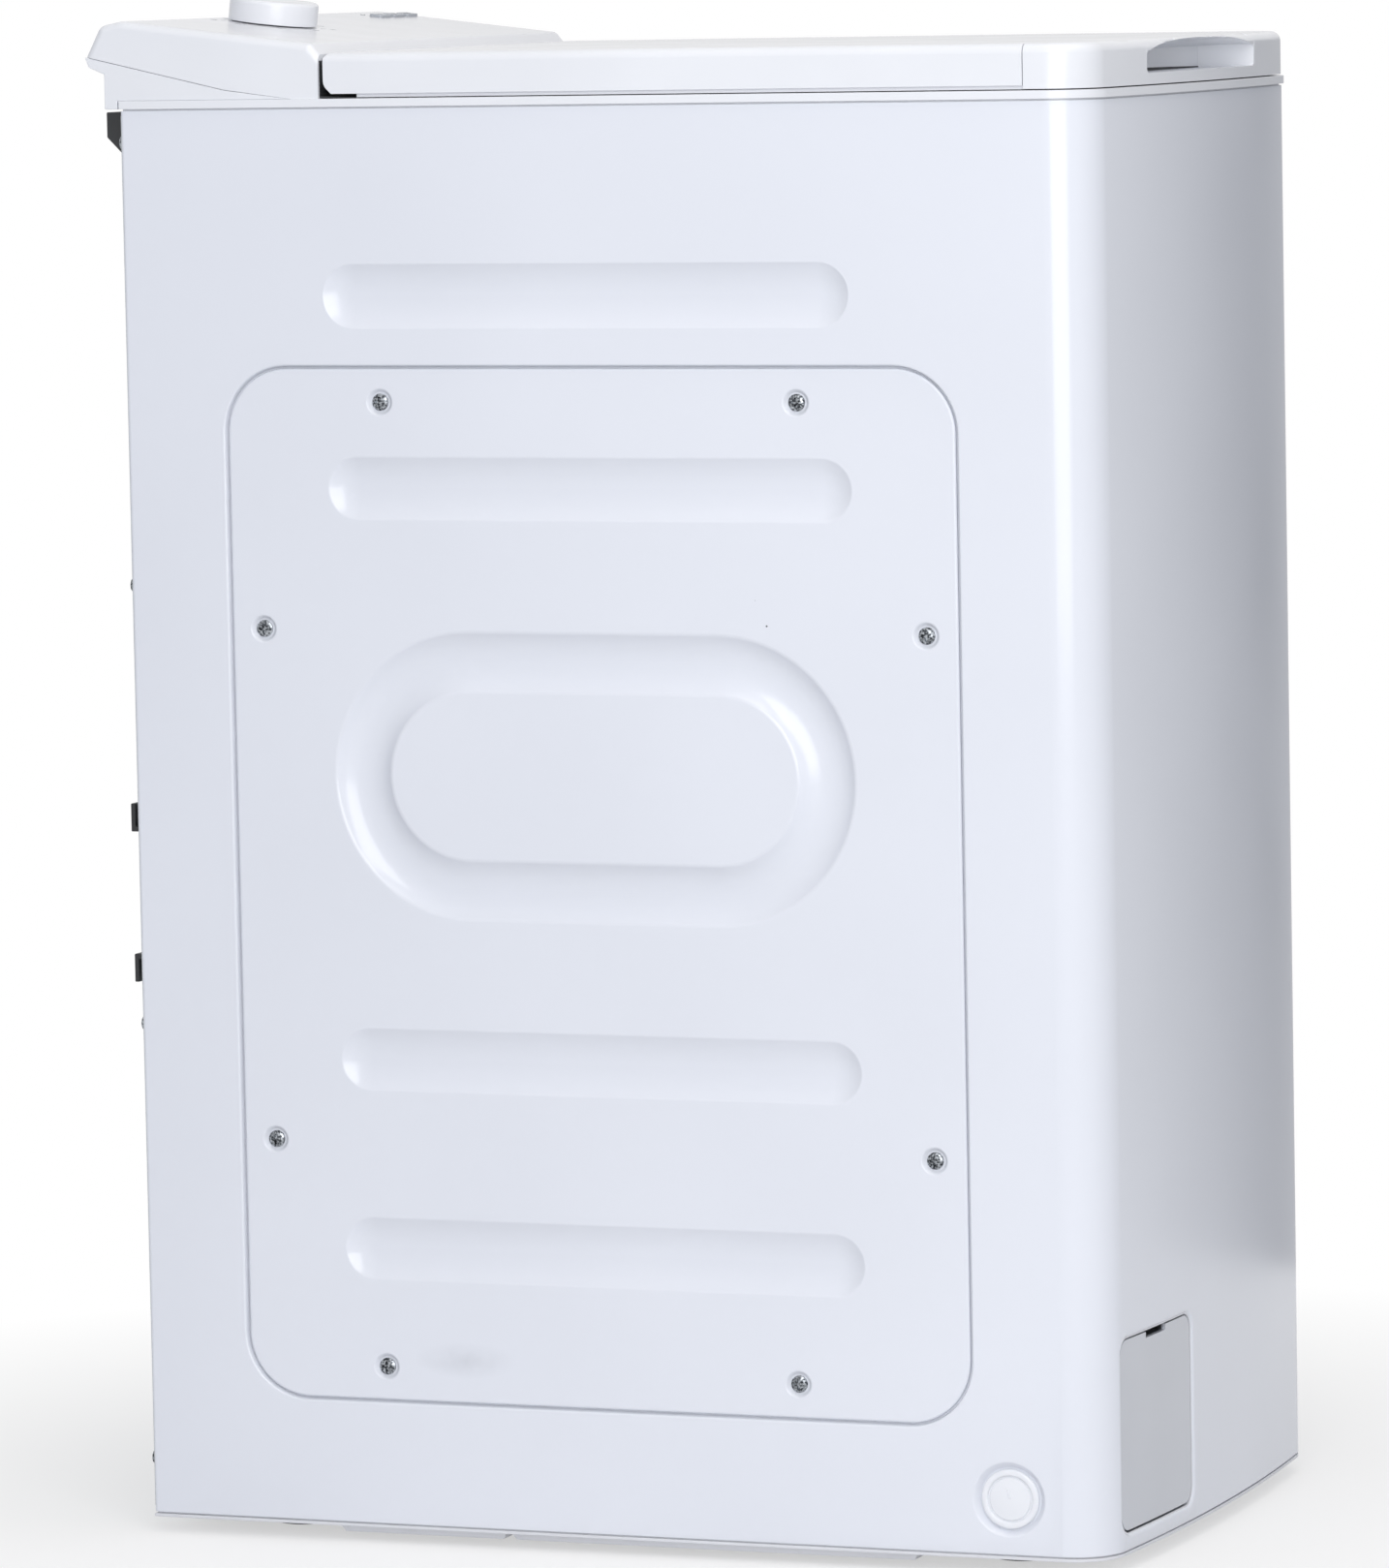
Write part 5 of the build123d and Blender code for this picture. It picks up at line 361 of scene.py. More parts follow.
def galvanised_steel(colours):
    """Hot-dip galvanised sheet: grey zinc whose crystals, 11 mm wide, each catch the light differently."""
    material, tree, shader, place = blank_material("galvanised_steel")
    spangle = add_node(tree, "ShaderNodeTexVoronoi", {"Vector": place, "Scale": scale_of(11)})
    tone = add_node(tree, "ShaderNodeRGBToBW", {"Color": spangle.outputs["Color"]})
    zinc = add_node(tree, "ShaderNodeMix", {
        SHARE: tone.outputs["Val"], FROM: linear("A6ABAF"), TO: linear("C0C5C8")}, data_type="RGBA")
    gloss = add_node(tree, "ShaderNodeMapRange", {
        "Value": tone.outputs["Val"], "To Min": 0.38, "To Max": 0.5})
    dross = add_node(tree, "ShaderNodeTexNoise", {"Vector": place, "Scale": scale_of(2.5), "Detail": 3.0})
    skin = add_node(tree, "ShaderNodeBump", {"Height": dross.outputs["Fac"], "Distance": 0.015 * MM})
    wire(tree, shader, {
        "Base Color": zinc.outputs[MIXED], "Metallic": 1.0, "Roughness": gloss.outputs["Result"],
        "Normal": skin.outputs["Normal"]})
    return material


def blackened_steel(colours):
    """Blackened screw steel: dark grey metal with bright patches, partly worn where a driver has rubbed it and
    partly painted reflection that gives the small heads their dark and bright parts.
    """
    material, tree, shader, place = blank_material("blackened_screw_steel")
    # Painted reflection and wear: random bright patches on the dark steel stand for the heads' mirrored light
    # and dark, and for rubbed metal
    rubbed = add_node(tree, "ShaderNodeTexNoise", {"Vector": place, "Scale": scale_of(1.5), "Detail": 3.0})
    bare_and_glint = add_node(tree, "ShaderNodeMapRange", {
        "Value": rubbed.outputs["Fac"], "From Min": 0.4, "From Max": 0.65})
    tone = add_node(tree, "ShaderNodeMix", {
        SHARE: bare_and_glint.outputs["Result"], FROM: linear("34373C"), TO: linear("B9BEC4")}, data_type="RGBA")
    gloss = add_node(tree, "ShaderNodeMapRange", {
        "Value": rubbed.outputs["Fac"], "From Min": 0.2, "From Max": 0.8, "To Min": 0.42, "To Max": 0.29})
    wire(tree, shader, {
        "Base Color": tone.outputs[MIXED], "Metallic": 1.0, "Roughness": gloss.outputs["Result"]})
    return material


def brushed_stainless(colours):
    """Rolled and brushed stainless sheet: bright, with a fine grain along the drum's width."""
    material, tree, shader, place = blank_material("brushed_stainless_steel")
    along = add_node(tree, "ShaderNodeMapping", {"Vector": place, "Scale": (0.02, 1, 1)})
    # Grain lines 0.4 mm apart, drawn at 1 mm so that they show
    lines = add_node(tree, "ShaderNodeTexNoise", {
        "Vector": along.outputs["Vector"], "Scale": scale_of(1), "Detail": 3.0, "Roughness": 0.6})
    tone = add_node(tree, "ShaderNodeMix", {
        SHARE: lines.outputs["Fac"], FROM: linear("ACB0B4"), TO: linear("D2D6D9")}, data_type="RGBA")
    gloss = add_node(tree, "ShaderNodeMapRange", {
        "Value": lines.outputs["Fac"], "From Min": 0.3, "From Max": 0.7, "To Min": 0.28, "To Max": 0.38})
    skin = add_node(tree, "ShaderNodeBump", {"Height": lines.outputs["Fac"], "Distance": 0.004 * MM})
    wire(tree, shader, {
        "Base Color": tone.outputs[MIXED], "Metallic": 1.0, "Roughness": gloss.outputs["Result"],
        "Normal": skin.outputs["Normal"]})
    return material


def ground_steel(colours):
    """Turned and ground steel: bright, with faint tool rings across its axis."""
    material, tree, shader, place = blank_material("ground_steel")
    across = add_node(tree, "ShaderNodeMapping", {"Vector": place, "Scale": (1, 0.1, 0.1)})
    rings = add_node(tree, "ShaderNodeTexNoise", {
        "Vector": across.outputs["Vector"], "Scale": scale_of(0.8)})
    tone = add_node(tree, "ShaderNodeMix", {
        SHARE: rings.outputs["Fac"], FROM: linear("A2A7AC"), TO: linear("CDD1D5")}, data_type="RGBA")
    gloss = add_node(tree, "ShaderNodeMapRange", {
        "Value": rings.outputs["Fac"], "From Min": 0.3, "From Max": 0.7, "To Min": 0.28, "To Max": 0.36})
    wire(tree, shader, {
        "Base Color": tone.outputs[MIXED], "Metallic": 1.0, "Roughness": gloss.outputs["Result"]})
    return material


def cast_aluminium(colours):
    """Die-cast aluminium: pale grey, with a sandy skin and soft flow marks."""
    material, tree, shader, place = blank_material("die_cast_aluminium")
    marks = add_node(tree, "ShaderNodeTexNoise", {"Vector": place, "Scale": scale_of(14), "Detail": 3.0})
    tone = add_node(tree, "ShaderNodeMix", {
        SHARE: marks.outputs["Fac"], FROM: linear("A0A2A4"), TO: linear("C6C8C9")}, data_type="RGBA")
    sand = add_node(tree, "ShaderNodeTexNoise", {"Vector": place, "Scale": scale_of(1.2), "Detail": 3.0})
    gloss = add_node(tree, "ShaderNodeMapRange", {
        "Value": sand.outputs["Fac"], "From Min": 0.3, "From Max": 0.7, "To Min": 0.42, "To Max": 0.58})
    skin = add_node(tree, "ShaderNodeBump", {"Height": sand.outputs["Fac"], "Distance": 0.03 * MM})
    wire(tree, shader, {
        "Base Color": tone.outputs[MIXED], "Metallic": 1.0, "Roughness": gloss.outputs["Result"],
        "Normal": skin.outputs["Normal"]})
    return material


def grey_polypropylene(colours):
    """Moulded polypropylene: mid grey, a little waxy and satin."""
    material, tree, shader, place = blank_material("grey_polypropylene")
    cloud = add_node(tree, "ShaderNodeTexNoise", {"Vector": place, "Scale": scale_of(25), "Detail": 3.0})
    tone = add_node(tree, "ShaderNodeMix", {
        SHARE: cloud.outputs["Fac"], FROM: linear("868B91"), TO: linear("A8ADB2")}, data_type="RGBA")
    gloss = add_node(tree, "ShaderNodeMapRange", {
        "Value": cloud.outputs["Fac"], "From Min": 0.2, "From Max": 0.8, "To Min": 0.36, "To Max": 0.52})
    grain = add_node(tree, "ShaderNodeTexNoise", {"Vector": place, "Scale": scale_of(0.9), "Detail": 2.0})
    skin = add_node(tree, "ShaderNodeBump", {"Height": grain.outputs["Fac"], "Distance": 0.02 * MM})
    wire(tree, shader, {
        "Base Color": tone.outputs[MIXED], "Roughness": gloss.outputs["Result"], "IOR": 1.49,
        "Normal": skin.outputs["Normal"]})
    return material


def wool_felt(colours):
    """Pressed wool felt: soft grey, with matted fibres and a dusty sheen."""
    material, tree, shader, place = blank_material("pressed_wool_felt")
    # Fibres of 0.1 mm, drawn at 1.4 mm so that they show
    fibres = add_node(tree, "ShaderNodeTexNoise", {
        "Vector": place, "Scale": scale_of(1.4), "Detail": 5.0, "Roughness": 0.7})
    tone = add_node(tree, "ShaderNodeMix", {
        SHARE: fibres.outputs["Fac"], FROM: linear("64625F"), TO: linear("A19E99")}, data_type="RGBA")
    skin = add_node(tree, "ShaderNodeBump", {"Height": fibres.outputs["Fac"], "Distance": 0.25 * MM})
    wire(tree, shader, {
        "Base Color": tone.outputs[MIXED], "Roughness": 0.95, "Sheen Weight": 0.5,
        "Normal": skin.outputs["Normal"]})
    return material


def motor_enamel(colours):
    """Dipped motor enamel: dark grey-green, with a hammered skin."""
    material, tree, shader, place = blank_material("hammered_motor_enamel")
    dents = add_node(tree, "ShaderNodeTexNoise", {"Vector": place, "Scale": scale_of(3)})
    tone = add_node(tree, "ShaderNodeMix", {
        SHARE: dents.outputs["Fac"], FROM: linear("38403F"), TO: linear("545D5C")}, data_type="RGBA")
    gloss = add_node(tree, "ShaderNodeMapRange", {
        "Value": dents.outputs["Fac"], "From Min": 0.3, "From Max": 0.7, "To Min": 0.3, "To Max": 0.42})
    skin = add_node(tree, "ShaderNodeBump", {"Height": dents.outputs["Fac"], "Distance": 0.06 * MM})
    wire(tree, shader, {
        "Base Color": tone.outputs[MIXED], "Roughness": gloss.outputs["Result"], "IOR": 1.5,
        "Normal": skin.outputs["Normal"]})
    return material


def board_laminate(colours):
    """Glass-epoxy circuit board: green lacquer, paler over its copper runs."""
    material, tree, shader, place = blank_material("glass_epoxy_board")
    runs = add_node(tree, "ShaderNodeTexBrick", {
        "Vector": place, "Scale": scale_of(12), "Mortar Size": 0.06, "Color1": linear("1F5A38"),
        "Color2": linear("1B5133"), "Mortar": linear("3F8257")})
    weave = add_node(tree, "ShaderNodeTexNoise", {"Vector": place, "Scale": scale_of(5)})
    gloss = add_node(tree, "ShaderNodeMapRange", {
        "Value": weave.outputs["Fac"], "From Min": 0.3, "From Max": 0.7, "To Min": 0.28, "To Max": 0.4})
    wire(tree, shader, {
        "Base Color": runs.outputs["Color"], "Roughness": gloss.outputs["Result"], "IOR": 1.55})
    return material


def dial_ink(colours):
    """Pad-printed ink: flat mid grey, with slightly uneven cover."""
    material, tree, shader, place = blank_material("pad_printed_ink")
    cover = add_node(tree, "ShaderNodeTexNoise", {"Vector": place, "Scale": scale_of(0.8), "Detail": 3.0})
    tone = add_node(tree, "ShaderNodeMix", {
        SHARE: cover.outputs["Fac"], FROM: linear(shade(colours.ink, 0.06)),
        TO: linear(shade(colours.ink, -0.12))}, data_type="RGBA")
    wire(tree, shader, {"Base Color": tone.outputs[MIXED], "Roughness": 0.5, "IOR": 1.48})
    return material


FINISHES = {}


def finish(maker):
    """Each finish is made once."""
    if maker.__name__ not in FINISHES:
        FINISHES[maker.__name__] = maker(bpy.context.scene.dryer_colours)
    return FINISHES[maker.__name__]


def dress(nodes, maker):
    """Give CAD nodes a finish."""
    for name in nodes:
        mesh = frame["nodes"][name].data
        mesh.materials.clear()
        mesh.materials.append(finish(maker))


def new_piece(name, mesh, maker, body):
    """A mesh as a piece with a finish, which rides on a body."""
    mesh.materials.clear()
    mesh.materials.append(finish(maker))
    piece = bpy.data.objects.new(name, mesh)
    bpy.context.scene.collection.objects.link(piece)
    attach(piece, body)
    return piece


def carve(mesh, cutter):
    """A mesh with another mesh's shape taken out of it."""
    blank = bpy.data.objects.new("blank", mesh)
    tool = bpy.data.objects.new("tool", cutter)
    for part in (blank, tool):
        bpy.context.scene.collection.objects.link(part)
    cut = blank.modifiers.new("cut", "BOOLEAN")
    cut.operation = "DIFFERENCE"
    cut.object = tool
    carved = bpy.data.meshes.new_from_object(blank.evaluated_get(bpy.context.evaluated_depsgraph_get()))
    for part in (blank, tool):
        bpy.data.objects.remove(part)
    return carved


def round_off(mesh, crease=32):
    """Shade a mesh smooth, apart from the edges that turn by more than the crease, in degrees."""
    if mesh.has_custom_normals:
        mesh.attributes.remove(mesh.attributes["custom_normal"])
    mesh.polygons.foreach_set("use_smooth", [True] * len(mesh.polygons))
    mesh.set_sharp_from_angle(angle=radians(crease))
    return mesh


def shell(name, vertices, faces):
    """A closed mesh whose faces look outwards."""
    mesh = bpy.data.meshes.new(name)
    mesh.from_pydata(vertices, [], faces)
    work = bmesh.new()
    work.from_mesh(mesh)
    bmesh.ops.recalc_face_normals(work, faces=work.faces)
    work.to_mesh(mesh)
    work.free()
    return mesh


def turned_faces(first, rings, sectors):
    """Faces of a turned piece whose middle point comes first, followed by its rings from the middle out."""
    faces = []
    for sector in range(sectors):
        beside = (sector + 1) % sectors
        faces.append((first, first + 1 + beside, first + 1 + sector))
        for ring in range(rings - 1):
            inner = first + 1 + ring * sectors
            outer = inner + sectors
            faces.append((inner + sector, inner + beside, outer + beside, outer + sector))
    last = first + 1 + (rings - 1) * sectors
    return faces + [tuple(range(last, last + sectors))]


def ease(nodes, maker, edge, shaped=None):
    """Stand in for CAD nodes with copies, or with a shaped mesh, whose edges are rounded by so many mm."""
    sharp = radians(28)
    for name in nodes:
        work = bmesh.new()
        work.from_mesh(shaped or frame["nodes"][name].data)
        bmesh.ops.remove_doubles(work, verts=work.verts, dist=0.01 * MM)
        bmesh.ops.dissolve_limit(work, angle_limit=radians(0.3), verts=work.verts, edges=work.edges)
        edges = [line for line in work.edges if line.is_manifold and line.calc_face_angle() > sharp]
        bmesh.ops.bevel(work, geom=edges, offset=edge * MM, offset_type="OFFSET", segments=3, profile=0.5,
                        affect="EDGES", clamp_overlap=True)
        mesh = bpy.data.meshes.new(name + "_eased")
        work.to_mesh(mesh)
        work.free()
        body = next(body for body, members in BODIES.items() if name in members)
        piece = new_piece(name + "_eased", round_off(mesh), maker, body)
        piece.modifiers.new("flat_faces", "WEIGHTED_NORMAL").keep_sharp = True
        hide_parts(name)


def outside(shape, u, v):
    """Distance of a point outside a rounded rectangle (middle u, v, half width, half height, radius)."""
    middle_u, middle_v, half_u, half_v, radius = shape
    over_u = abs(u - middle_u) - half_u + radius
    over_v = abs(v - middle_v) - half_v + radius
    return hypot(max(over_u, 0), max(over_v, 0)) + min(max(over_u, over_v), 0) - radius


def disc(middle_u, middle_v, radius):
    """A circle, as a rounded rectangle."""
    return (middle_u, middle_v, radius, radius, radius)


def ring_points(shape, offset, steps):
    """Points round a rounded rectangle grown by the offset, counter-clockwise, with steps in each corner."""
    middle_u, middle_v, half_u, half_v, radius = shape
    grown = radius + offset
    points = []
    for quarter, (side_u, side_v) in enumerate(((1, 1), (-1, 1), (-1, -1), (1, -1))):
        corner_u = middle_u + side_u * (half_u - radius)
        corner_v = middle_v + side_v * (half_v - radius)
        for step in range(steps + 1):
            turn = (quarter + step / steps) * pi / 2
            points.append((corner_u + grown * cos(turn), corner_v + grown * sin(turn)))
    kept = [points[0]]
    for point in points[1:]:
        if hypot(point[0] - kept[-1][0], point[1] - kept[-1][1]) > 1e-6:
            kept.append(point)
    if hypot(kept[0][0] - kept[-1][0], kept[0][1] - kept[-1][1]) < 1e-6:
        kept.pop()
    return kept


def wall_profile(depth, lean, shoulder, foot, start=0.0, steps=5):
    """Offsets and depths of a pressed wall's section, inwards: a shoulder arc, a slope and a foot arc."""
    level = 1.5 * MM
    lean = radians(lean)
    slope = (depth - (shoulder + foot) * (1 - cos(lean))) / sin(lean)
    section = [(start + level, 0.0), (start, 0.0)]
    for step in range(1, steps + 1):
        turn = lean * step / steps
        section.append((start - shoulder * sin(turn), shoulder * (1 - cos(turn))))
    from_offset = section[-1][0] - slope * cos(lean)
    from_depth = section[-1][1] + slope * sin(lean)
    section.append((from_offset, from_depth))
    for step in range(1, steps + 1):
        turn = lean * (1 - step / steps)
        section.append((from_offset - foot * (sin(lean) - sin(turn)),
                        from_depth + foot * (cos(turn) - cos(lean))))
    section.append((section[-1][0] - level, section[-1][1]))
    return section


def depth_at(section, offset):
    """Depth of a pressed wall at an offset from its outline."""
    if offset >= section[0][0]:
        return section[0][1]
    for (high, shallow), (low, deep) in zip(section, section[1:]):
        if offset >= low:
            share = (high - offset) / (high - low)
            return shallow + share * (deep - shallow)
    return section[-1][1]


def bead(size, middle_u, middle_v, shoulder):
    """A straight bead, almost a round trough, as one pressing."""
    half_v = size.bead_height / 2
    shape = (middle_u, middle_v, size.bead_length / 2, half_v, half_v)
    section = wall_profile(size.bead_depth, lean=34, shoulder=shoulder, foot=28 * MM, start=0.4 * MM,
                           steps=8)
    return [(shape, section, 1, 14)]


def oval_ring(size, middle_u, middle_v):
    """The oval groove as two pressings: its outer wall goes in and its island comes out again."""
    half_v = size.ring_height / 2
    outer = (middle_u, middle_v, size.bead_length / 2, half_v, half_v)
    island_v = half_v - size.ring_band
    island = (middle_u, middle_v, size.bead_length / 2 - size.ring_band, island_v, island_v)
    section = wall_profile(size.ring_depth, lean=44, shoulder=4 * MM, foot=22 * MM, start=0.4 * MM,
                           steps=8)
    rising = [(-offset, size.ring_depth - depth) for offset, depth in reversed(section)]
    return [(outer, section, 1, 22), (island, rising, -1, 18)]


def press_sheet(name, size, border, creases, pressings, holes, place):
    """Cut a blank, press walls into it and give it its thickness.

    A pressing is an outline, its wall's section, the sense of its depth and the steps in each corner. A hole
    is an outline and such steps. The function place puts a point of the blank, and its depth, in the frame.
    """
    points = []
    edges = []
    lines = [(border, True)] + [(crease, False) for crease in creases]
    for shape, section, sense, steps in pressings:
        lines += [(ring_points(shape, offset, steps), True) for offset, depth in section]
    lines += [(ring_points(shape, 0, steps), True) for shape, steps in holes]
    for line, closed in lines:
        first = len(points)
        points += [Vector(point) for point in line]
        edges += [(at, at + 1) for at in range(first, len(points) - 1)]
        if closed:
            edges.append((len(points) - 1, first))
    flat, _, triangles, *_ = delaunay_2d_cdt(points, edges, [], 0, 1e-7)
    kept = []
    for triangle in triangles:
        middle_u = sum(flat[at][0] for at in triangle) / 3
        middle_v = sum(flat[at][1] for at in triangle) / 3
        if all(outside(shape, middle_u, middle_v) > 0 for shape, steps in holes):
            kept.append(triangle)
    vertices = []
    for point in flat:
        depth = sum(sense * depth_at(section, outside(shape, *point))
                    for shape, section, sense, steps in pressings)
        vertices.append(place(point[0], point[1], depth))
    mesh = bpy.data.meshes.new(name)
    mesh.from_pydata(vertices, [], kept)
    mesh.validate()
    mesh.polygons.foreach_set("use_smooth", [True] * len(mesh.polygons))
    piece = new_piece(name, mesh, stoved_enamel, "cabinet")
    solid = piece.modifiers.new("sheet", "SOLIDIFY")
    solid.thickness = size.thickness
    solid.offset = -1
    piece.modifiers.new("flat_faces", "WEIGHTED_NORMAL")
    return piece


def casing_line(size):
    """Stations round the casing from its left rear flange to its right one: x, y, and the way in (x, y)."""
    half = SKIN_HIGH.x
    front = SKIN_LOW.y
    rear = SKIN_HIGH.y
    bow = (half ** 2 + size.bow ** 2) / (2 * size.bow)
    bow_y = front + bow
    side_x = half - size.corner
    corner_y = bow_y - sqrt((bow - size.corner) ** 2 - side_x ** 2)
    turn = asin(side_x / (bow - size.corner))
    arcs = (
        (size.bend - half, rear - size.bend, size.bend, pi / 2, pi, 6),
        (-side_x, corner_y, size.corner, pi, 1.5 * pi - turn, 28),
        (0, bow_y, bow, 1.5 * pi - turn, 1.5 * pi, 24),
    )
    left = [(size.flange - half, rear, 0, -1)]
    for middle_x, middle_y, radius, start, end, steps in arcs:
        for step in range(steps + 1):
            angle = start + (end - start) * step / steps
            station = (middle_x + radius * cos(angle), middle_y + radius * sin(angle),
                       -cos(angle), -sin(angle))
            if hypot(station[0] - left[-1][0], station[1] - left[-1][1]) > 1e-6:
                left.append(station)
    return left + [(-x, y, -inward_x, inward_y) for x, y, inward_x, inward_y in reversed(left[:-1])]


def hatch_opening(size, line, runs):
    """Outline of the hatch's opening on the blank, in the bowed front."""
    low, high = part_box("front_hatch")
    hatch_x = (low.x + high.x) / 2
    nearest = min(range(len(line) - 1), key=lambda at: abs(line[at][0] - hatch_x) + line[at][1])
    share = (hatch_x - line[nearest][0]) / (line[nearest + 1][0] - line[nearest][0])
    middle_u = runs[nearest] + share * (runs[nearest + 1] - runs[nearest])
    return (middle_u, size.hatch_level, size.hatch_width / 2, size.hatch_height / 2, size.hatch_radius)


class DRYER_OT_press_casing(Operator):
    """Press the skin: two sides and the bowed front in one sheet, with its beads, landing and openings"""

    bl_idname = "dryer.press_casing"
    bl_label = "Press the casing"

    def execute(self, context):
        size = context.scene.dryer_sheet
        line = casing_line(size)
        runs = [0.0]
        for (x, y, *_), (next_x, next_y, *_) in zip(line, line[1:]):
            runs.append(runs[-1] + hypot(next_x - x, next_y - y))

        def place(u, v, depth):
            """A point of the blank, bent round the casing."""
            at = min(max(sum(1 for run in runs if run <= u + 1e-9) - 1, 0), len(runs) - 2)
            share = (u - runs[at]) / (runs[at + 1] - runs[at])
            x, y, inward_x, inward_y = (a + share * (b - a) for a, b in zip(line[at], line[at + 1]))
            return (x + depth * inward_x, y + depth * inward_y, v)

        # On the left side the run falls along Y; on the right side it rises
        corner = max(at for at, station in enumerate(line) if station[0] < 0 and abs(station[2] - 1) < 1e-9)
        left_zero = runs[corner] + line[corner][1]
        right_zero = runs[-1] - left_zero
        low = SKIN_LOW.z + size.seam
        high = SKIN_HIGH.z - size.seam
        border = [(run, low) for run in runs] + [(run, high) for run in reversed(runs)]
        creases = [[(run, low), (run, high)] for run in runs[1:-1]]
        # Level lines between the pressings keep the long strips of the mesh short
        levels = [level * MM for level in (148, 235, 343, 580, 688, 810)]
        creases += [[(runs[0], level), (runs[-1], level)] for level in levels]
        pressings = self.beads(size, left_zero - size.middle_y, right_zero + size.middle_y)
        holes = []
        self.open_service_side(size, left_zero, pressings, holes)
        opening = hatch_opening(size, line, runs)
        rim = wall_profile(2.4 * MM, lean=70, shoulder=3.4 * MM, foot=0.1 * MM, start=3.4 * MM, steps=6)
        pressings.append((opening, rim[:-1], 1, 10))
        holes.append((opening, 10))
        piece = press_sheet("casing_skin", size, border, creases, pressings, holes, place)
        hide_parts("cabinet_wrap")
        return {"FINISHED"}

    def beads(self, size, left_u, right_u):
        """The bead above the cover on the left side, and the beads and the oval ring of the right side."""
        shoulder = 1.2 * MM
        pressings = bead(size, left_u, size.middle_z + size.outer_rise, shoulder)
        for rise in (size.outer_rise, size.inner_rise, -size.inner_rise, -size.outer_rise):
            pressings += bead(size, right_u, size.middle_z + rise, shoulder)
        return pressings + oval_ring(size, right_u, size.middle_z)

    def open_service_side(self, size, left_zero, pressings, holes):
        """Add the step that the cover lies on, the window behind it and the dish of the blanking plug."""
        middle_u = left_zero - size.middle_y
        middle_v = (COVER_LOW.z + COVER_HIGH.z) / 2
        half_u = (COVER_HIGH.y - COVER_LOW.y) / 2
        half_v = (COVER_HIGH.z - COVER_LOW.z) / 2
        step = (middle_u, middle_v, half_u + size.cover_gap, half_v + size.cover_gap,
                size.cover_radius + size.cover_gap)
        landing = wall_profile(size.landing_depth, lean=76, shoulder=1.3 * MM, foot=0.4 * MM,
                               start=1.95 * MM, steps=4)
        pressings.append((step, landing, 1, 16))
        window_radius, plug_hole, screw_hole = 8 * MM, 12.3 * MM, 9.6 * MM
        holes.append(((middle_u, middle_v, half_u - size.landing, half_v - size.landing, window_radius), 6))
        low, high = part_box("side_plug")
        plug = (left_zero - (low.y + high.y) / 2, (low.z + high.z) / 2)
        dish = wall_profile(size.dish_depth, lean=50, shoulder=1.6 * MM, foot=0.8 * MM, start=0.3 * MM)
        pressings.append((disc(*plug, size.dish), dish, 1, 14))
        holes.append((disc(*plug, plug_hole), 8))
        for y, z in cover_screws(size):
            holes.append((disc(left_zero - y, z, screw_hole), 6))


def cover_screws(size):
    """Middles of the service cover's screws, as Y and Z."""
    inset = 20 * MM
    spread_y = 130.8 * MM
    middle_z = (COVER_LOW.z + COVER_HIGH.z) / 2
    side = (COVER_HIGH.y - COVER_LOW.y) / 2 - inset
    rise = 153 * MM
    shift = 9 * MM
    places = [(size.middle_y + sign * spread_y, COVER_HIGH.z - inset) for sign in (-1, 1)]
    places += [(size.middle_y + sign * side, middle_z + up * rise) for up in (1, -1) for sign in (-1, 1)]
    places += [(size.middle_y + shift + sign * spread_y, COVER_LOW.z + inset) for sign in (-1, 1)]
    return places


class DRYER_OT_press_cover(Operator):
    """Press the service cover with its beads, its oval ring and its screw dimples"""

    bl_idname = "dryer.press_cover"
    bl_label = "Press the service cover"

    def execute(self, context):
        size = context.scene.dryer_sheet
        face_x = COVER_LOW.x
        middle_z = (COVER_LOW.z + COVER_HIGH.z) / 2
        half_u = (COVER_HIGH.y - COVER_LOW.y) / 2
        half_v = (COVER_HIGH.z - COVER_LOW.z) / 2
        outline = (-size.middle_y, middle_z, half_u, half_v, size.cover_radius)
        # The cover's edge is turned in by a small arc
        edge = 1.7 * MM
        turned = []
        for turn in (12, 30, 50, 70, 90):
            turned.append((-edge * (1 - cos(radians(turn))), edge * (1 - sin(radians(turn)))))
        turned.append((turned[-1][0] - 1.5 * MM, 0.0))
        border = ring_points(outline, turned[0][0], 18)
        pressings = [(outline, turned, 1, 18)]
        for rise in (size.inner_rise, -size.inner_rise, -size.outer_rise):
            pressings += bead(size, -size.middle_y, size.middle_z + rise, 2.8 * MM)
        pressings += oval_ring(size, -size.middle_y, size.middle_z)
        holes = []
        screw_hole = 2.4 * MM
        dimple = wall_profile(size.dimple_depth, lean=48, shoulder=1.6 * MM, foot=0.8 * MM, start=0.4 * MM)
        for y, z in cover_screws(size):
            pressings.append((disc(-y, z, size.dimple), dimple, 1, 10))
            holes.append((disc(-y, z, screw_hole), 4))

        def place(u, v, depth):
            """A point of the blank on the left side."""
            return (face_x + depth, -u, v)

        piece = press_sheet("service_cover_sheet", size, border, [], pressings, holes, place)
        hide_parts("service_cover")
        return {"FINISHED"}


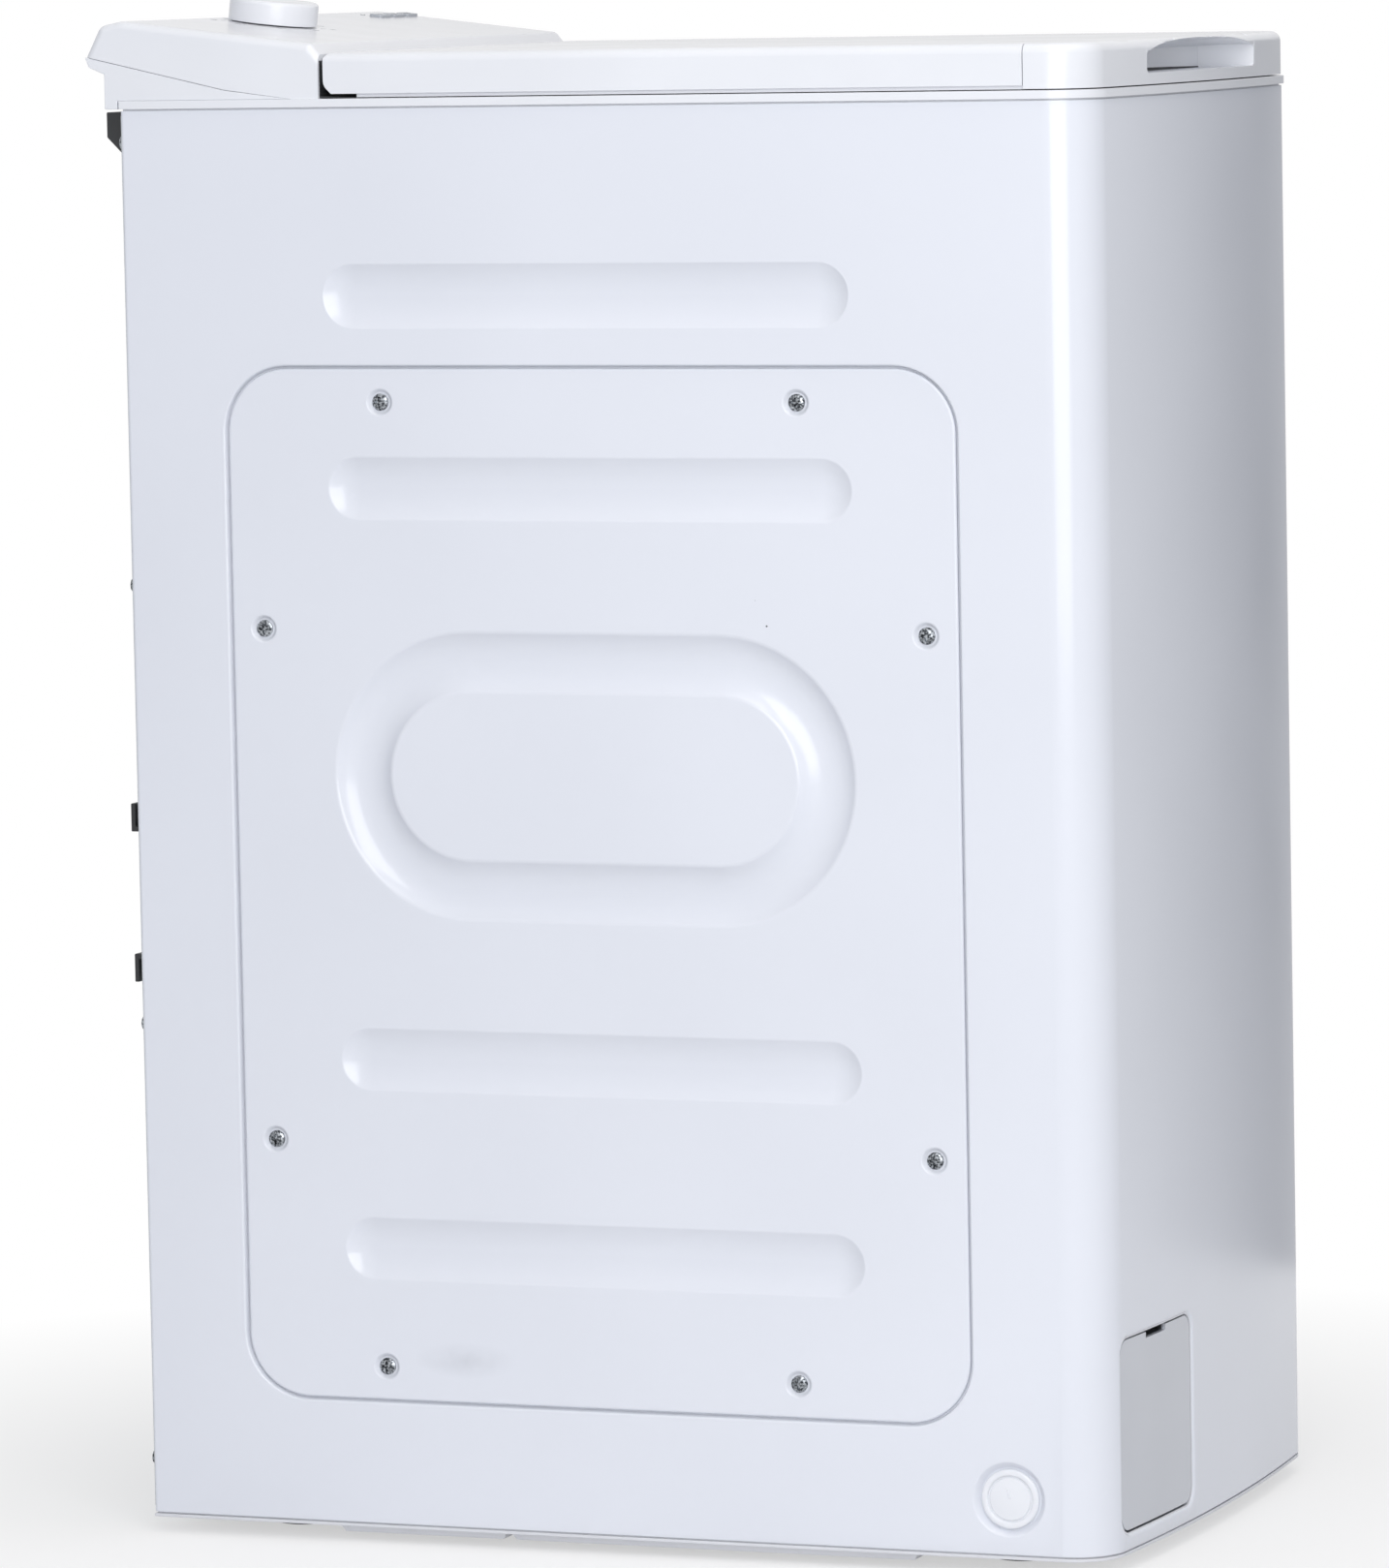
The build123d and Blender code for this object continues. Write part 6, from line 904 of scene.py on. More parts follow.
class DRYER_OT_turn_screws(Operator):
    """Make the service cover's domed, cross-recessed screw heads"""

    bl_idname = "dryer.turn_screws"
    bl_label = "Turn the cover screws"

    def execute(self, context):
        size = context.scene.dryer_sheet
        rings, sectors = 14, 36
        seat_x = COVER_LOW.x + size.dimple_depth
        slot_half, slot_reach, slot_depth = 0.75 * MM, 2.9 * MM, 1.2 * MM
        # An elliptic dome that ends in an upright rim of about 0.4 of its height
        dome_share = 0.82
        vertices = []
        faces = []
        for y, z in cover_screws(size):
            faces += turned_faces(len(vertices), rings + 1, sectors)
            vertices.append((seat_x - size.screw_dome + slot_depth, y, z))
            for ring in range(1, rings + 2):
                share = min(ring / rings, 1)
                radius = size.screw_head * share
                dome = size.screw_dome * sqrt(1 - dome_share * share ** 2) if ring <= rings else 0
                for sector in range(sectors):
                    turn = 2 * pi * sector / sectors
                    across, up = radius * cos(turn), radius * sin(turn)
                    inside = min(abs(across), abs(up)) < slot_half and max(abs(across), abs(up)) < slot_reach
                    vertices.append((seat_x - dome + (slot_depth if inside else 0), y + across, z + up))
        mesh = round_off(shell("cover_screw_heads", vertices, faces), 40)
        piece = new_piece("cover_screw_heads", mesh, blackened_steel, "cabinet")
        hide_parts("service_cover_screws")
        return {"FINISHED"}


class DRYER_OT_turn_plug(Operator):
    """Make the blanking plug: a rounded rim, a groove and a flat middle with a small raised tick"""

    bl_idname = "dryer.turn_plug"
    bl_label = "Make the blanking plug"

    def execute(self, context):
        low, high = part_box("side_plug")
        middle_y = (low.y + high.y) / 2
        middle_z = (low.z + high.z) / 2
        # Radius and depth in millimetres: the flat middle, the groove, the rounded rim and the side
        section = ((11.9, 0.5), (12.3, 0.62), (12.6, 1.0), (12.8, 1.6), (13.2, 1.7), (13.6, 1.6),
                   (13.8, 1.0), (14.0, 0.4), (14.4, 0.08), (14.9, 0.0), (16.2, 0.0), (16.9, 0.15),
                   (17.4, 0.6), (17.6, 1.2), (17.6, 2.4))
        sectors = 64
        vertices = [(low.x + section[0][1] * MM, middle_y, middle_z)]
        for radius, depth in section:
            for sector in range(sectors):
                turn = 2 * pi * sector / sectors
                vertices.append((low.x + depth * MM, middle_y + radius * MM * cos(turn),
                                 middle_z + radius * MM * sin(turn)))
        faces = turned_faces(0, len(section), sectors)
        # The tick leans a little and stands 0.5 mm proud of the middle; its foot is wider by the growth
        first = len(vertices)
        half, foot, tip = 0.5, 0.5, 6
        lean = radians(12)
        for depth, growth in ((0.6, 0.35), (0.0, 0.0)):
            wide, start, end = half + growth, foot - growth, tip + growth
            for across, up in ((-wide, start), (wide, start), (wide, end), (-wide, end)):
                vertices.append((low.x + depth * MM, middle_y + (across * cos(lean) + up * sin(lean)) * MM,
                                 middle_z + (up * cos(lean) - across * sin(lean)) * MM))
        sides = ((0, 1, 2, 3), (7, 6, 5, 4), (0, 4, 5, 1), (1, 5, 6, 2), (2, 6, 7, 3), (3, 7, 4, 0))
        faces += [tuple(first + at for at in side) for side in sides]
        mesh = round_off(shell("blanking_plug", vertices, faces), 35)
        piece = new_piece("blanking_plug", mesh, white_abs, "cabinet")
        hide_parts("side_plug")
        return {"FINISHED"}


def sunk_hatch(size):
    """The hatch's mesh with its face set inside the casing's, so that the opening's edge shows round it."""
    hatch = frame["nodes"]["front_hatch"].data.copy()
    bow = (SKIN_HIGH.x ** 2 + size.bow ** 2) / (2 * size.bow)
    face_depth = 0.7 * MM
    for vertex in hatch.vertices:
        casing_y = SKIN_LOW.y + bow - sqrt(bow ** 2 - vertex.co.x ** 2)
        if vertex.co.y - casing_y < face_depth:
            vertex.co.y += size.hatch_sink
    return hatch


class DRYER_OT_finish_sheet_metal(Operator):
    """Finish the galvanised sheets and the rear screws"""

    bl_idname = "dryer.finish_sheet_metal"
    bl_label = "Finish the sheet metal"

    def execute(self, context):
        dress(("rear_panel", "left_bulkhead", "right_bulkhead", "cross_rails", "motor_bracket"),
              galvanised_steel)
        ease(("rear_panel_screws",), blackened_steel, edge=0.3)
        return {"FINISHED"}


class DRYER_OT_finish_mouldings(Operator):
    """Finish the white and pale grey mouldings, the keys and the lenses"""

    bl_idname = "dryer.finish_mouldings"
    bl_label = "Finish the mouldings"

    def execute(self, context):
        ease(("lid_panel", "console_base", "console_fascia"), white_abs, edge=0.6)
        ease(("program_knob",), white_abs, edge=0.5)
        hatch = sunk_hatch(context.scene.dryer_sheet)
        # The hatch's finish is darkened as painted shade, to look as shaded as the front round it
        ease(("front_hatch",), sprayed_abs, edge=0.5, shaped=hatch)
        ease(("top_frame",), white_abs, edge=0.5)
        ease(("base_pan", "pump_filter_cap", "filter_bezel"), pale_grey_abs, edge=0.5)
        dress(("lid_liner", "loading_chute", "lid_hinge_posts"), pale_grey_abs)
        ease(("option_button_1", "option_button_2", "start_button"), grey_key_abs,
             edge=0.6)
        dress(("indicator_lenses",), smoky_acrylic)
        return {"FINISHED"}


class DRYER_OT_finish_fittings(Operator):
    """Finish the black fittings, the seal, the feet and the belt"""

    bl_idname = "dryer.finish_fittings"
    bl_label = "Finish the fittings"

    def execute(self, context):
        ease(("rear_terminal_cover", "rear_cable_hook", "mains_gland"), black_nylon,
             edge=0.6)
        dress(("selector_switch", "fan_housing", "fan_impeller", "air_inlet_duct", "air_return_duct",
               "condensate_pump"), black_nylon)
        ease(("foot_front_left", "foot_front_right", "foot_rear_left", "foot_rear_right"), moulded_rubber,
             edge=0.5)
        dress(("drive_belt", "lid_seal"), moulded_rubber)
        return {"FINISHED"}


class DRYER_OT_finish_drum(Operator):
    """Finish the drum with its shutter, lifters, felt and shafts"""

    bl_idname = "dryer.finish_drum"
    bl_label = "Finish the drum"

    def execute(self, context):
        dress(("drum_shell", "drum_left_end", "drum_right_end", "shutter_rails", "drum_shutter"),
              brushed_stainless)
        dress(("drum_lifters", "lint_filter"), grey_polypropylene)
        dress(("drum_felt_seals",), wool_felt)
        dress(("drum_shafts", "drum_bearings", "lid_hinge_pins"), ground_steel)
        dress(("drum_pulley",), cast_aluminium)
        return {"FINISHED"}


class DRYER_OT_finish_drive(Operator):
    """Finish the motor, heater, condenser and control board"""

    bl_idname = "dryer.finish_drive"
    bl_label = "Finish the drive and air path"

    def execute(self, context):
        dress(("motor_housing",), motor_enamel)
        dress(("motor_shaft", "motor_pulley", "heater"), ground_steel)
        dress(("condenser",), cast_aluminium)
        dress(("control_board",), board_laminate)
        return {"FINISHED"}


class Scoop:
    """Places and curves of the scoop under the lid's front lip."""

    def __init__(self, size):
        low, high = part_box("lid_handle_cap")
        self.size = size
        self.front = low.y
        self.top = high.z
        self.back = low.y + size.depth
        # The arch starts a little ahead of the back wall
        self.arch_back = self.back - 0.3 * MM
        self.roof = high.z - size.roof

    def stations(self):
        """Places along the lip, closer together near its ends, each with its share of the arch's rise."""
        count = 60
        for station in range(count + 1):
            x = self.size.half * sin(pi * (station / count - 0.5))
            yield x, sqrt(max(1 - (abs(x) / self.size.half) ** 2.2, 0))

    def arch_at(self, share, y):
        """Height of the arched roof, which rises to the front, for a share of its rise."""
        rise = self.size.rise + self.size.slope * (self.arch_back - y)
        return self.roof - self.size.spring + share * rise

    def front_at(self, x):
        """Where the lid's bowed front stands."""
        return self.front + self.size.bow - sqrt(self.size.bow ** 2 - x ** 2)

    def skin_at(self, x, y):
        """Height of the lid's top, with its rounded front edge."""
        over = max(self.front_at(x) + self.size.fillet - y, 0)
        return self.top - self.size.fillet + sqrt(self.size.fillet ** 2 - over ** 2)


class DRYER_OT_shape_handle(Operator):
    """Arch the lip over the lid's scoop, and round the scoop's two ends"""

    bl_idname = "dryer.shape_handle"
    bl_label = "Shape the lid's handle"

    def execute(self, context):
        scoop = Scoop(context.scene.dryer_handle)
        mesh = carve(self.eased_cap(scoop), self.cutter(scoop))
        work = bmesh.new()
        work.from_mesh(mesh)
        bmesh.ops.remove_doubles(work, verts=work.verts, dist=0.06 * MM)
        bmesh.ops.dissolve_degenerate(work, edges=work.edges, dist=0.03 * MM)
        work.to_mesh(mesh)
        work.free()
        piece = new_piece("arched_handle_cap", round_off(mesh), white_abs, "lid")
        piece.modifiers.new("flat_faces", "WEIGHTED_NORMAL").keep_sharp = True
        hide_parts("lid_handle_cap")
        self.add_roof(scoop)
        self.add_cheeks(scoop)
        return {"FINISHED"}

    def cutter(self, scoop):
        """The arch as a solid that reaches out of the front; the rest of it stays inside the open scoop."""
        vertices = []
        foot_z = scoop.roof - 7.3 * MM
        for x, share in scoop.stations():
            for y in (scoop.back - 34 * MM, scoop.arch_back):
                vertices += [(x, y, foot_z), (x, y, scoop.arch_at(share, y))]
        last = len(vertices) - 4
        faces = [(0, 2, 3, 1), (last + 1, last + 3, last + 2, last)]
        for here in range(0, last, 4):
            for a, b in ((0, 1), (1, 3), (3, 2), (2, 0)):
                faces.append((here + a, here + b, here + 4 + b, here + 4 + a))
        return shell("scoop_cutter", vertices, faces)

    def eased_cap(self, scoop):
        """The cap's mesh; its scoop's surround, a little proud of the bowed front, is eased back to it."""
        fillet = scoop.size.fillet
        reach_x, reach_y = scoop.size.half + 3.1 * MM, scoop.front + 3.7 * MM
        low_z, high_z = scoop.top - 22 * MM, scoop.top - 4 * MM
        work = bmesh.new()
        work.from_mesh(frame["nodes"]["lid_handle_cap"].data)
        for vertex in work.verts:
            x, y, z = vertex.co
            if abs(x) < reach_x and y < reach_y and low_z < z < high_z:
                over = max(z - scoop.top + fillet, 0)
                vertex.co.y = max(y, scoop.front_at(x) + fillet - sqrt(fillet ** 2 - over ** 2))
        bmesh.ops.remove_doubles(work, verts=work.verts, dist=0.03 * MM)
        bmesh.ops.dissolve_degenerate(work, edges=work.edges, dist=0.02 * MM)
        whole = bpy.data.meshes.new("whole_cap")
        work.to_mesh(whole)
        work.free()
        return whole

    def add_roof(self, scoop):
        """A thin roof that follows the arch from the lip to the scoop's back, inside the hollow cap."""
        rows = 8
        lip, room, pace = 1.2 * MM, 0.9 * MM, 0.1 * MM
        lift, thickness = 0.05 * MM, 0.4 * MM
        end_y = scoop.back + 0.3 * MM
        vertices = []
        for x, share in scoop.stations():
            # Walk in from the front until the roof has room under the lid's skin
            y = scoop.front_at(x) + lip
            while scoop.arch_at(share, y) > scoop.skin_at(x, y) - room:
                y += pace
            for row in range(rows + 1):
                at = y + (end_y - y) * row / rows
                z = max(scoop.arch_at(share, at), scoop.roof) + lift
                vertices += [(x, at, z), (x, at, z + thickness)]
        step = 2 * (rows + 1)
        last = len(vertices) - step
        outline = [2 * row for row in range(rows + 1)] + [2 * row + 1 for row in reversed(range(rows + 1))]
        faces = [tuple(outline), tuple(last + at for at in reversed(outline))]
        for here in range(0, last, step):
            for a, b in zip(outline, outline[1:] + outline[:1]):
                faces.append((here + a, here + step + a, here + step + b, here + b))
        mesh = round_off(shell("scoop_roof", vertices, faces))
        new_piece("scoop_roof", mesh, white_abs, "lid")

    def add_cheeks(self, scoop):
        """Curved walls that lead from the scoop's back to its two ends."""
        vertices = []
        faces = []
        steps = 16
        reach = 22.9 * MM
        end_x = scoop.size.half + 0.5 * MM
        behind = scoop.back + 0.4 * MM
        for side in (-1, 1):
            plan = []
            for step in range(steps + 1):
                share = step / steps
                plan.append((side * (scoop.size.half - scoop.size.cheek * (1 - share)),
                             scoop.back - 0.05 * MM - reach * (0.45 * share + 0.55 * share ** 2.5)))
            plan += [(side * end_x, plan[-1][1]), (side * end_x, behind), (plan[0][0], behind)]
            first = len(vertices)
            count = len(plan)
            for z in (scoop.top - scoop.size.floor, scoop.roof + 2.1 * MM):
                vertices += [(x, y, z) for x, y in plan]
            around = [first + at for at in range(count)]
            for here, beside in zip(around, around[1:] + around[:1]):
                faces.append((here, beside, beside + count, here + count))
            faces += [tuple(reversed(around)), tuple(at + count for at in around)]
        mesh = round_off(shell("scoop_cheeks", vertices, faces))
        new_piece("scoop_cheeks", mesh, white_abs, "lid")


def extrude_strip(name, ends, low_x, high_x, maker, body):
    """A long strip along X, with a closed section of Y and Z at each of its two ends."""
    near, far = ends
    count = len(near)
    mesh = bpy.data.meshes.new(name)
    vertices = [(low_x, y, z) for y, z in near] + [(high_x, y, z) for y, z in far]
    faces = [(at, at + count, (at + 1) % count + count, (at + 1) % count) for at in range(count)]
    faces += [tuple(range(count)), tuple(reversed(range(count, 2 * count)))]
    mesh.from_pydata(vertices, [], faces)
    mesh.validate()
    return new_piece(name, mesh, maker, body)


class DRYER_OT_line_gaps(Operator):
    """Put dark rubber as painted shade in the gap behind the lid and in the slot at the back of the lid's
    scoop
    """

    bl_idname = "dryer.line_gaps"
    bl_label = "Line the dark gaps"

    def execute(self, context):
        self.add_strip()
        self.add_slot()
        return {"FINISHED"}

    def add_strip(self):
        """A ribbed dark rubber strip on the console's front wall, put there as painted shade so that the gap
        behind the lid looks dark, with a thin foot that is clear of the lid's swing.
        """
        lid_low, lid_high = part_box("lid_panel")
        wall_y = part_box("console_fascia")[0].y - 0.02 * MM
        low_z = lid_low.z - 2.4 * MM
        top_z = low_z + 22 * MM
        foot_y = wall_y - 28 * MM
        section = [(wall_y, low_z), (foot_y, low_z), (foot_y, low_z + 0.35 * MM),
                   (wall_y - 4 * MM, low_z + 0.8 * MM), (wall_y - 0.5 * MM, low_z + 1.1 * MM)]
        valley_y, crest_y = wall_y - 0.15 * MM, wall_y - 0.35 * MM
        for rib in range(11):
            rib_z = low_z + (1.3 + rib * 1.9) * MM
            section += [(valley_y, rib_z), (crest_y, rib_z + 0.6 * MM), (crest_y, rib_z + 1.2 * MM)]
        section += [(valley_y, top_z), (wall_y, top_z)]
        half = lid_high.x - 2 * MM
        ends = (section, section)
        # The dark rubber is painted shade for the gap behind the lid
        extrude_strip("lid_gap_shade_strip", ends, -half, half, moulded_rubber, "cabinet")

    def add_slot(self):
        """A dark rubber wedge along the foot of the scoop's back wall, as painted shadow in the slot there,
        which narrows to the right.
        """
        low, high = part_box("lid_handle_cap")
        back_y = low.y + 25.68 * MM
        foot_z = high.z - 19.4 * MM
        half = 66 * MM
        ends = []
        for deep, front_rise, back_rise in ((0.5, 1.6, 2.2), (0.3, 0.5, 0.7)):
            front_y = back_y - deep * MM
            ends.append([(back_y, foot_z), (front_y, foot_z), (front_y, foot_z + front_rise * MM),
                         (back_y, foot_z + back_rise * MM)])
        # The dark rubber is painted shadow for the slot at the foot of the scoop's back wall
        extrude_strip("scoop_shadow_slot", ends, -half, half, moulded_rubber, "lid")


def joint_place(name):
    """A joint's place and the way of its axis."""
    joint = next(joint for joint in frame["record"]["behaviour"]["joints"] if joint["name"] == name)
    return Vector(joint["pos_m"]), Vector(joint["axis"])


def facet():
    """The dial's plane: its X along the console, its Y up the slope and its origin at the knob's middle."""
    middle, away = joint_place("knob_turn")
    along = Vector((1, 0, 0))
    return Matrix.Translation(middle) @ Matrix((along, away.cross(along), away)).transposed().to_4x4()


def top_of(node, plane):
    """How far a node reaches out of a plane."""
    flat = plane.inverted()
    return max((flat @ vertex.co).z for vertex in frame["nodes"][node].data.vertices)


def print_marks(name, plane, strokes, numbers, body):
    """Thin ink on a plane: strokes (x, y, turn, length, width) and numbers (x, y, height, digit)."""
    ink = 0.05 * MM
    # The height of a digit as a share of its font's size
    digit_share = 0.7
    work = bmesh.new()
    for x, y, turn, long, wide in strokes:
        spot = Matrix.Translation((x, y, ink / 2)) @ Matrix.Rotation(turn, 4, "Z")
        spot = spot @ Matrix.Diagonal((wide, long, ink, 1))
        corners = [work.verts.new(plane @ spot @ Vector((side_x / 2, side_y / 2, side_z / 2)))
                   for side_z in (-1, 1) for side_x, side_y in ((-1, -1), (1, -1), (1, 1), (-1, 1))]
        for face in ((3, 2, 1, 0), (4, 5, 6, 7), (0, 1, 5, 4), (1, 2, 6, 5), (2, 3, 7, 6), (3, 0, 4, 7)):
            work.faces.new([corners[at] for at in face])
    for x, y, height, digit in numbers:
        letter = bpy.data.curves.new("digit", "FONT")
        letter.body = digit
        letter.size = height / digit_share
        letter.align_x = "CENTER"
        letter.align_y = "CENTER"
        letter.extrude = ink / 2
        holder = bpy.data.objects.new("digit", letter)
        flat = bpy.data.meshes.new_from_object(holder)
        flat.transform(plane @ Matrix.Translation((x, y, ink / 2)))
        work.from_mesh(flat)
        bpy.data.objects.remove(holder)
        bpy.data.curves.remove(letter)
        bpy.data.meshes.remove(flat)
    bmesh.ops.remove_doubles(work, verts=work.verts, dist=0.002 * MM)
    mesh = bpy.data.meshes.new(name)
    work.to_mesh(mesh)
    work.free()
    return new_piece(name, mesh, dial_ink, body)


class DRYER_OT_print_dial(Operator):
    """Print the plain numbers and strokes round the knob, and the knob's own pointer"""

    bl_idname = "dryer.print_dial"
    bl_label = "Print the dial"

    def execute(self, context):
        plane = facet()
        stroke_ring, stroke_long = 31 * MM, 3.4 * MM
        number_ring, number_high = 37 * MM, 4.2 * MM
        # The off place is a broader stroke
        strokes = [(0, stroke_ring, 0, stroke_long, 1.6 * MM)]
        numbers = []
        for mark in range(1, 9):
            angle = radians(40 * mark)
            across, up = sin(angle), cos(angle)
            strokes.append((stroke_ring * across, stroke_ring * up, -angle, stroke_long, 0.7 * MM))
            numbers.append((number_ring * across, number_ring * up, number_high, str(mark)))
        print_marks("dial_marks", plane, strokes, numbers, "cabinet")
        crown = plane @ Matrix.Translation((0, 0, top_of("program_knob", plane)))
        print_marks("knob_pointer", crown, [(0, 17 * MM, 0, 9 * MM, 1.6 * MM)], [], "knob")
        return {"FINISHED"}


class DRYER_OT_print_keys(Operator):
    """Print plain bars on the three keys"""

    bl_idname = "dryer.print_keys"
    bl_label = "Print the keys"

    def execute(self, context):
        plane = facet()
        pitch = 2.2 * MM
        for node, body, bars in (("option_button_1", "button_1", 1), ("option_button_2", "button_2", 2),
                                 ("start_button", "button_start", 3)):
            low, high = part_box(node)
            middle = plane.inverted() @ ((low + high) / 2)
            crown = plane @ Matrix.Translation((middle.x, middle.y, top_of(node, plane)))
            strokes = [((bar - (bars - 1) / 2) * pitch, 0, 0, 3.6 * MM, 0.8 * MM) for bar in range(bars)]
            print_marks(node + "_bars", crown, strokes, [], body)
        return {"FINISHED"}


class DRYER_OT_set_stage(Operator):
    """Set the pale floor, the soft light and the camera"""

    bl_idname = "dryer.set_stage"
    bl_label = "Set the stage"

    def execute(self, context):
        studio = context.scene.dryer_studio
        scene = context.scene
        scene.view_settings.view_transform = "Standard"
        self.add_floor()
        self.add_world(scene, studio)
        self.add_box_light("key_box", place=(-2.0, -0.95, 1.3), aim=(-0.1, -0.1, 0.5), width=1.4, height=2.0,
                           power=studio.key, colour="FFFFFF")
        self.add_box_light("overhead_box", place=(-0.4, -0.6, 2.8), aim=(0, 0, 0.7), width=1.6, height=1.6,
                           power=studio.top, colour="FFF6EA")
        self.add_camera(scene, studio)
        return {"FINISHED"}

    def add_floor(self):
        """A pale floor that is white to the eye further out and keeps the shadow close in."""
        mesh = bpy.data.meshes.new("studio_floor")
        reach = 1.0
        corners = [(-reach, -reach, 0), (reach, -reach, 0), (reach, reach, 0), (-reach, reach, 0)]
        mesh.from_pydata(corners, [], [(0, 1, 2, 3)])
        material = bpy.data.materials.new("studio_paper")
        material.use_nodes = True
        tree = material.node_tree
        tree.nodes.clear()
        paper = add_node(tree, "ShaderNodeBsdfDiffuse", {"Color": linear("F2F2F2")})
        white = add_node(tree, "ShaderNodeEmission", {"Color": (1, 1, 1, 1), "Strength": 1.0})
        place = add_node(tree, "ShaderNodeTexCoord").outputs["Object"]
        away = add_node(tree, "ShaderNodeVectorMath", {0: place}, operation="LENGTH")
        fade = add_node(tree, "ShaderNodeMapRange", {
            "Value": away.outputs["Value"], "From Min": 0.3, "From Max": 0.9, "To Min": 0.55,
            "To Max": 1.0})
        share = add_node(tree, "ShaderNodeMath", {
            0: self.seen(tree), 1: fade.outputs["Result"]}, operation="MULTIPLY")
        both = add_node(tree, "ShaderNodeMixShader", {
            0: share.outputs[0], 1: paper.outputs[0], 2: white.outputs[0]})
        add_node(tree, "ShaderNodeOutputMaterial", {"Surface": both.outputs[0]})
        mesh.materials.append(material)
        floor = bpy.data.objects.new("studio_floor", mesh)
        bpy.context.scene.collection.objects.link(floor)

    def seen(self, tree):
        """Whether a ray comes from the eye, straight, mirrored or through glass."""
        path = add_node(tree, "ShaderNodeLightPath").outputs
        bent = add_node(tree, "ShaderNodeMath", {
            0: path["Is Glossy Ray"], 1: path["Is Transmission Ray"]}, operation="MAXIMUM")
        return add_node(tree, "ShaderNodeMath", {
            0: path["Is Camera Ray"], 1: bent.outputs[0]}, operation="MAXIMUM").outputs[0]

    def add_world(self, scene, studio):
        """An even fill for the surfaces, and white where the eye meets the background."""
        world = bpy.data.worlds.new("studio_fill")
        world.use_nodes = True
        scene.world = world
        tree = world.node_tree
        tree.nodes.clear()
        way = add_node(tree, "ShaderNodeTexCoord").outputs["Generated"]
        parts = add_node(tree, "ShaderNodeSeparateXYZ", {0: way}).outputs
        # The fill is a little weaker from the right, and a low band at the far right is dark when mirrored
        side = add_node(tree, "ShaderNodeMapRange", {
            "Value": parts["X"], "From Min": -0.3, "From Max": 0.2, "To Min": studio.sky,
            "To Max": 0.84 * studio.sky})
        end = add_node(tree, "ShaderNodeMapRange", {
            "Value": parts["X"], "From Min": 0.87, "From Max": 0.98, "To Min": 0.0, "To Max": 0.95})
        past = add_node(tree, "ShaderNodeMapRange", {
            "Value": parts["Y"], "From Min": -0.17, "From Max": -0.125, "To Min": 1.0, "To Max": 0.4})
        band = add_node(tree, "ShaderNodeMath", {
            0: end.outputs["Result"], 1: past.outputs["Result"]}, operation="MULTIPLY")
        low = add_node(tree, "ShaderNodeMapRange", {
            "Value": parts["Z"], "From Min": 0.17, "From Max": 0.08})
        dark = add_node(tree, "ShaderNodeMath", {
            0: band.outputs[0], 1: low.outputs["Result"]}, operation="MULTIPLY")
        mirrored = add_node(tree, "ShaderNodeLightPath").outputs["Is Glossy Ray"]
        loss = add_node(tree, "ShaderNodeMath", {0: dark.outputs[0], 1: mirrored}, operation="MULTIPLY")
        left = add_node(tree, "ShaderNodeMath", {0: 1.0, 1: loss.outputs[0]}, operation="SUBTRACT")
        fill = add_node(tree, "ShaderNodeBackground", {
            "Color": linear("F1F4FB"), "Strength": side.outputs["Result"]})
        white = add_node(tree, "ShaderNodeBackground", {"Color": (1, 1, 1, 1), "Strength": left.outputs[0]})
        both = add_node(tree, "ShaderNodeMixShader", {
            0: self.seen(tree), 1: fill.outputs[0], 2: white.outputs[0]})
        add_node(tree, "ShaderNodeOutputWorld", {"Surface": both.outputs[0]})

    def add_box_light(self, name, place, aim, width, height, power, colour):
        """A soft box that faces its aim."""
        light = bpy.data.lights.new(name, "AREA")
        light.shape = "RECTANGLE"
        light.size = width
        light.size_y = height
        light.energy = power
        light.color = linear(colour)[:3]
        lamp = bpy.data.objects.new(name, light)
        lamp.location = place
        lamp.rotation_euler = (Vector(aim) - Vector(place)).to_track_quat("-Z", "Y").to_euler()
        bpy.context.scene.collection.objects.link(lamp)

    def add_camera(self, scene, studio):
        """A camera that is turned, tilted and rolled in that order."""
        camera = bpy.data.objects.new("photo_camera", bpy.data.cameras.new("photo_camera"))
        scene.collection.objects.link(camera)
        camera.data.sensor_width = 36
        camera.data.lens = studio.lens
        level_share = cos(studio.pitch)
        ahead = Vector((cos(studio.yaw) * level_share, sin(studio.yaw) * level_share, sin(studio.pitch)))
        level = ahead.cross(Vector((0, 0, 1))).normalized()
        upright = level.cross(ahead)
        right = cos(studio.roll) * level + sin(studio.roll) * upright
        above = cos(studio.roll) * upright - sin(studio.roll) * level
        turn = Matrix((right, above, -ahead)).transposed().to_4x4()
        camera.matrix_world = Matrix.Translation(studio.place) @ turn
        scene.camera = camera


STEPS = (
    DRYER_OT_press_casing,
    DRYER_OT_press_cover,
    DRYER_OT_turn_screws,
    DRYER_OT_turn_plug,
    DRYER_OT_finish_sheet_metal,
    DRYER_OT_finish_mouldings,
    DRYER_OT_finish_fittings,
    DRYER_OT_finish_drum,
    DRYER_OT_finish_drive,
    DRYER_OT_shape_handle,
    DRYER_OT_line_gaps,
    DRYER_OT_print_dial,
    DRYER_OT_print_keys,
    DRYER_OT_set_stage,
)


class DRYER_PT_steps(Panel):
    """Lists the steps in order"""

    bl_label = "Dryer"
    bl_space_type = "VIEW_3D"
    bl_region_type = "UI"
    bl_category = "Dryer"

    def draw(self, context):
        for step in STEPS:
            self.layout.operator(step.bl_idname)


GROUPS = (DryerSheetSizes, DryerHandleSizes, DryerColours, DryerStudio)


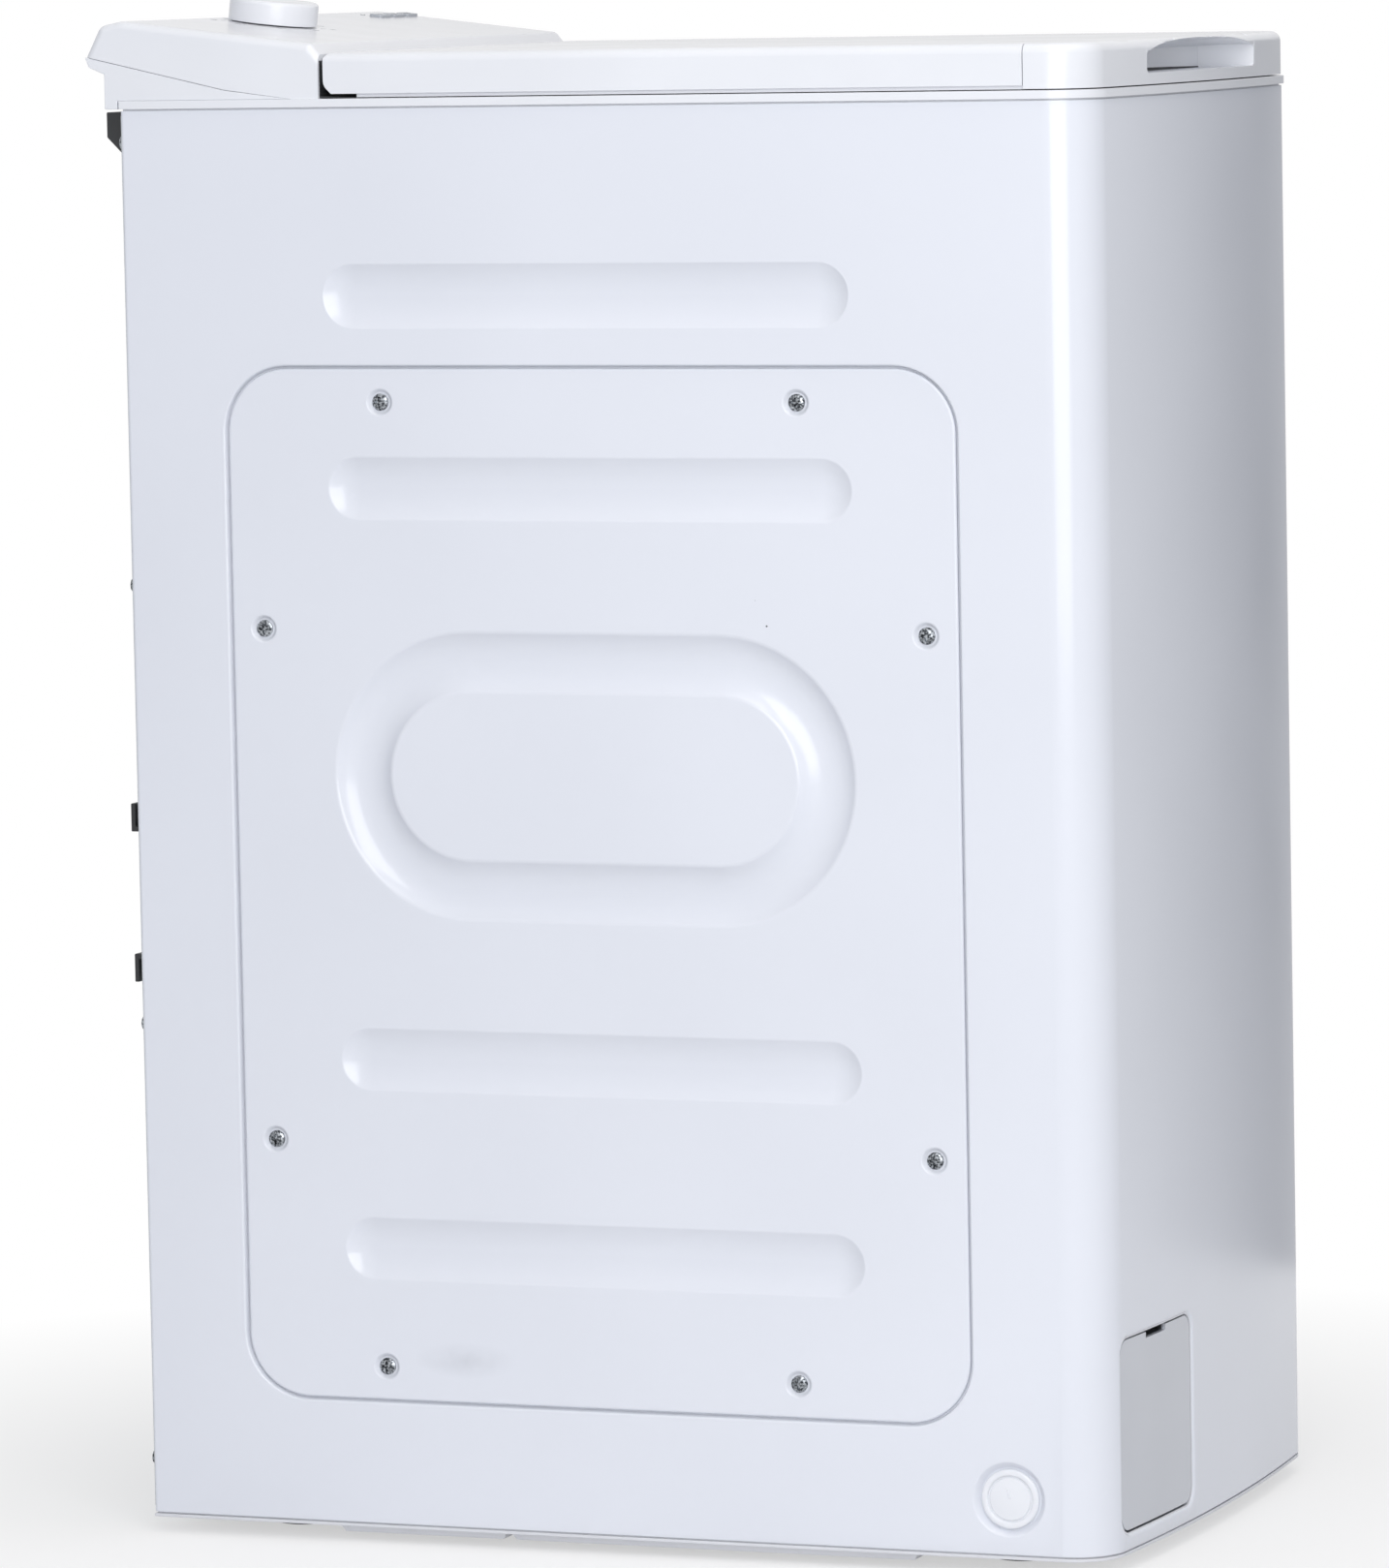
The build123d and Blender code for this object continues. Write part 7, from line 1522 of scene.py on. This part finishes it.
def register():
    """Make the settings, the steps and the panel known to Blender."""
    for kind in (*GROUPS, *STEPS, DRYER_PT_steps):
        bpy.utils.register_class(kind)
    bpy.types.Scene.dryer_sheet = PointerProperty(type=DryerSheetSizes)
    bpy.types.Scene.dryer_handle = PointerProperty(type=DryerHandleSizes)
    bpy.types.Scene.dryer_colours = PointerProperty(type=DryerColours)
    bpy.types.Scene.dryer_studio = PointerProperty(type=DryerStudio)


def unregister():
    """Take them away again, in the opposite order."""
    del bpy.types.Scene.dryer_studio
    del bpy.types.Scene.dryer_colours
    del bpy.types.Scene.dryer_handle
    del bpy.types.Scene.dryer_sheet
    for kind in reversed((*GROUPS, *STEPS, DRYER_PT_steps)):
        bpy.utils.unregister_class(kind)


def main():
    register()
    for step in STEPS:
        family, name = step.bl_idname.split(".")
        getattr(getattr(bpy.ops, family), name)()


if __name__ == "__main__":
    main()
